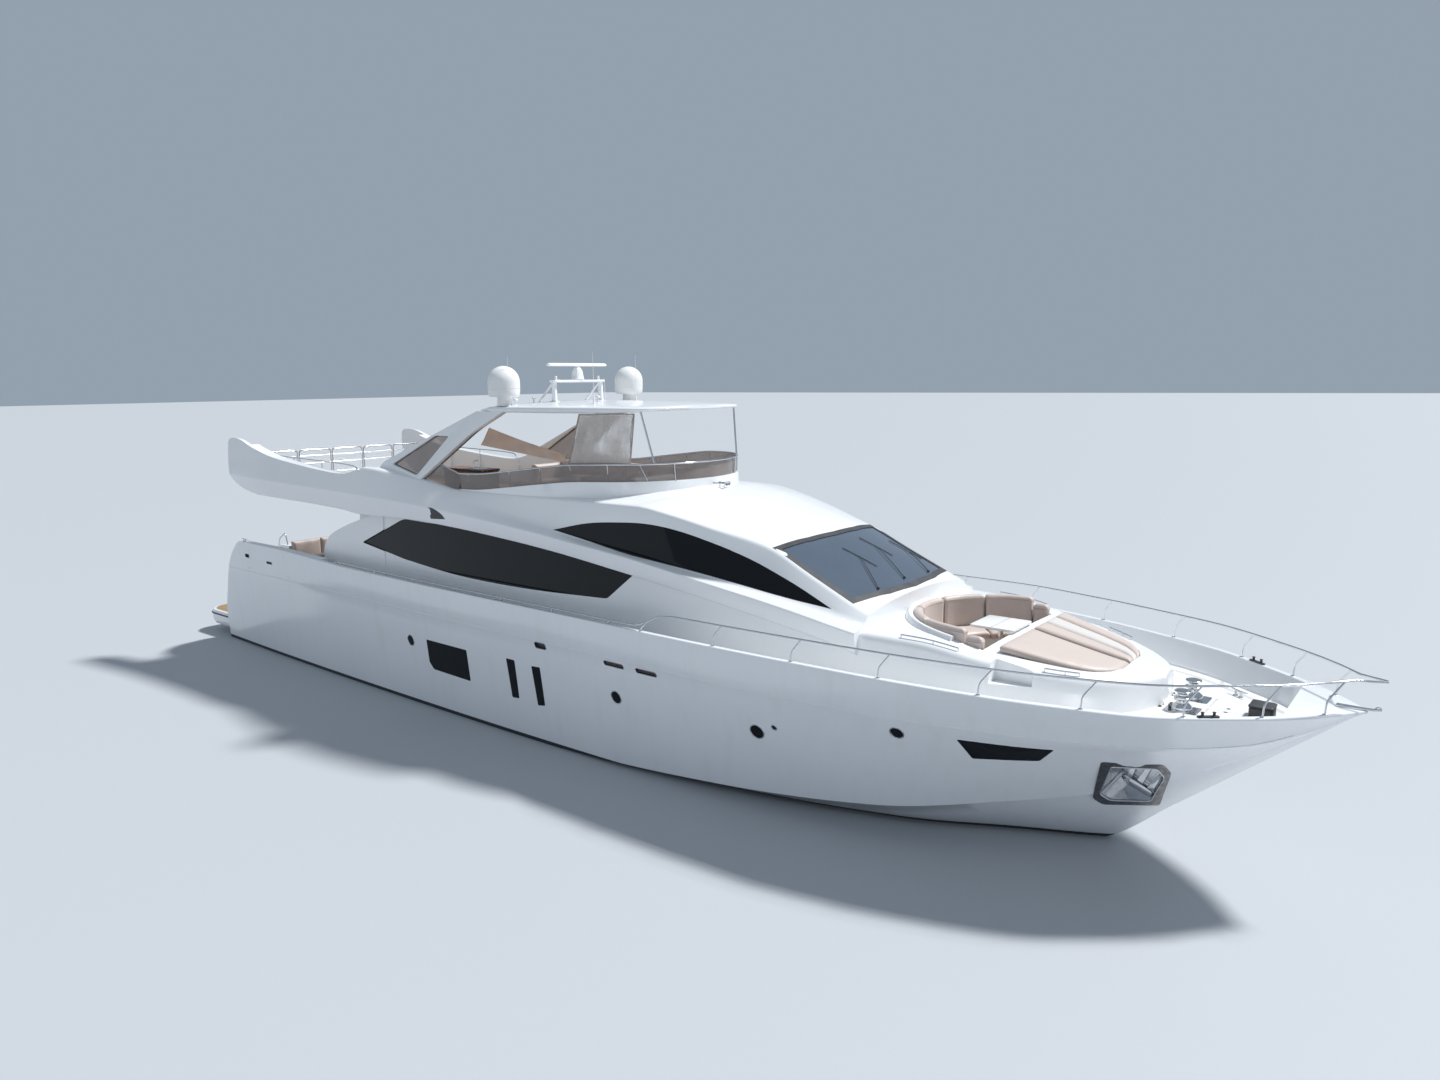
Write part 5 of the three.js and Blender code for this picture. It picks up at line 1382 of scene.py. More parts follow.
def makeLoungeSeats():
    x, seatZ = sofaRing["x"], sofaRing["seatZ"]
    inner, outer, end = sofaRing["seat"], sofaRing["outer"] - 0.065, x + sofaRing["length"]
    plan = [(end, outer)] + arcPoints(x, outer, 90, 270, 32) + [(end, -outer), (end, -inner - 0.03)]
    plan += arcPoints(x, inner + 0.03, 270, 90, 32) + [(end, inner + 0.03)]
    base = prismZ("seatBase", plan, loungeFloor + 0.0005, seatZ - 0.13)
    soften(base, 0.012, 2)
    ride(base, replaced=("lounge_seat",))
    count = 5
    gap = 0.35
    for k in range(count):
        start, stop = 90 + 180 / count * k + gap, 90 + 180 / count * (k + 1) - gap
        seat = cushion("loungeSeat_%d" % k, ringMap(inner + 0.004, outer - 0.1, start, stop, seatZ - 0.128,
                                                    seatZ - 0.012),
                       "beige", rollU=0.1, rollV=0.14, crown=0.1)
        ride(swell(seat))
        back = cushion("loungeBack_%d" % k, ringMap(sofaRing["inner"] - 0.075, outer - 0.005, start, stop,
                                                    seatZ - 0.02, sofaRing["backTop"] - 0.03, 0.0), "beige",
                                                    rollU=0.1, rollV=0.4,
                       shoulder=0.9, crown=0.015)
        ride(swell(back), replaced=("lounge_back",) if k == 0 else ())
    for side, word in ((1, "port"), (-1, "stbd")):
        y0, y1 = sorted((side * (inner + 0.004), side * (outer - 0.1)))
        arm = cushion("loungeArm_" + word, boxMap((x + 0.006, y0, seatZ - 0.128),
                                                  (end - 0.004, y1, seatZ - 0.012)),
                      "beige", rollU=0.2, rollV=0.14, crown=0.1)
        ride(swell(arm))
        y0, y1 = sorted((side * (sofaRing["inner"] - 0.075), side * (outer - 0.005)))
        rest = cushion("loungeArmBack_" + word, boxMap((x + 0.006, y0, seatZ - 0.02), (end - 0.02, y1, 3.42)),
                       "beige", rollU=0.3, rollV=0.4, shoulder=0.85, crown=0.02)
        ride(swell(rest))


def sunpadMap(side, inner, outer, aft, fore):
    # inner and outer are shares of the pad's own breadth at x
    def at(u, v, w):
        x = aft + (fore - aft) * u
        half = sunpadEdge(x)
        y = sunpad["gap"] / 2 + (half - sunpad["gap"] / 2) * (inner + (outer - inner) * v)
        return (x, side * y, padHeight(x) + 0.004 + 0.122 * w)
    return at


def makeSunpads():
    strips = {"port": (("beige", 0.0, 0.34), ("cream", 0.345, 0.7), ("beige", 0.705, 1.0)),
              "stbd": (("beige", 0.0, 1.0),)}
    for side, word in ((1, "port"), (-1, "stbd")):
        for k, (finish, inner, outer) in enumerate(strips[word]):
            pad = cushion("sunpadPad_%s_%d" % (word, k), sunpadMap(side, inner, outer, 10.604, 12.226), finish,
                          rollU=0.05, rollV=0.12 if word == "stbd" else 0.2, crown=0.07, extra=8)
            ride(swell(pad, 0.014), replaced=("sunpad_" + word,) if k == 0 else ())


def makeLoungeTable():
    top = prismZ("tableTop", roundedOutline([(9.66, -0.42), (10.44, -0.42), (10.44, 0.42), (9.66, 0.42)], 0.05),
                 3.29, 3.335, "gelcoat")
    soften(top, 0.012, 3)
    ride(top, replaced=("lounge_table",))
    fold = block("tableFold", (10.047, -0.415, 3.3351), (10.053, 0.415, 3.3365), "moulding")
    ride(fold)
    leg = turned("tableLeg", [(0.0, 0.001), (0.19, 0.001), (0.19, 0.008), (0.17, 0.016), (0.06, 0.03),
                              (0.045, 0.05), (0.045, 0.66), (0.085, 0.7), (0.12, 0.729), (0.0, 0.729)],
                              (10.05, 0, loungeFloor))
    ride(leg)


makeLounge()
makeLoungeSeats()
makeSunpads()
makeLoungeTable()
print("yacht: lounge and cushions")


# Hardtop and its arches

archFoot, archLean = 5.2, 0.28
# rows: x, half width, bottom z, edge top z, crown z
hardtopTable = [
    (-1.3, 1.98, 6.84, 6.9, 6.96), (-0.7, 2.12, 6.84, 6.96, 7.04), (0.5, 2.08, 6.84, 6.97, 7.06),
    (1.9, 1.9, 6.845, 6.97, 7.055), (2.7, 1.74, 6.86, 6.965, 7.04), (3.15, 1.56, 6.88, 6.96, 7.015),
    (3.4, 1.15, 6.9, 6.96, 6.995), (3.52, 0.6, 6.915, 6.955, 6.975),
]


def makeHardtop():
    rings = []
    places = steps(-1.3, 3.0, 36) + [3.08, 3.15, 3.2, 3.25, 3.3, 3.35, 3.4, 3.43, 3.46, 3.49, 3.51, 3.52]
    for x in places:
        _, half, bottom, edge, crown = readTable(hardtopTable, x)
        side = [(0, bottom), (half - 0.04, bottom), (half, (bottom + edge) / 2), (half - 0.03, edge),
                (half * 0.6, edge + (crown - edge) * 0.75), (0, crown)]
        fine = filleted(side, [0, 0.02, 0.03, 0.04, 0, 0], 3)
        top = bend(fine[-3], (fine[-2][0], fine[-2][1] + 0.006), fine[-1], 5)
        rings.append(ringFromSide(x, fine[:-2] + top[1:]))
    shell = loft("hardtopShell", rings)
    # a slim lip under the edge and a recessed ceiling panel
    inner = [ring for ring in ([(x, y * 0.86, z) for x, y, z in
                                [(px, s * readTable(hardtopTable, px)[1], readTable(hardtopTable, px)[2] + dz)
                                 for s, dz in ((-1, -0.05), (1, -0.05), (1, 0.022), (-1, 0.022))]] for px in
                               steps(-1.0, 3.0, 16))]
    carve(shell, [loft("ceilingPanel", inner, "deck")])
    shade(shell, 32)
    return ride(shell, replaced=("hardtop",))


def leanedIn(piece, side):
    # the arches and the panes between them lean inwards with height
    for vertex in piece.data.vertices:
        vertex.co.y = side * (vertex.co.y - (vertex.co.z - archFoot) * archLean)
    if side < 0:
        piece.data.flip_normals()
    return piece


def leanedPath(points, y, side):
    return [(x, side * (y - (z - archFoot) * archLean), z) for x, z in points]


def makeArch(side, word):
    outer = [(-4.72, 5.2), (-4.66, 5.42), (-4.56, 5.6)] + [(-1.3, 6.86)] + [(-0.38, 6.86), (-1.35, 6.39), (-3.0, 5.24),
                                                                            (-3.06, 5.15)]
    low, high = 2.4, 2.56
    leg = prismY("archLeg", cornered(outer, {2: 0.2, 5: 0.5, 6: 0.2}, 5), low, high)
    hole = prismY("archHole", cornered([(-4.13, 5.58), (-2.66, 6.29), (-2.13, 6.29), (-3.08, 5.37)],
                                       {0: 0.08, 1: 0.1, 2: 0.05, 3: 0.1}, 4), 2.0, 3.0)
    carve(leg, [hole])
    soften(leg, 0.03, 4, 40)
    leanedIn(leg, side)
    shade(leg, 32)
    return ride(leg, replaced=("arch_" + word,))


makeHardtop()
for side, word in ((1, "port"), (-1, "stbd")):
    makeArch(side, word)
print("yacht: hardtop and arches")


# Small shared helpers for the fittings

bothSides = ((1, "port"), (-1, "stbd"))


def insetRing(ring, amount):
    # every corner of a closed outline moves in, square to its neighbours
    area = sum(a[0] * b[1] - b[0] * a[1] for a, b in zip(ring, ring[1:] + ring[:1]))
    turn = 1.0 if area > 0 else -1.0
    result = []
    for i, point in enumerate(ring):
        here, back, ahead = Vector(point), Vector(ring[i - 1]), Vector(ring[(i + 1) % len(ring)])
        first, second = (here - back).normalized(), (ahead - here).normalized()
        square = Vector((-(first.y + second.y), first.x + second.x)) * turn
        square.normalize()
        facing = max(0.35, square.dot(Vector((-first.y, first.x)) * turn))
        result.append(tuple(here + square * amount / facing))
    return result


def bentTube(name, points, radius, finish="steel", bendRadius=0.05, sides=12, closed=False):
    # a tube with rounded elbows through corner points
    corners = [Vector(p) for p in points]
    path = []
    count = len(corners)
    for i, here in enumerate(corners):
        if not closed and i in (0, count - 1):
            path.append(tuple(here))
            continue
        back, ahead = corners[i - 1] - here, corners[(i + 1) % count] - here
        start = here + back.normalized() * min(bendRadius, back.length * 0.45)
        end = here + ahead.normalized() * min(bendRadius, ahead.length * 0.45)
        path += [tuple(start * (1 - t)**2 + here * 2 * t * (1 - t) + end * t * t) for t in steps(0, 1, 5)]
    return tube(name, path, radius, finish, sides, closed)


def flange(at, radius=0.034, axis=(0, 0, 1)):
    return turned("flange", [(0.0, -0.004), (radius, -0.004), (radius, 0.004), (radius * 0.75, 0.009),
                             (0.0, 0.012)], at,
                  "steel", 16, axis)


def ball(name, at, radius, finish, squash=1.0):
    return turned(name, [(radius * math.sin(a), -radius * squash * math.cos(a)) for a in
                         (math.pi * k / 10 for k in range(11))], at, finish, 20)


# Glass, rims and grilles in the hull side

def makeHullSideFittings():
    for side, word in bothSides:
        glass, steel, grille = [], [], []
        for outline in hullWindows.values():
            ring = insetRing(roundedOutline(outline, 0.035), 0.004)
            glass.append(skin("hullGlass", ring, -0.0195, -0.004, "darkGlass", side, crown=0.002))
        for x, z, radius in hullPorts:
            glass.append(skin("portGlass", circle(x, z, radius - 0.006), -0.0195, -0.008, "darkGlass", side,
                              crown=0.003))
            rim = [onHull(px, pz, 0.0, side) for px, pz in circle(x, z, radius + 0.004, 36)]
            steel.append(tube("portRim", rim, 0.012, "steel", 10, True))
        for row in hullVents:
            base = skin("ventBack", insetRing(stadium(*row), 0.003), -0.0495, -0.042, "vent", side)
            grille.append(base)
            for lift in (-0.024, 0.0, 0.024):
                half = row[2] - 0.03
                slat = [onHull(x, row[1] + lift, -0.018, side) for x in steps(row[0] - half, row[0] + half, 9)]
                grille.append(tube("ventSlat", slat, 0.0038, "darkSteel", 6))
        for row in hullVents + hullFairleads:
            ring = [onHull(px, pz, 0.001, side) for px, pz in stadium(*row)]
            steel.append(tube("slotRim", ring, 0.009, "steel", 8, True))
        ride(join("hullGlass_" + word, glass))
        ride(join("hullRims_" + word, steel))
        ride(join("hullGrilles_" + word, grille))


def boundaryStrip(side, word):
    # the moulded rub strip along the knuckle, aft to fore
    path = [onHull(x, readTable(hullTable, x)[5] - 0.005, 0.0, side) for x in steps(-12.2, 14.6, 130)]
    ride(tube("knuckleStrip_" + word, path, 0.011, "hull", 8))


makeHullSideFittings()
for side, word in bothSides:
    boundaryStrip(side, word)
print("yacht: hull side fittings")


# Anchors in their pockets, windlasses and deck gear

anchorSet = {"x": 12.56, "z": 1.19, "tilt": 24.0}


def anchorTurn(points, side):
    tilt = math.radians(anchorSet["tilt"])
    y0 = pocket["inner"] + 0.0004
    return [(anchorSet["x"] + x * math.cos(tilt) + z * math.sin(tilt), side * (y0 + y),
             anchorSet["z"] - x * math.sin(tilt) + z * math.cos(tilt)) for x, y, z in points]


railTable = [(-6.0, 0.07), (-3.0, 0.07), (0.0, 0.07), (3.0, 0.07), (4.3, 0.075), (4.65, 0.17), (4.95, 0.32),
             (5.4, 0.365), (7.0, 0.375), (9.0, 0.385), (11.0, 0.4), (13.0, 0.43), (14.4, 0.45), (15.3, 0.455)]
stanchions = [-5.9, -4.3, -2.7, -1.1, 0.5, 2.1, 3.7, 4.56, 6.25, 7.85, 9.4, 10.9, 12.25, 13.45, 14.3, 14.95]
rail = {"radius": 0.017, "post": 0.013, "knee": 0.42, "lean": 0.13}


def capPoint(x, side):
    sheerY, sheerZ = sheerAt(x)
    return (x, side * (sheerY - wallAcross(x, sizes["bulwark"]) * 0.5), sheerZ)


def makeAnchor(side, word):
    def barAlong(rows):
        # rows: z, half width, inner y, outer y
        return loft("anchorPart", [anchorTurn([(-w, a, z), (w, a, z), (w, b, z), (-w, b, z)], side) for z, w, a,
                                   b in
                                   rows], "steel")
    shank = barAlong([(0.02, 0.06, 0.0, 0.095), (0.12, 0.05, 0.0, 0.09), (0.4, 0.038, 0.01, 0.08),
                      (0.52, 0.045, 0.012, 0.08), (0.56, 0.028, 0.02, 0.07)])
    parts = [soften(shank, 0.009, 2)]
    crown = loft("anchorPart",
                 [anchorTurn([(x, a, -c), (x, b, -c * 0.7), (x, b, d * 0.8), (x, a, d)], side) for x, a, b, c,
                  d in
                                ((-0.262, 0.012, 0.1, 0.01, 0.07), (-0.2, 0.0, 0.128, 0.036, 0.108),
                                 (0.2, 0.0, 0.128, 0.036, 0.108), (0.262, 0.012, 0.1, 0.01, 0.07))], "steel")
    parts.append(soften(crown, 0.014, 3))
    for way in (1, -1):
        rows = [(0.05, 0.25, 0.12, 0.02, 0.112), (0.2, 0.248, 0.14, 0.022, 0.1),
                (0.32, 0.235, 0.165, 0.026, 0.082), (0.42, 0.212, 0.185, 0.032, 0.06)]
        fluke = loft("anchorPart", [anchorTurn([(way * a, low, z), (way * b, low, z), (way * b, high, z),
                                                (way * (a + b) / 2, high + 0.008, z), (way * a, high, z)], side)
                                    for z, a, b, low, high in rows], "steel")
        parts.append(soften(fluke, 0.007, 2))
    eye = anchorTurn([(0.05 * math.cos(a), 0.045, 0.545 + 0.05 * math.sin(a)) for a in
                      (2 * math.pi * k / 20 for k in range(20))], side)
    parts.append(tube("anchorPart", eye, 0.011, "steel", 8, True))
    anchor = join("anchorDetail_" + word, parts)
    shade(anchor, 40)
    ride(anchor, replaced=("anchor_" + word,))
    # the pocket plate is polished steel; its dark steel finish is painted shade of the pocket and a painted dark
    # reflection
    plate = skin("anchorPlate_" + word, pocketOutline(0.1), 0.0008, 0.0045, "darkSteel", side,
                 shrink=(1.0, 0.99, 0.7, 0.35))
    low, high = sorted((side * 0.3, side * 2.4))
    carve(plate, [prismY("plateCut", pocketOutline(0.002), low, high, "darkSteel")])
    shade(plate, 30)
    ride(plate)
    outline = pocketOutline(-0.002)
    lip = [onHull(x, z, 0.004, side) for x, z in outline]
    ride(tube("anchorLip_" + word, lip, 0.012, "steel", 8, True))


def makeWindlass(side, word):
    at = (13.08, side * 0.33, sizes["deck"] + 0.0005)
    profile = [(0.0, 0.0), (0.148, 0.0), (0.15, 0.006), (0.15, 0.05), (0.142, 0.062), (0.112, 0.086),
               (0.108, 0.092), (0.072, 0.1), (0.066, 0.11), (0.066, 0.125), (0.072, 0.15), (0.1, 0.168),
               (0.12, 0.176), (0.12, 0.197), (0.112, 0.204), (0.08, 0.212), (0.07, 0.226), (0.07, 0.246),
               (0.08, 0.258), (0.114, 0.276), (0.12, 0.284), (0.12, 0.294), (0.11, 0.301), (0.05, 0.304),
               (0.03, 0.3045), (0.0, 0.3045)]
    drum = turned("windlassDrum", profile, at, "steel", 40)
    parts = [drum]
    for k in range(8):
        a = math.pi * k / 4
        x, y = at[0] + 0.069 * math.cos(a), at[1] + 0.069 * math.sin(a)
        parts.append(tube("rib", [(x, y, at[2] + 0.112), (x, y, at[2] + 0.15)], 0.006, "steel", 6))
    ride(join("windlassDetail_" + word, parts), replaced=("windlass_" + word,))
    plate = prismZ("windlassPlate_" + word,
                   roundedOutline([(12.86, at[1] - 0.2), (13.33, at[1] - 0.2), (13.33, at[1] + 0.2),
                                                            (12.86, at[1] + 0.2)], 0.05),
                                                            sizes["deck"] + 0.0002,
                   sizes["deck"] + 0.005, "steel")
    carve(plate, [prismZ("plateHole", circle(at[0], at[1], 0.1505), 2.4, 2.6, "steel")])
    shade(plate, 30)
    ride(plate)
    stopper = [block("stopper", (12.9, at[1] - 0.05, 2.5055), (12.97, at[1] - 0.025, 2.57), "darkSteel"),
               block("stopper", (12.9, at[1] + 0.025, 2.5055), (12.97, at[1] + 0.05, 2.57), "darkSteel"),
               tube("stopper", [(12.935, at[1] - 0.06, 2.556), (12.935, at[1] + 0.06, 2.556)], 0.008, "steel",
                    8)]
    for piece in stopper[:2]:
        soften(piece, 0.006, 2)
    ride(join("chainStopper_" + word, stopper))
    buttons = [turned("button", [(0.0, 0.0), (0.032, 0.0), (0.032, 0.01), (0.024, 0.018), (0.0, 0.02)],
                      (12.78, at[1] + lift, 2.5004), "rubber", 18) for lift in (-0.06, 0.06)]
    ride(join("footSwitches_" + word, buttons))


def makeCleat(name, at, heading, size=1.0):
    # two posts and a long horn
    turn = Matrix.Rotation(math.radians(heading), 3, "Z")

    def put(x, y, z):
        return tuple(Vector(at) + turn @ (Vector((x, y, z)) * size))
    parts = [tube("cleatPost", [put(s * 0.045, 0, 0.0), put(s * 0.05, 0, 0.065)], [0.016 * size, 0.012 * size],
                  "steel", 10)
             for s in (-1, 1)]
    horn = [put(x, 0, 0.07 + 0.012 * (abs(x) / 0.16) ** 2) for x in steps(-0.16, 0.16, 12)]
    widths = [0.013 * size * (1.0 - 0.55 * (abs(k - 6) / 6) ** 2) for k in range(13)]
    parts.append(tube("cleatHorn", horn, widths, "steel", 10))
    parts += [turned("cleatFoot", [(0.0, 0.0), (0.034 * size, 0.0), (0.03 * size, 0.008), (0.0, 0.012)],
                     put(s * 0.045, 0, 0), "steel", 14) for s in (-1, 1)]
    return ride(join(name, parts))


def makeForedeckGear():
    deck = sizes["deck"]
    for side, word in bothSides:
        makeCleat("bowCleat_" + word, (13.62, side * 0.86, deck + 0.0003), -38 * side, 1.2)
        low = (locker["aft"] + 0.006, locker["inner"] + 0.006)
        high = (locker["fore"] - 0.006, locker["outer"] - 0.006)
        y0, y1 = sorted((side * low[1], side * high[1]))
        lid = soften(block("lid", (low[0], y0, deck - 0.03), (high[0], y1, deck)), 0.005, 2)
        pad = prismZ("lidPad", roundedOutline([(low[0] + 0.03, y0 + 0.03), (high[0] - 0.03, y0 + 0.03),
                                               (high[0] - 0.03, y1 - 0.03), (low[0] + 0.03, y1 - 0.03)], 0.03),
                                               deck + 0.0002,
                     deck + 0.0018, "deck")
        latch = turned("lidLatch", [(0.0, 0.0), (0.03, 0.0), (0.03, 0.0022), (0.026, 0.003), (0.0, 0.003)],
                       (13.64, side * 0.1, deck + 0.0019), "steel", 24)
        ride(lid, "locker_" + word, replaced=("locker_lid_" + word,))
        ride(pad, "locker_" + word)
        ride(latch, "locker_" + word)
    box = prismZ("bowBox", roundedOutline([(13.95, -0.19), (14.27, -0.16), (14.27, 0.16), (13.95, 0.19)], 0.05),
                 deck + 0.0003, deck + 0.17, "moulding")
    soften(box, 0.02, 3, 50)
    ride(box)
    lidLine = prismZ("bowBoxLid", roundedOutline([(13.94, -0.2), (14.28, -0.17), (14.28, 0.17), (13.94, 0.2)],
                                                 0.055),
                     deck + 0.171, deck + 0.2, "moulding")
    ride(soften(lidLine, 0.014, 3, 50))
    for side, word in bothSides:
        foot = Vector(capPoint(13.72, side))
        ahead = (Vector(capPoint(13.9, side)) - Vector(capPoint(13.54, side))).normalized()
        across = Vector((-ahead.y, ahead.x, 0)).normalized()
        plate = [foot + ahead * a + across * b for a, b in ((-0.15, -0.032), (0.15, -0.032), (0.15, 0.032),
                                                            (-0.15, 0.032))]
        base = prismZ("fairleadBase", roundedOutline([(p.x, p.y) for p in plate], 0.025), foot.z + 0.0005,
                      foot.z + 0.022, "moulding")
        parts = [soften(base, 0.005, 2, 50)]
        for shift in (-0.08, 0.08):
            at = foot + ahead * shift
            parts.append(turned("roller", [(0.0, 0.02), (0.026, 0.02), (0.02, 0.03), (0.018, 0.055),
                                           (0.026, 0.075), (0.0, 0.078)],
                                (at.x, at.y, foot.z), "moulding", 18))
        ride(join("bowFairlead_" + word, parts))
    nose = [loft("bowFitting", [[(x, -w, z - 0.012), (x, w, z - 0.012), (x, w, z + 0.01), (x, 0, z + 0.016),
                                 (x, -w, z + 0.01)]
                                for x, w, z in ((15.02, 0.06, 2.884), (15.3, 0.045, 2.885),
                                                (15.46, 0.034, 2.892), (15.56, 0.018, 2.904))], "steel")]
    nose.append(tube("bowEye", [(15.47, 0, 2.9 + 0.0), (15.5, 0, 2.935), (15.54, 0, 2.935), (15.555, 0, 2.905)],
                     0.008, "steel", 8))
    ride(join("bowTipFitting", nose))


def makeDeckHatch(name, x, y, z, half, slope=0.0):
    # a flush smoked hatch in a slim frame
    ring = roundedOutline([(x - half, y - half), (x + half, y - half), (x + half, y + half),
                           (x - half, y + half)], 0.07)
    frame = prismZ("hatchFrame", ring, 0.0, 0.018, "steel")
    carve(frame, [prismZ("hatchHole", insetRing(ring, 0.035), -0.1, 0.1, "steel")])
    pane = prismZ("hatchPane", insetRing(ring, 0.036), 0.002, 0.016, "darkGlass")
    for piece in (frame, pane):
        for vertex in piece.data.vertices:
            vertex.co.z += z + (vertex.co.x - x) * slope
        shade(piece, 30)
    ride(frame)
    ride(pane)
    frame.name, pane.name = name + "Frame", name + "Pane"


for side, word in bothSides:
    makeAnchor(side, word)
    makeWindlass(side, word)
makeForedeckGear()
print("yacht: anchors, windlasses and deck gear")


# Bow rails


def railPoint(x, side):
    px, y, z = capPoint(x, side)
    lift = readTable(railTable, x)[1]
    return (px + lift * 0.12, side * max(abs(y) - lift * 0.1, 0.037), z + lift)


def makeBowRail(side, word):
    places = [-6.0] + steps(-5.6, 4.2, 26) + steps(4.3, 5.5, 13)[1:] + steps(5.9, 15.2, 34)
    path = [railPoint(x, side) for x in places] + [(15.42, side * 0.11, 3.318), (15.53, side * 0.055, 3.3195),
                                                   (15.6, side * 0.0175, 3.32)]
    end = railPoint(-6.0, side)
    foot = capPoint(-6.12, side)
    path = [(foot[0] + 0.01, foot[1], foot[2] - 0.004), (foot[0] + 0.02, foot[1], foot[2] + 0.045),
            (end[0] - 0.045, end[1], end[2] - 0.006)] + path
    parts = [tube("railTube", path, rail["radius"], "steel", 14)]
    for x in stanchions:
        foot = Vector(capPoint(x, side))
        lift = readTable(railTable, x)[1]
        if lift < 0.1:
            head = Vector(railPoint(x + 0.01, side))
            parts.append(tube("post", [tuple(foot - Vector((0, 0, 0.004))), tuple(head)], rail["post"], "steel",
                              10))
        else:
            head = Vector(railPoint(x + rail["lean"], side))
            knee = foot + Vector((0.012, 0, lift * rail["knee"]))
            parts.append(bentTube("post", [tuple(foot - Vector((0, 0, 0.004))), tuple(knee), tuple(head)],
                                  rail["post"], "steel", 0.07, 10))
        parts.append(flange(tuple(foot)))
    ride(join("bowRailDetail_" + word, parts), replaced=("bow_rail_" + word,))


def makeGrabRail(name, points, height=0.045, finish="steel"):
    # a low handhold on short legs
    path = [Vector(p) for p in points]
    parts = [tube("grab", [tuple(p + Vector((0, 0, height))) for p in path], 0.012, finish, 10)]
    for p in (path[0], path[len(path) // 2], path[-1]):
        parts.append(tube("grabLeg", [tuple(p), tuple(p + Vector((0, 0, height)))], 0.009, finish, 8))
    return ride(join(name, parts))


for side, word in bothSides:
    makeBowRail(side, word)
    makeGrabRail("loungeGrabAft_" + word,
                 [(x, side * (loungeRow(x)[2] - 0.12), loungeRow(x)[3] + 0.002) for x in
                                           steps(9.2, 10.15, 7)])
    makeGrabRail("loungeGrabFore_" + word,
                 [(x, side * (loungeRow(x)[2] - 0.1), loungeRow(x)[3] + 0.002) for x in
                                            steps(11.4, 11.85, 5)])
print("yacht: bow rails")


# Points on the outside of the deckhouse and flybridge

def houseY(x, z):
    # the outermost crossing of one station with a level
    side = houseSide(x)
    reach = 0.0
    for (y0, z0), (y1, z1) in zip(side, side[1:]):
        if min(z0, z1) <= z <= max(z0, z1) and abs(z1 - z0) > 1e-6:
            reach = max(reach, y0 + (y1 - y0) * (z - z0) / (z1 - z0))
    return reach


def onHouse(x, z, out=0.0, side=-1):
    along = (houseY(x + 0.05, z) - houseY(x - 0.05, z)) / 0.1
    upward = (houseY(x, z + 0.02) - houseY(x, z - 0.02)) / 0.04
    square = Vector((-along, 1.0, -upward)).normalized() * out
    return (x + square.x, side * (houseY(x, z) + square.y), z + square.z)


def roofZ(x, y):
    best = 0.0
    side = houseSide(x)
    for (y0, z0), (y1, z1) in zip(side, side[1:]):
        if min(y0, y1) <= abs(y) <= max(y0, y1) and abs(y1 - y0) > 1e-6:
            best = max(best, z0 + (z1 - z0) * (abs(y) - y0) / (y1 - y0))
    return best


# Tinted screen of the flybridge with its rail and posts

screenPosts = [(-1.28, 0.0), (0.09, 0.0), (1.0, 0.0), (1.78, 0.12), (2.6, 0.0), (3.12, 0.1), (3.52, 0.0)]


def coamingY(x):
    return readTable(coamingPlan, x)[1]


def coamingZ(x):
    return readTable(coamingTop, x)[1]


def makeFlyScreen():
    inset, thickness, rise = coaming["screenInset"], coaming["screenThickness"], coaming["screenHeight"]
    panel = prismZ("flyScreenPanel", fullPlan(inset), 5.0, 6.1, "acrylic")
    carve(panel, [underCoamingTop("screenSlice", rise, -0.0003, "acrylic")], "INTERSECT")
    carve(panel, [prismZ("screenHollow", fullPlan(inset + thickness), 4.9, 6.2, "acrylic"),
                  block("screenAft", (-3.0, -3.0, 4.0), (-1.5603, 3.0, 7.0), "acrylic")])
    shade(panel, 35)
    ride(panel, replaced=("fly_screen",))
    middle = inset + thickness / 2
    lift = rise + 0.012
    plan = flat2(smoothPath([(x, 0, y) for x, y in coamingPlan], 5))
    port = [(x - (middle if i == len(plan) - 1 else 0), y - (middle if y > 0 else 0), coamingZ(x) + lift)
            for i, (x, y) in enumerate(plan)]
    path = port + [(x, -y, z) for x, y, z in reversed(port[:-1])]
    parts = [tube("screenRail", path, 0.018, "steel", 14)]
    for x, lean in screenPosts:
        for side in (1, -1):
            foot = (x + lean, side * (coamingY(x + lean) - 0.062), coamingZ(x + lean) - 0.004)
            head = (x, side * (coamingY(x) - middle), coamingZ(x) + lift)
            parts.append(tube("screenPost", [foot, head], 0.012, "steel", 10))
            parts.append(flange(foot, 0.026))
    ride(join("screenRailDetail", parts), replaced=("fly_screen_rail",))
    clips = []
    for x, _ in screenPosts:
        for side in (1, -1):
            at = (x, side * (coamingY(x) - inset + 0.004), coamingZ(x) + 0.2)
            clips.append(ball("clip", at, 0.014, "steel", 0.8))
    ride(join("screenClips", clips))


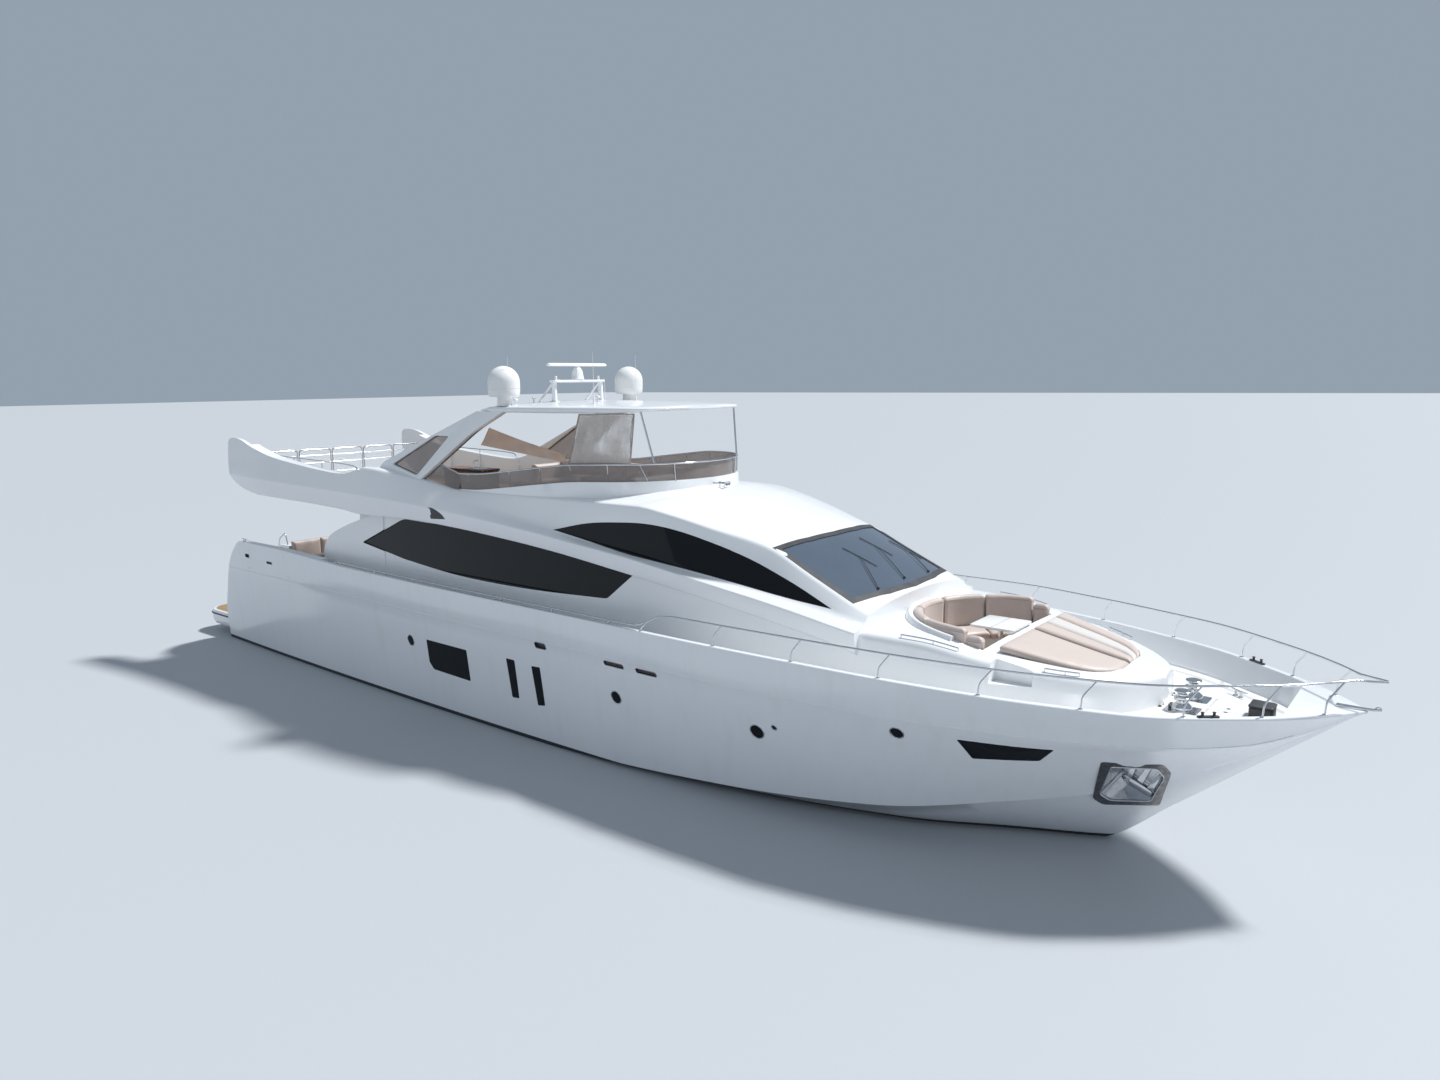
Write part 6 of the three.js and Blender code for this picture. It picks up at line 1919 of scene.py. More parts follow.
def makeFlyAftRail():
    deck, x = sizes["flyDeck"], -10.18
    parts = []
    for k in range(5):
        y0, y1 = -2.52 + k * 1.008 + 0.03, -2.52 + (k + 1) * 1.008 - 0.03
        corners = [(x, y0, deck + 0.0003), (x, y0, deck + 1.0), (x, y1, deck + 1.0), (x, y1, deck + 0.0003)]
        parts.append(bentTube("frame", corners, 0.017, "steel", 0.09, 12))
        for height, size in ((0.34, 0.008), (0.62, 0.008), (0.83, 0.008)):
            parts.append(tube("frameWire", [(x, y0, deck + height), (x, y1, deck + height)], size, "steel", 8))
        parts += [flange((x, y, deck + 0.004)) for y in (y0, y1)]
    ride(join("flyAftRailDetail", parts), replaced=("fly_aft_rail",))
    for side, word in bothSides:
        rows = [(-9.95, 0.98), (-9.0, 0.94), (-8.0, 0.92), (-7.0, 0.9), (-6.2, 0.88), (-5.6, 0.84)]
        path = [(px, side * 2.5, deck + lift) for px, lift in rows]
        path = [(-9.98, side * 2.5, deck + 0.5)] + path + [(-5.45, side * 2.5, deck + 0.6)]
        sideRail = [bentTube("wingRail", path, 0.015, "steel", 0.12, 10)]
        for px in (-9.98, -8.6, -7.2, -5.45):
            top = deck + (0.5 if px in (-9.98, -5.45) else 0.92)
            sideRail.append(tube("wingPost", [(px, side * 2.5, deck + 0.0003), (px, side * 2.5, top)], 0.013,
                                 "steel", 10))
            sideRail.append(flange((px, side * 2.5, deck + 0.004), 0.03))
        ride(join("wingRail_" + word, sideRail))


makeFlyScreen()
makeFlyAftRail()
print("yacht: flybridge screen and rails")


# Hardtop gear: domes, mast, radar, whips, struts

dome = {"x": -0.51, "y": 1.94, "z": 7.11, "radius": 0.345, "height": 0.72}
mast = {"x": -0.26, "half": 0.72, "bar": 7.52, "scanner": 7.8}


def hardtopZ(x, y):
    _, half, _, edge, crown = readTable(hardtopTable, x)
    share = min(1.0, abs(y) / half)
    return crown - (crown - edge) * share ** 2


def makeDome(side, word):
    radius, height = dome["radius"], dome["height"]
    foot = hardtopZ(dome["x"], dome["y"]) - dome["z"] + 0.002
    profile = [(0.0, foot), (0.19, foot), (0.19, foot + 0.012), (0.155, foot + 0.02), (0.15, 0.052),
               (0.16, 0.058), (radius - 0.05, 0.062), (radius - 0.03, 0.07), (radius - 0.018, 0.088),
               (radius - 0.008, 0.14), (radius - 0.002, 0.2), (radius - 0.002, 0.222), (radius - 0.007, 0.226),
               (radius - 0.007, 0.232), (radius - 0.001, 0.236), (radius, 0.3)]
    for angle in steps(0, 90, 18):
        a = math.radians(angle)
        profile.append((max(radius * math.cos(a), 0.0), height - radius + radius * math.sin(a)))
    cap = turned("satDome_" + word, profile, (dome["x"], side * dome["y"], dome["z"]), "radome", 56)
    shade(cap, 32)
    ride(cap, replaced=("satdome_" + word,))


def makeMast():
    x, half, bar = mast["x"], mast["half"], mast["bar"]
    parts = []
    for side in (1, -1):
        low, high = sorted((side * (half - 0.035), side * (half + 0.035)))
        base = hardtopZ(x, half) + 0.001
        leg = loft("mastLeg", [[(x - r, low, z), (x + r, low, z), (x + r, high, z), (x - r, high, z)] for z,
                               r in
                               ((base, 0.075), (base + 0.05, 0.06), (bar - 0.03, 0.055))])
        parts.append(soften(leg, 0.014, 3, 50))
        parts.append(tube("mastStay", [(x - 0.52, side * half, hardtopZ(x - 0.52, half)),
                                       (x - 0.03, side * half, bar - 0.05)],
                          0.024, "gelcoat", 14))
        parts.append(prismZ("mastFoot",
                            roundedOutline([(x - 0.11, low - 0.03), (x + 0.11, low - 0.03),
                                            (x + 0.11, high + 0.03),
                                                        (x - 0.11, high + 0.03)], 0.02), base - 0.004,
                                                        base + 0.014))
    wing = loft("mastBar", [[(x - d * 0.9, y, z0), (x - d, y, (z0 + bar) / 2), (x - d * 0.85, y, bar - 0.003),
                             (x - d * 0.4, y, bar), (x + d * 0.4, y, bar), (x + d * 0.85, y, bar - 0.003),
                             (x + d, y, (z0 + bar) / 2), (x + d * 0.9, y, z0)] for y, d, z0 in
                            ((-0.78, 0.09, bar - 0.04), (-0.74, 0.125, bar - 0.055), (-0.6, 0.13, bar - 0.06),
                             (0.6, 0.13, bar - 0.06), (0.74, 0.125, bar - 0.055), (0.78, 0.09, bar - 0.04))])
    parts.append(wing)
    frameWork = join("mastDetail", parts)
    shade(frameWork, 35)
    ride(frameWork, replaced=("mast_frame",))
    light = [turned("mastLight", [(0.0, 0.0), (0.03, 0.0), (0.03, 0.02), (0.026, 0.024), (0.026, 0.07),
                                  (0.03, 0.074), (0.022, 0.086), (0.0, 0.09)], (x, side * 0.66, bar + 0.0003),
                                  "lamp", 20) for side in (1, -1)]
    ride(join("mastLights", light))


def makeRadar():
    x, bar, scannerZ = mast["x"], mast["bar"], mast["scanner"]
    tall = scannerZ - bar - 0.0056
    body = loft("radarPedestal", [[(x + fx * r, fy * w, bar + 0.0003 + z) for fx, fy in
                                   ((-1, -0.5), (-0.8, -0.85), (-0.4, -1), (0.4, -1), (0.8, -0.85), (1, -0.5),
                                    (1, 0.5), (0.8, 0.85), (0.4, 1), (-0.4, 1), (-0.8, 0.85), (-1, 0.5))]
                                  for z, r, w in ((0.0, 0.128, 0.128), (0.03, 0.13, 0.13), (0.04, 0.122, 0.122),
                                                  (0.12, 0.112, 0.11), (0.2, 0.1, 0.098), (0.235, 0.08, 0.08),
                                                  (tall - 0.012, 0.068, 0.068), (tall, 0.06, 0.06))])
    shade(body, 32)
    ride(body, replaced=("radar_pedestal",))
    rings = []
    for y, share in ((-0.9, 0.5), (-0.895, 0.66), (-0.88, 0.8), (-0.85, 0.93), (-0.8, 1.0), (0.8, 1.0),
                     (0.85, 0.93), (0.88, 0.8), (0.895, 0.66), (0.9, 0.5)):
        section = [(-0.07, 0.028), (-0.067, 0.045), (-0.05, 0.086), (-0.038, 0.094), (0.038, 0.094),
                   (0.055, 0.082), (0.069, 0.058), (0.07, 0.032), (0.064, 0.025), (-0.064, 0.025)]
        rings.append([(x + px * share, y, scannerZ + 0.055 + (pz - 0.055) * share) for px, pz in section])
    scanner = loft("radarBar", rings, "radome")
    hub = turned("radarHub", [(0.0, -0.0046), (0.058, -0.0046), (0.06, -0.002), (0.06, 0.024), (0.075, 0.03),
                              (0.075, 0.04), (0.0, 0.04)],
                 (x, 0, scannerZ), "radome", 32)
    whole = join("radarScanner", [scanner, hub])
    shade(whole, 35)
    ride(whole, "radar", replaced=("radar_scanner",))


def makeWhips():
    # thin aerials, clear of the radar's sweep
    whips = []
    for x, y, top, size in ((-0.28, -2.0, 8.02, 0.006), (1.49, -1.2, 8.1, 0.006), (-0.7, 1.3, 7.55, 0.008),
                            (-0.09, 1.75, 8.08, 0.006)):
        z = hardtopZ(x, y)
        whips.append(turned("whipBase", [(0.0, -0.004), (0.032, -0.004), (0.032, 0.008), (0.018, 0.02),
                                         (0.014, 0.12), (0.008, 0.13), (0.0, 0.13)], (x, y, z), "radome", 16))
        whips.append(tube("whip", [(x, y, z + 0.12), (x, y, top)], [size, size * 0.5], "radome", 8))
    for x, y, size in ((-0.85, -1.35, 0.055), (-0.62, -1.02, 0.042), (1.0, -0.6, 0.05)):
        z = hardtopZ(x, y)
        whips.append(turned("mushroom", [(0.0, -0.003), (0.016, -0.003), (0.016, 0.075), (size, 0.08),
                                         (size, 0.095), (size * 0.8, 0.118), (size * 0.4, 0.13), (0.0, 0.133)],
                                         (x, y, z), "radome", 24))
    ride(join("aerials", whips))


def makeStruts():
    parts = []
    for side in (1, -1):
        head, foot = (3.1, side * 1.5, 6.885), (3.3, side * 1.34, 5.845)
        parts.append(tube("strut", [head, foot], 0.019, "steel", 14))
        parts.append(flange(head, 0.045, (0, 0, -1)))
        parts.append(ball("strutFoot", foot, 0.028, "steel"))
    ride(join("hardtopStruts", parts))


def makeLamps():
    # downlights in the ceiling of the hardtop and under the aft overhang
    parts = []
    for x in (-0.6, 0.8, 2.2):
        for y in (-1.1, 1.1):
            z = readTable(hardtopTable, x)[2] + 0.0215
            parts.append(turned("downlight", [(0.0, -0.012), (0.04, -0.012), (0.055, -0.006), (0.055, 0.0),
                                              (0.0, 0.0)], (x, y, z),
                                "lamp", 20))
    for x in (-9.6, -7.6):
        for y in (-1.4, 0.0, 1.4):
            z = 4.48 + 0.06 - abs(y) / 2.5 * 0.03
            parts.append(turned("downlight", [(0.0, -0.016), (0.04, -0.016), (0.055, -0.008), (0.055, 0.01),
                                              (0.0, 0.01)],
                                (x, y, z), "lamp", 20))
    ride(join("downlights", parts))


for side, word in bothSides:
    makeDome(side, word)
makeMast()
makeRadar()
makeWhips()
makeStruts()
makeLamps()
print("yacht: hardtop gear")


# Enclosure of the flybridge: a clear panel and a canvas panel hang from the hardtop

def hangingPanel(name, corners, finish, wave, rows, columns, sag=0.0):
    # corners go aft top, fore top, fore bottom, aft bottom; folds run down the cloth
    topAft, topFore, lowFore, lowAft = (Vector(c) for c in corners)
    points, faces = [], []
    for i in range(rows + 1):
        v = i / rows
        for j in range(columns + 1):
            u = j / columns
            top = topAft.lerp(topFore, u)
            low = lowAft.lerp(lowFore, u)
            p = top.lerp(low, v)
            ripple = math.sin(u * 17.0 + v * 2.3) + 0.6 * math.sin(u * 31.0 - v * 3.1)
            fold = wave * math.sin(v * math.pi) ** 0.7 * ripple
            drop = sag * math.sin(u * math.pi) * (1 - v)
            points.append((p.x + 0.25 * fold, p.y + fold, p.z - drop))
    for i in range(rows):
        for j in range(columns):
            a = i * (columns + 1) + j
            faces.append((a, a + 1, a + columns + 2, a + columns + 1))
    panel = newMesh(name, points, faces, finish)
    thick = panel.modifiers.new("cloth", "SOLIDIFY")
    thick.thickness = 0.002
    thick.offset = 0.0
    applyModifiers(panel)
    panel.data.shade_smooth()
    return panel


def makeEnclosure():
    clear = hangingPanel("clearCurtain", [(1.78, -1.9, 6.835), (3.02, -1.6, 6.85), (3.0, -1.72, 5.85),
                                          (1.74, -2.2, 5.845)],
                         "vinylWindow", 0.018, 26, 44)
    ride(clear)
    hems = [tube("hem", smoothPath(row, 4), 0.014, "pipe", 8) for row in
            ([(1.775, -1.905, 6.83), (1.76, -2.05, 6.35), (1.74, -2.2, 5.85)],
             [(1.74, -2.2, 5.85), (2.4, -2.0, 5.845), (3.0, -1.72, 5.855)],
             [(3.0, -1.72, 5.86), (3.01, -1.66, 6.35), (3.02, -1.6, 6.845)])]
    ride(join("curtainHems", hems))
    canvas = hangingPanel("sideCanvas", [(-1.0, -2.0, 6.5), (1.7, -2.2, 6.02), (1.7, -2.25, 5.87),
                                         (-1.12, -2.16, 6.12)],
                          "tan", 0.02, 20, 56, 0.03)
    ride(canvas)


def makeQuarterPanes(side, word):
    # tinted pane from the screen's end to the arch, a pane in the arch, and their dark seals
    rise = coaming["screenHeight"]
    low = smoothPath([(-3.04, 0, 5.19), (-2.5, 0, 5.1), (-1.92, 0, 5.08), (-1.565, 0, 5.12)], 4)
    outline = flat2(low) + [(-1.565, coamingZ(-1.6) + rise), (-2.4, 5.64), (-2.9, 5.3)]
    pane = leanedIn(prismY("quarterPane", outline, 2.44, 2.452, "acrylic"), side)
    hole = cornered([(-4.13, 5.58), (-2.66, 6.29), (-2.13, 6.29), (-3.08, 5.37)],
                    {0: 0.08, 1: 0.1, 2: 0.05, 3: 0.1}, 4)
    window = leanedIn(prismY("archPane", hole, 2.474, 2.486, "acrylic"), side)
    ride(join("quarterPanes_" + word, [pane, window]))
    seals = [tube("archSeal", leanedPath(hole, 2.48, side), 0.016, "rubber", 8, True)]
    edge = [(-0.62, 6.83), (-1.33, 6.375), (-2.2, 5.765), (-2.98, 5.225)]
    seals.append(tube("edgeSeal", leanedPath(edge, 2.446, side), 0.014, "rubber", 8))
    ride(join("quarterSeals_" + word, seals))
    middle = coaming["screenInset"] + coaming["screenThickness"] / 2
    start = (-1.6, side * (coamingY(-1.6) - middle), coamingZ(-1.6) + rise + 0.012)
    last = leanedPath([(-2.4, 5.655)], 2.446, side)[0]
    ride(tube("quarterRail_" + word, [start, last], 0.016, "steel", 12))


for side, word in bothSides:
    makeQuarterPanes(side, word)
makeEnclosure()


# Stern: swim platform and garage door

def platformPlan(inset=0.0):
    aft, half, corner = platform["aft"] + inset, platform["halfWidth"] - inset, platform["corner"]
    front = sizes["transom"] - 0.0003 - inset
    turnOut = [(aft + corner - corner * math.cos(a), half - corner + corner * math.sin(a)) for a in
               (math.radians(d) for d in steps(90, 0, 10))]
    return [(front, half)] + turnOut + [(x, -y) for x, y in reversed(turnOut)] + [(front, -half)]


def makePlatform():
    low, top = platform["bottom"], platform["top"]
    rows = [(0.16, low), (0.05, low + 0.03), (0.012, low + 0.1), (0.0, low + 0.18), (0.0, top - 0.06),
            (0.006, top - 0.03), (0.022, top - 0.008), (0.045, top)]
    rings = []
    for inset, z in rows:
        front = sizes["transom"] - 0.0003
        rings.append([(front if k in (0, len(platformPlan()) - 1) else x, y, z) for k, (x, y) in
                      enumerate(platformPlan(inset))])
    body = loft("swimPlatformBody", rings)
    shade(body, 35)
    ride(body, replaced=("swim_platform",))
    teak = prismZ("platformTeak", platformPlan(0.085), top - 0.002, top + 0.004, "teak")
    shade(teak, 30)
    ride(teak)
    front = platformPlan(-0.004)
    rubber = [(x, y, top - 0.11) for x, y in front]
    ride(tube("platformRubRail", rubber, 0.022, "moulding", 10))
    for side, word in bothSides:
        makeCleat("platformCleat_" + word, (-13.25, side * 2.3, top + 0.0045), 90, 0.9)
        makeCleat("quarterCleat_" + word, (-11.05, side * 2.826, 3.112), 2, 0.9)
        hand = [(transomAt(1.8) - 0.01, side * 1.3, 1.8), (transomAt(1.95) - 0.1, side * 1.3, 1.98),
                (transomAt(2.7) - 0.09, side * 1.3, 2.9), (-11.7, side * 1.3, 3.1), (-11.6, side * 1.3, 2.742)]
        ride(bentTube("sternHandrail_" + word, hand, 0.017, "steel", 0.08, 12))


def onTransom(y, z, out=0.0, side=1):
    return (transomAt(z) - 0.9265 * out, y, z + 0.3763 * out)


def makeGarageDoor():
    low, high = garage["low"] - garage["rim"] + garage["gap"], garage["high"] + garage["rim"] - garage["gap"]
    half = garage["halfWidth"] + garage["rim"] - garage["gap"]
    panel = prismY("garagePanel", [(transomAt(low), low), (transomAt(low) + garage["door"], low),
                                   (transomAt(high) + garage["door"], high), (transomAt(high), high)], -half,
                                   half)
    soften(panel, 0.01, 3, 50)
    inset = skin("panelField",
                 roundedOutline([(0.1 - half, low + 0.1), (half - 0.1, low + 0.1), (half - 0.1, high - 0.1),
                                               (0.1 - half, high - 0.1)], 0.06), -0.02, 0.006, "gelcoat", 1,
                                               onTransom,
                 shrink=(1.0, 0.992, 0.8, 0.4))
    shade(inset, 35)
    door = join("garageDoorDetail", [panel, inset])
    ride(door, "garage", replaced=("garage_door",))
    hinge = garage["high"] + garage["rim"]
    parts = [tube("hinge", [(transomAt(hinge) - 0.004, share * garage["halfWidth"] - 0.128, hinge),
                            (transomAt(hinge) - 0.004, share * garage["halfWidth"] + 0.128, hinge)], 0.0136,
                            "steel", 14)
             for share in (-0.7, 0, 0.7)]
    parts.append(skin("latch", stadium(0.0, low + 0.17, 0.11, 0.03), 0.004, 0.011, "steel", 1, onTransom))
    parts.append(skin("latchPit", stadium(0.0, low + 0.17, 0.075, 0.016), 0.006, 0.0118, "moulding", 1,
                      onTransom))
    ride(join("garageFittings", parts), "garage")


makePlatform()
makeGarageDoor()
print("yacht: stern")


# Furniture of the flybridge and cockpit

def faceMap(low, high, across, up, out, flip=False):
    # u runs along one axis, v along another, and w grows out of the third
    def at(u, v, w):
        share = {across: u, up: v, out: 1 - w if flip else w}
        return tuple(low[k] + (high[k] - low[k]) * share[k] for k in range(3))
    return at


def seatRow(name, low, high, count, axis, finish="beige", gap=0.006, **look):
    # a row of seat cushions along one axis
    for k in range(count):
        a, b = list(low), list(high)
        step = (high[axis] - low[axis]) / count
        a[axis], b[axis] = low[axis] + step * k + gap / 2, low[axis] + step * (k + 1) - gap / 2
        pad = cushion("%s_%d" % (name, k), faceMap(a, b, 0, 1, 2), finish, rollU=0.09, rollV=0.09, crown=0.12,
                      **look)
        ride(swell(pad))


def backRow(name, low, high, count, axis, flip, finish="beige", gap=0.006, body="yacht"):
    out = 1 - axis
    for k in range(count):
        a, b = list(low), list(high)
        step = (high[axis] - low[axis]) / count
        a[axis], b[axis] = low[axis] + step * k + gap / 2, low[axis] + step * (k + 1) - gap / 2
        pad = cushion("%s_%d" % (name, k), faceMap(a, b, axis, 2, out, flip), finish, rollU=0.09, rollV=0.12,
                      crown=0.12)
        ride(swell(pad), body)


def makeBench(name, node, x0, x1, half0, half1, floor, count):
    base = block(name + "Base", (x0, half0, floor + 0.0005), (x1 - 0.03, half1, floor + 0.31))
    kick = block("kick", (x1 - 0.09, half0 - 0.1, floor - 0.1), (x1 + 0.1, half1 + 0.1, floor + 0.07))
    carve(base, [kick])
    soften(base, 0.018, 3, 50)
    ride(base, replaced=(node,))
    seatRow(name + "Seat", (x0 + 0.155, half0, floor + 0.312), (x1, half1, floor + 0.435), count, 1)
    backRow(name + "Back", (x0 + 0.008, half0, floor + 0.315), (x0 + 0.152, half1, floor + 0.89), count, 1,
            False)


def sofaOuter(x):
    return 2.14 if x <= 0.3 else 2.14 - 0.1 * (x - 0.3) / 0.9


def makeFlySofa():
    deck = sizes["flyDeck"]
    plan = [(-2.595, 2.305), (0.3, 2.305), (1.195, 2.185), (1.195, 1.6), (-1.86, 1.6), (-1.86, 0.505),
            (-2.595, 0.505)]
    base = soften(prismZ("flySofaBase", plan, deck + 0.0005, deck + 0.3), 0.015, 3, 50)
    ride(base, replaced=("fly_sofa",))
    for k, (x0, x1) in enumerate(((-1.9, -0.87), (-0.865, 0.165), (0.17, 1.195))):
        def seatAt(u, v, w, x0=x0, x1=x1):
            x = x0 + (x1 - x0) * u
            return (x, 1.565 + (sofaOuter(x) - 1.57) * v, deck + 0.302 + 0.12 * w)

        def backAt(u, v, w, x0=x0, x1=x1):
            x = x0 + (x1 - x0) * u
            return (x, sofaOuter(x) + 0.155 - 0.15 * w, deck + 0.31 + 0.505 * v)
        ride(swell(cushion("flySofaSeat_%d" % k, seatAt, "beige", rollU=0.08, rollV=0.12, crown=0.12)))
        ride(swell(cushion("flySofaBack_%d" % k, backAt, "beige", rollU=0.08, rollV=0.12, crown=0.1)))
    seatRow("flySofaSide", (-2.425, 0.505, deck + 0.302), (-1.91, 1.558, deck + 0.422), 1, 1)
    seatRow("flySofaCorner", (-2.425, 1.565, deck + 0.302), (-1.91, 2.132, deck + 0.422), 1, 1)
    backRow("flySofaSideBack", (-2.595, 0.505, deck + 0.31), (-2.435, 2.29, deck + 0.815), 2, 1, False)
    cornerPad = cushion("flySofaCornerBack", faceMap((-2.43, 2.145, deck + 0.31), (-1.905, 2.3, deck + 0.815),
                                                     0, 2, 1, True),
                        "beige", rollU=0.1, rollV=0.12, crown=0.1)
    ride(swell(cornerPad))


def makeTable(name, node, x, y, halfX, halfY, floor, height, radius=0.12):
    ring = roundedOutline([(x - halfX, y - halfY), (x + halfX, y - halfY), (x + halfX, y + halfY),
                           (x - halfX, y + halfY)],
                          radius, 6)
    top = soften(prismZ(name + "Top", ring, floor + height - 0.04, floor + height, "varnish"), 0.009, 3, 50)
    ride(top, replaced=(node,))
    leg = turned(name + "Leg", [(0.0, 0.0005), (0.19, 0.0005), (0.19, 0.01), (0.17, 0.018), (0.07, 0.04),
                                (0.045, 0.07), (0.045, height - 0.1), (0.07, height - 0.06),
                                (0.14, height - 0.0405), (0.0, height - 0.0405)],
                 (x, y, floor), "steel", 32)
    ride(leg)


def makeFlyBar():
    deck = sizes["flyDeck"]
    body = soften(block("flyBarBody", (-2.48, -2.18, deck + 0.0005), (-1.12, -1.68, deck + 0.9), "varnish"),
                  0.02, 3, 50)
    ride(body, replaced=("fly_bar",))
    top = prismZ("flyBarTop", roundedOutline([(-2.5, -2.2), (-1.1, -2.2), (-1.1, -1.65), (-2.5, -1.65)], 0.05),
                 deck + 0.902, deck + 0.948, "varnish")
    ride(soften(top, 0.01, 3, 50))
    parts = []
    for k in range(3):
        x0 = -2.44 + k * 0.43
        door = soften(block("barDoor", (x0, -1.681, deck + 0.08), (x0 + 0.415, -1.662, deck + 0.85), "varnish"),
                      0.006, 2, 50)
        parts.append(door)
    ride(join("flyBarDoors", parts))
    pulls = [tube("pull", [(-2.1 + k * 0.43, -1.655, deck + 0.6), (-2.1 + k * 0.43, -1.655, deck + 0.72)],
                  0.006, "steel", 8)
             for k in range(3)]
    basin = turned("barSink", [(0.0, 0.0), (0.15, 0.0), (0.17, 0.003), (0.17, 0.006), (0.15, 0.007),
                               (0.13, 0.002), (0.0, 0.001)],
                   (-1.45, -1.93, deck + 0.9485), "steel", 32)
    tap = bentTube("barTap", [(-1.45, -2.12, deck + 0.948), (-1.45, -2.12, deck + 1.14),
                              (-1.45, -2.0, deck + 1.14), (-1.45, -2.0, deck + 1.1)], 0.01, "steel", 0.05, 10)
    ride(join("flyBarFittings", pulls + [basin, tap]))


helmSet = {"x": 2.31, "y": -0.95, "z": 5.38, "lean": -62.0, "rim": 0.19}


def helmTurn(x, y, z):
    lean = math.radians(helmSet["lean"])
    return (helmSet["x"] + x * math.cos(lean) + z * math.sin(lean), helmSet["y"] + y,
            helmSet["z"] - x * math.sin(lean) + z * math.cos(lean))


def makeHelm():
    deck = sizes["flyDeck"]
    side = [(2.36, deck + 0.0005), (2.385, 5.1), (2.41, 5.25), (2.505, 5.475), (2.6, 5.52), (2.76, 5.555),
            (2.93, 5.555), (2.975, 5.53), (2.98, 5.45), (2.98, deck + 0.0005)]
    console = soften(prismY("helmConsoleBody", side, -1.55, -0.35), 0.03, 4, 50)
    ride(console, replaced=("helm_console",))

    def onDash(y, t, out=0.0, side=1):
        # t runs up the sloping face
        a, b = Vector((2.41, 5.25)), Vector((2.505, 5.475))
        p = a.lerp(b, t)
        return (p.x - 0.9212 * out, y, p.y + 0.389 * out)
    face = skin("helmDash", roundedOutline([(-1.45, 0.02), (-0.45, 0.02), (-0.45, 0.99), (-1.45, 0.99)], 0.03),
                -0.01, 0.004, "moulding", 1, onDash, shrink=(1.0, 0.99, 0.7, 0.35))
    ride(face)
    screens = [skin("helmScreen",
                    roundedOutline([(y - 0.13, 0.12), (y + 0.13, 0.12), (y + 0.13, 0.88), (y - 0.13, 0.88)],
                                   0.015), 0.001, 0.007, "darkGlass", 1, onDash,
                                   shrink=(1.0, 0.99, 0.7, 0.35)) for y in (-1.27, -0.63)]
    ride(join("helmScreens", screens))
    lean = math.radians(helmSet["lean"])
    ahead = (math.sin(lean), 0, math.cos(lean))
    boss = turned("helmBoss", [(0.0, -0.2), (0.05, -0.2), (0.05, -0.09), (0.036, -0.06), (0.034, -0.0258),
                               (0.0, -0.0258)],
                  (helmSet["x"], helmSet["y"], helmSet["z"]), "steel", 28, ahead)
    ride(boss)
    levers = []
    for y in (-1.5, -1.46):
        levers.append(tube("lever", [(2.6, y, 5.51), (2.585, y, 5.6)], 0.008, "steel", 10))
        levers.append(ball("leverKnob", (2.583, y, 5.61), 0.017, "moulding"))
    levers.append(turned("compass", [(0.0, 0.0), (0.075, 0.0), (0.075, 0.02), (0.055, 0.03), (0.05, 0.05),
                                     (0.035, 0.075), (0.0, 0.088)], (2.82, helmSet["y"], 5.5555), "moulding",
                                     28))
    ride(join("helmControls", levers))
    rim = [helmTurn(helmSet["rim"] * math.cos(a), helmSet["rim"] * math.sin(a), 0) for a in
           (2 * math.pi * k / 60 for k in range(60))]
    parts = [tube("wheelRim", rim, 0.0148, "moulding", 12, True)]
    for degrees in (90, 210, 330):
        a = math.radians(degrees)
        spoke = [helmTurn(r * math.cos(a), r * math.sin(a), 0.012 * (1 - r / 0.19))
                 for r in (0.03, 0.08, 0.13, 0.182)]
        parts.append(tube("wheelSpoke", spoke, [0.013, 0.011, 0.0095, 0.009], "steel", 10))
    parts.append(turned("wheelHub", [(0.0, -0.0248), (0.046, -0.0248), (0.048, -0.015), (0.048, 0.012),
                                     (0.04, 0.022), (0.028, 0.03), (0.0, 0.034)],
                                     (helmSet["x"], helmSet["y"], helmSet["z"]), "moulding", 30, ahead))
    ride(join("helmWheelDetail", parts), "helm", replaced=("helm_wheel",))


makeBench("helmSeat", "helm_seat", 1.35, 1.9, -1.55, -0.35, sizes["flyDeck"], 2)
makeBench("cockpitSofa", "cockpit_sofa", sizes["cockpitAft"] + 0.0003, sizes["cockpitAft"] + 0.55, -1.35, 1.35,
          sizes["sole"], 3)
makeFlySofa()
makeTable("flyTable", "fly_table", -0.7, 0.9, 0.62, 0.42, sizes["flyDeck"], 0.7)
makeTable("cockpitTable", "cockpit_table", -9.3, 0.0, 0.52, 0.9, sizes["sole"], 0.72)
makeFlyBar()
makeHelm()
print("yacht: furniture")


# Saloon front, bow fittings on the roof and small trim

doorway = {"half": 0.85, "low": 2.03, "high": 4.08}


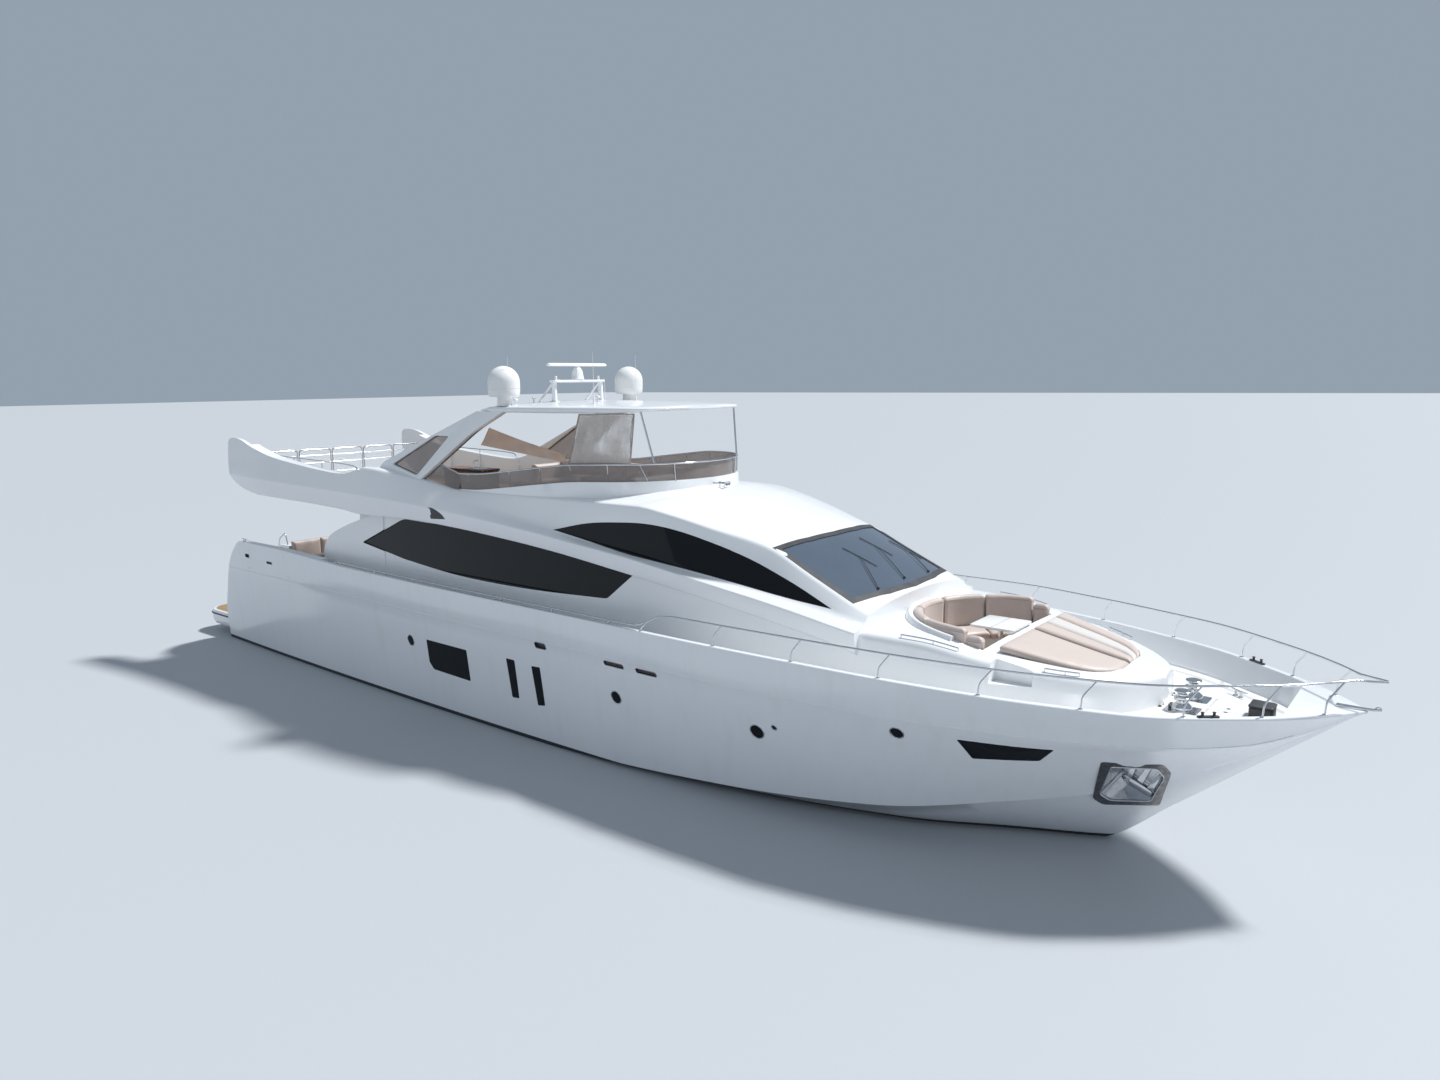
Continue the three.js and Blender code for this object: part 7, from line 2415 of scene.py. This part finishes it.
def makeSaloonDoors():
    x0, x1 = sizes["bulkhead"] + 0.136, sizes["bulkhead"] + 0.166
    low, high = sizes["sole"] + 0.0005, doorway["high"] + 0.0447
    leaf = block("saloonLeafFrame", (x0, -0.02, low), (x1, 0.88, high), "steel")
    carve(leaf, [block("leafHole", (x0 - 0.1, 0.035, low + 0.06), (x1 + 0.1, 0.825, high - 0.05), "steel")])
    soften(leaf, 0.003, 2, 50)
    ride(leaf, "saloon_leaf", replaced=("saloon_door",))
    pane = block("saloonLeafGlass", (x0 + 0.01, 0.036, low + 0.061), (x1 - 0.01, 0.824, high - 0.051),
                 "darkGlass")
    ride(pane, "saloon_leaf")
    pull = block("saloonLeafPull", (x0 - 0.003, -0.008, 2.92), (x0 + 0.001, 0.026, 3.28), "darkSteel")
    ride(soften(pull, 0.0015, 2, 50), "saloon_leaf")
    fixed = block("saloonFixedFrame", (sizes["bulkhead"] + 0.08, -0.8497, 2.0303),
                  (sizes["bulkhead"] + 0.104, 0.0, 4.0797), "steel")
    carve(fixed, [block("fixedHole", (-5.2, -0.8, 2.09), (-4.7, -0.05, 4.03), "steel")])
    soften(fixed, 0.003, 2, 50)
    ride(fixed, replaced=("saloon_pane",))
    glass = block("saloonFixedGlass", (sizes["bulkhead"] + 0.087, -0.799, 2.091),
                  (sizes["bulkhead"] + 0.097, -0.051, 4.029), "darkGlass")
    ride(glass)


def makeHorn():
    parts = []
    for y, length in ((-0.07, 0.36), (0.07, 0.27)):
        z = roofZ(3.95, y) + 0.07
        profile = [(0.0, 0.0), (0.022, 0.0), (0.024, 0.03), (0.014, 0.05), (0.014, length * 0.55),
                   (0.02, length * 0.8), (0.036, length * 0.95), (0.05, length), (0.046, length),
                   (0.0, length * 0.9)]
        parts.append(turned("horn", profile, (3.95 - length / 2, y, z), "steel", 24, (1, 0, 0.02)))
        parts.append(tube("hornLeg", [(3.95, y, z - 0.01), (3.95, y, z - 0.09)], 0.01, "steel", 8))
    ride(join("horns", parts))


def onRoof(x, y, out=0.0, side=1):
    along = (roofZ(x + 0.04, y) - roofZ(x - 0.04, y)) / 0.08
    across = (roofZ(x, y + 0.04) - roofZ(x, y - 0.04)) / 0.08
    square = Vector((-along, -across, 1.0)).normalized() * out
    return (x + square.x, y + square.y, roofZ(x, y) + square.z)


def makeWindscreenBorder():
    # a dark painted band on the glass edge and the frame round it
    fine = []
    for a, b in zip(windscreenOutline, windscreenOutline[1:] + windscreenOutline[:1]):
        fine += [(a[0] + (b[0] - a[0]) * t, a[1] + (b[1] - a[1]) * t) for t in steps(0, 1, 6)[:-1]]
    outer, inner = insetRing(fine, -0.085), insetRing(fine, 0.03)
    rings = [[onRoof(*inner[k], 0.0008), onRoof(*inner[k], 0.0035), onRoof(*outer[k], 0.0035),
              onRoof(*outer[k], -0.004)]
             for k in range(len(fine))]
    band = loft("windscreenBorder", rings, "moulding", True)
    shade(band, 30)
    ride(band)


def makeWipers():
    parts = []
    for y, headX, headY in ((-0.95, 7.45, -0.35), (0.0, 7.3, 0.5), (0.95, 7.45, 1.4)):
        x = 8.19
        foot = (x, y, roofZ(x, y) + 0.012)
        parts.append(turned("wiperPivot", [(0.0, -0.01), (0.024, -0.01), (0.024, 0.012), (0.016, 0.02),
                                           (0.0, 0.02)], foot, "moulding", 16,
                            (0.3, 0, 1)))
        arm = [(x + (headX - x) * t, y + (headY - y) * t,
                roofZ(x + (headX - x) * t, y + (headY - y) * t) + 0.014 + 0.05 * t * (1 - t))
               for t in steps(0, 1, 8)]
        parts.append(tube("wiperArm", arm, [0.009 - 0.004 * k / 8 for k in range(9)], "moulding", 8))
        blade = [(headX + dx, headY + dx * 0.25,
                  roofZ(headX + dx, headY + dx * 0.25) + 0.004) for dx in steps(-0.32, 0.32, 8)]
        parts.append(tube("wiperBlade", blade, 0.0075, "rubber", 6))
    ride(join("wipers", parts))


def makeHouseTrim():
    for side, word in bothSides:
        vent = skin("wingVent_" + word,
                    smooth2([(-1.66, 4.5), (-1.74, 4.6), (-1.9, 4.69), (-2.06, 4.73), (-2.19, 4.735)], 3)
                    + [(-2.19, 4.47)], -0.01, 0.003, "moulding", side, onHouse)
        ride(vent)
        lights = []
        for x in (-10.9, -8.6):
            lights.append(skin("courtesyLight", circle(x, 2.36, 0.035, 16), -0.004, 0.006, "lamp", side))
        ride(join("courtesyLights_" + word, lights))


def makeWindowBacking():
    # closes the inside of the side plates behind the aft tips of the saloon windows
    for side, word in bothSides:
        back = skin("windowBacking_" + word, [(-5.8, 3.3), (-5.02, 3.3), (-5.02, 4.24), (-5.8, 4.24)], -0.1,
                    -0.088, "gelcoat", side, onHouse, shrink=(1.0, 0.7, 0.4))
        ride(back)


makeSaloonDoors()
makeWindowBacking()
makeHorn()
makeWindscreenBorder()
makeWipers()
makeHouseTrim()
makeDeckHatch("foredeckHatch", 12.5, 0.0, 2.9605, 0.2, -0.09)
print("yacht: doors and trim")


# CAD parts that keep their own shape get finished materials

keptFinishes = {
    "saloon_bulkhead": "gelcoat", "wheelhouse_dash": "moulding", "strut_port": "bronze", "strut_stbd": "bronze",
    "propeller_port": "bronze", "propeller_stbd": "bronze", "shaft_port": "steel", "shaft_stbd": "steel",
    "rudder_port": "bronze", "rudder_stbd": "bronze",
}


def finishKeptParts():
    for key, finish in keptFinishes.items():
        part = cadNodes[key]
        for slot in part.material_slots:
            slot.material = finishes[finish]


finishKeptParts()
print("yacht: kept parts finished")
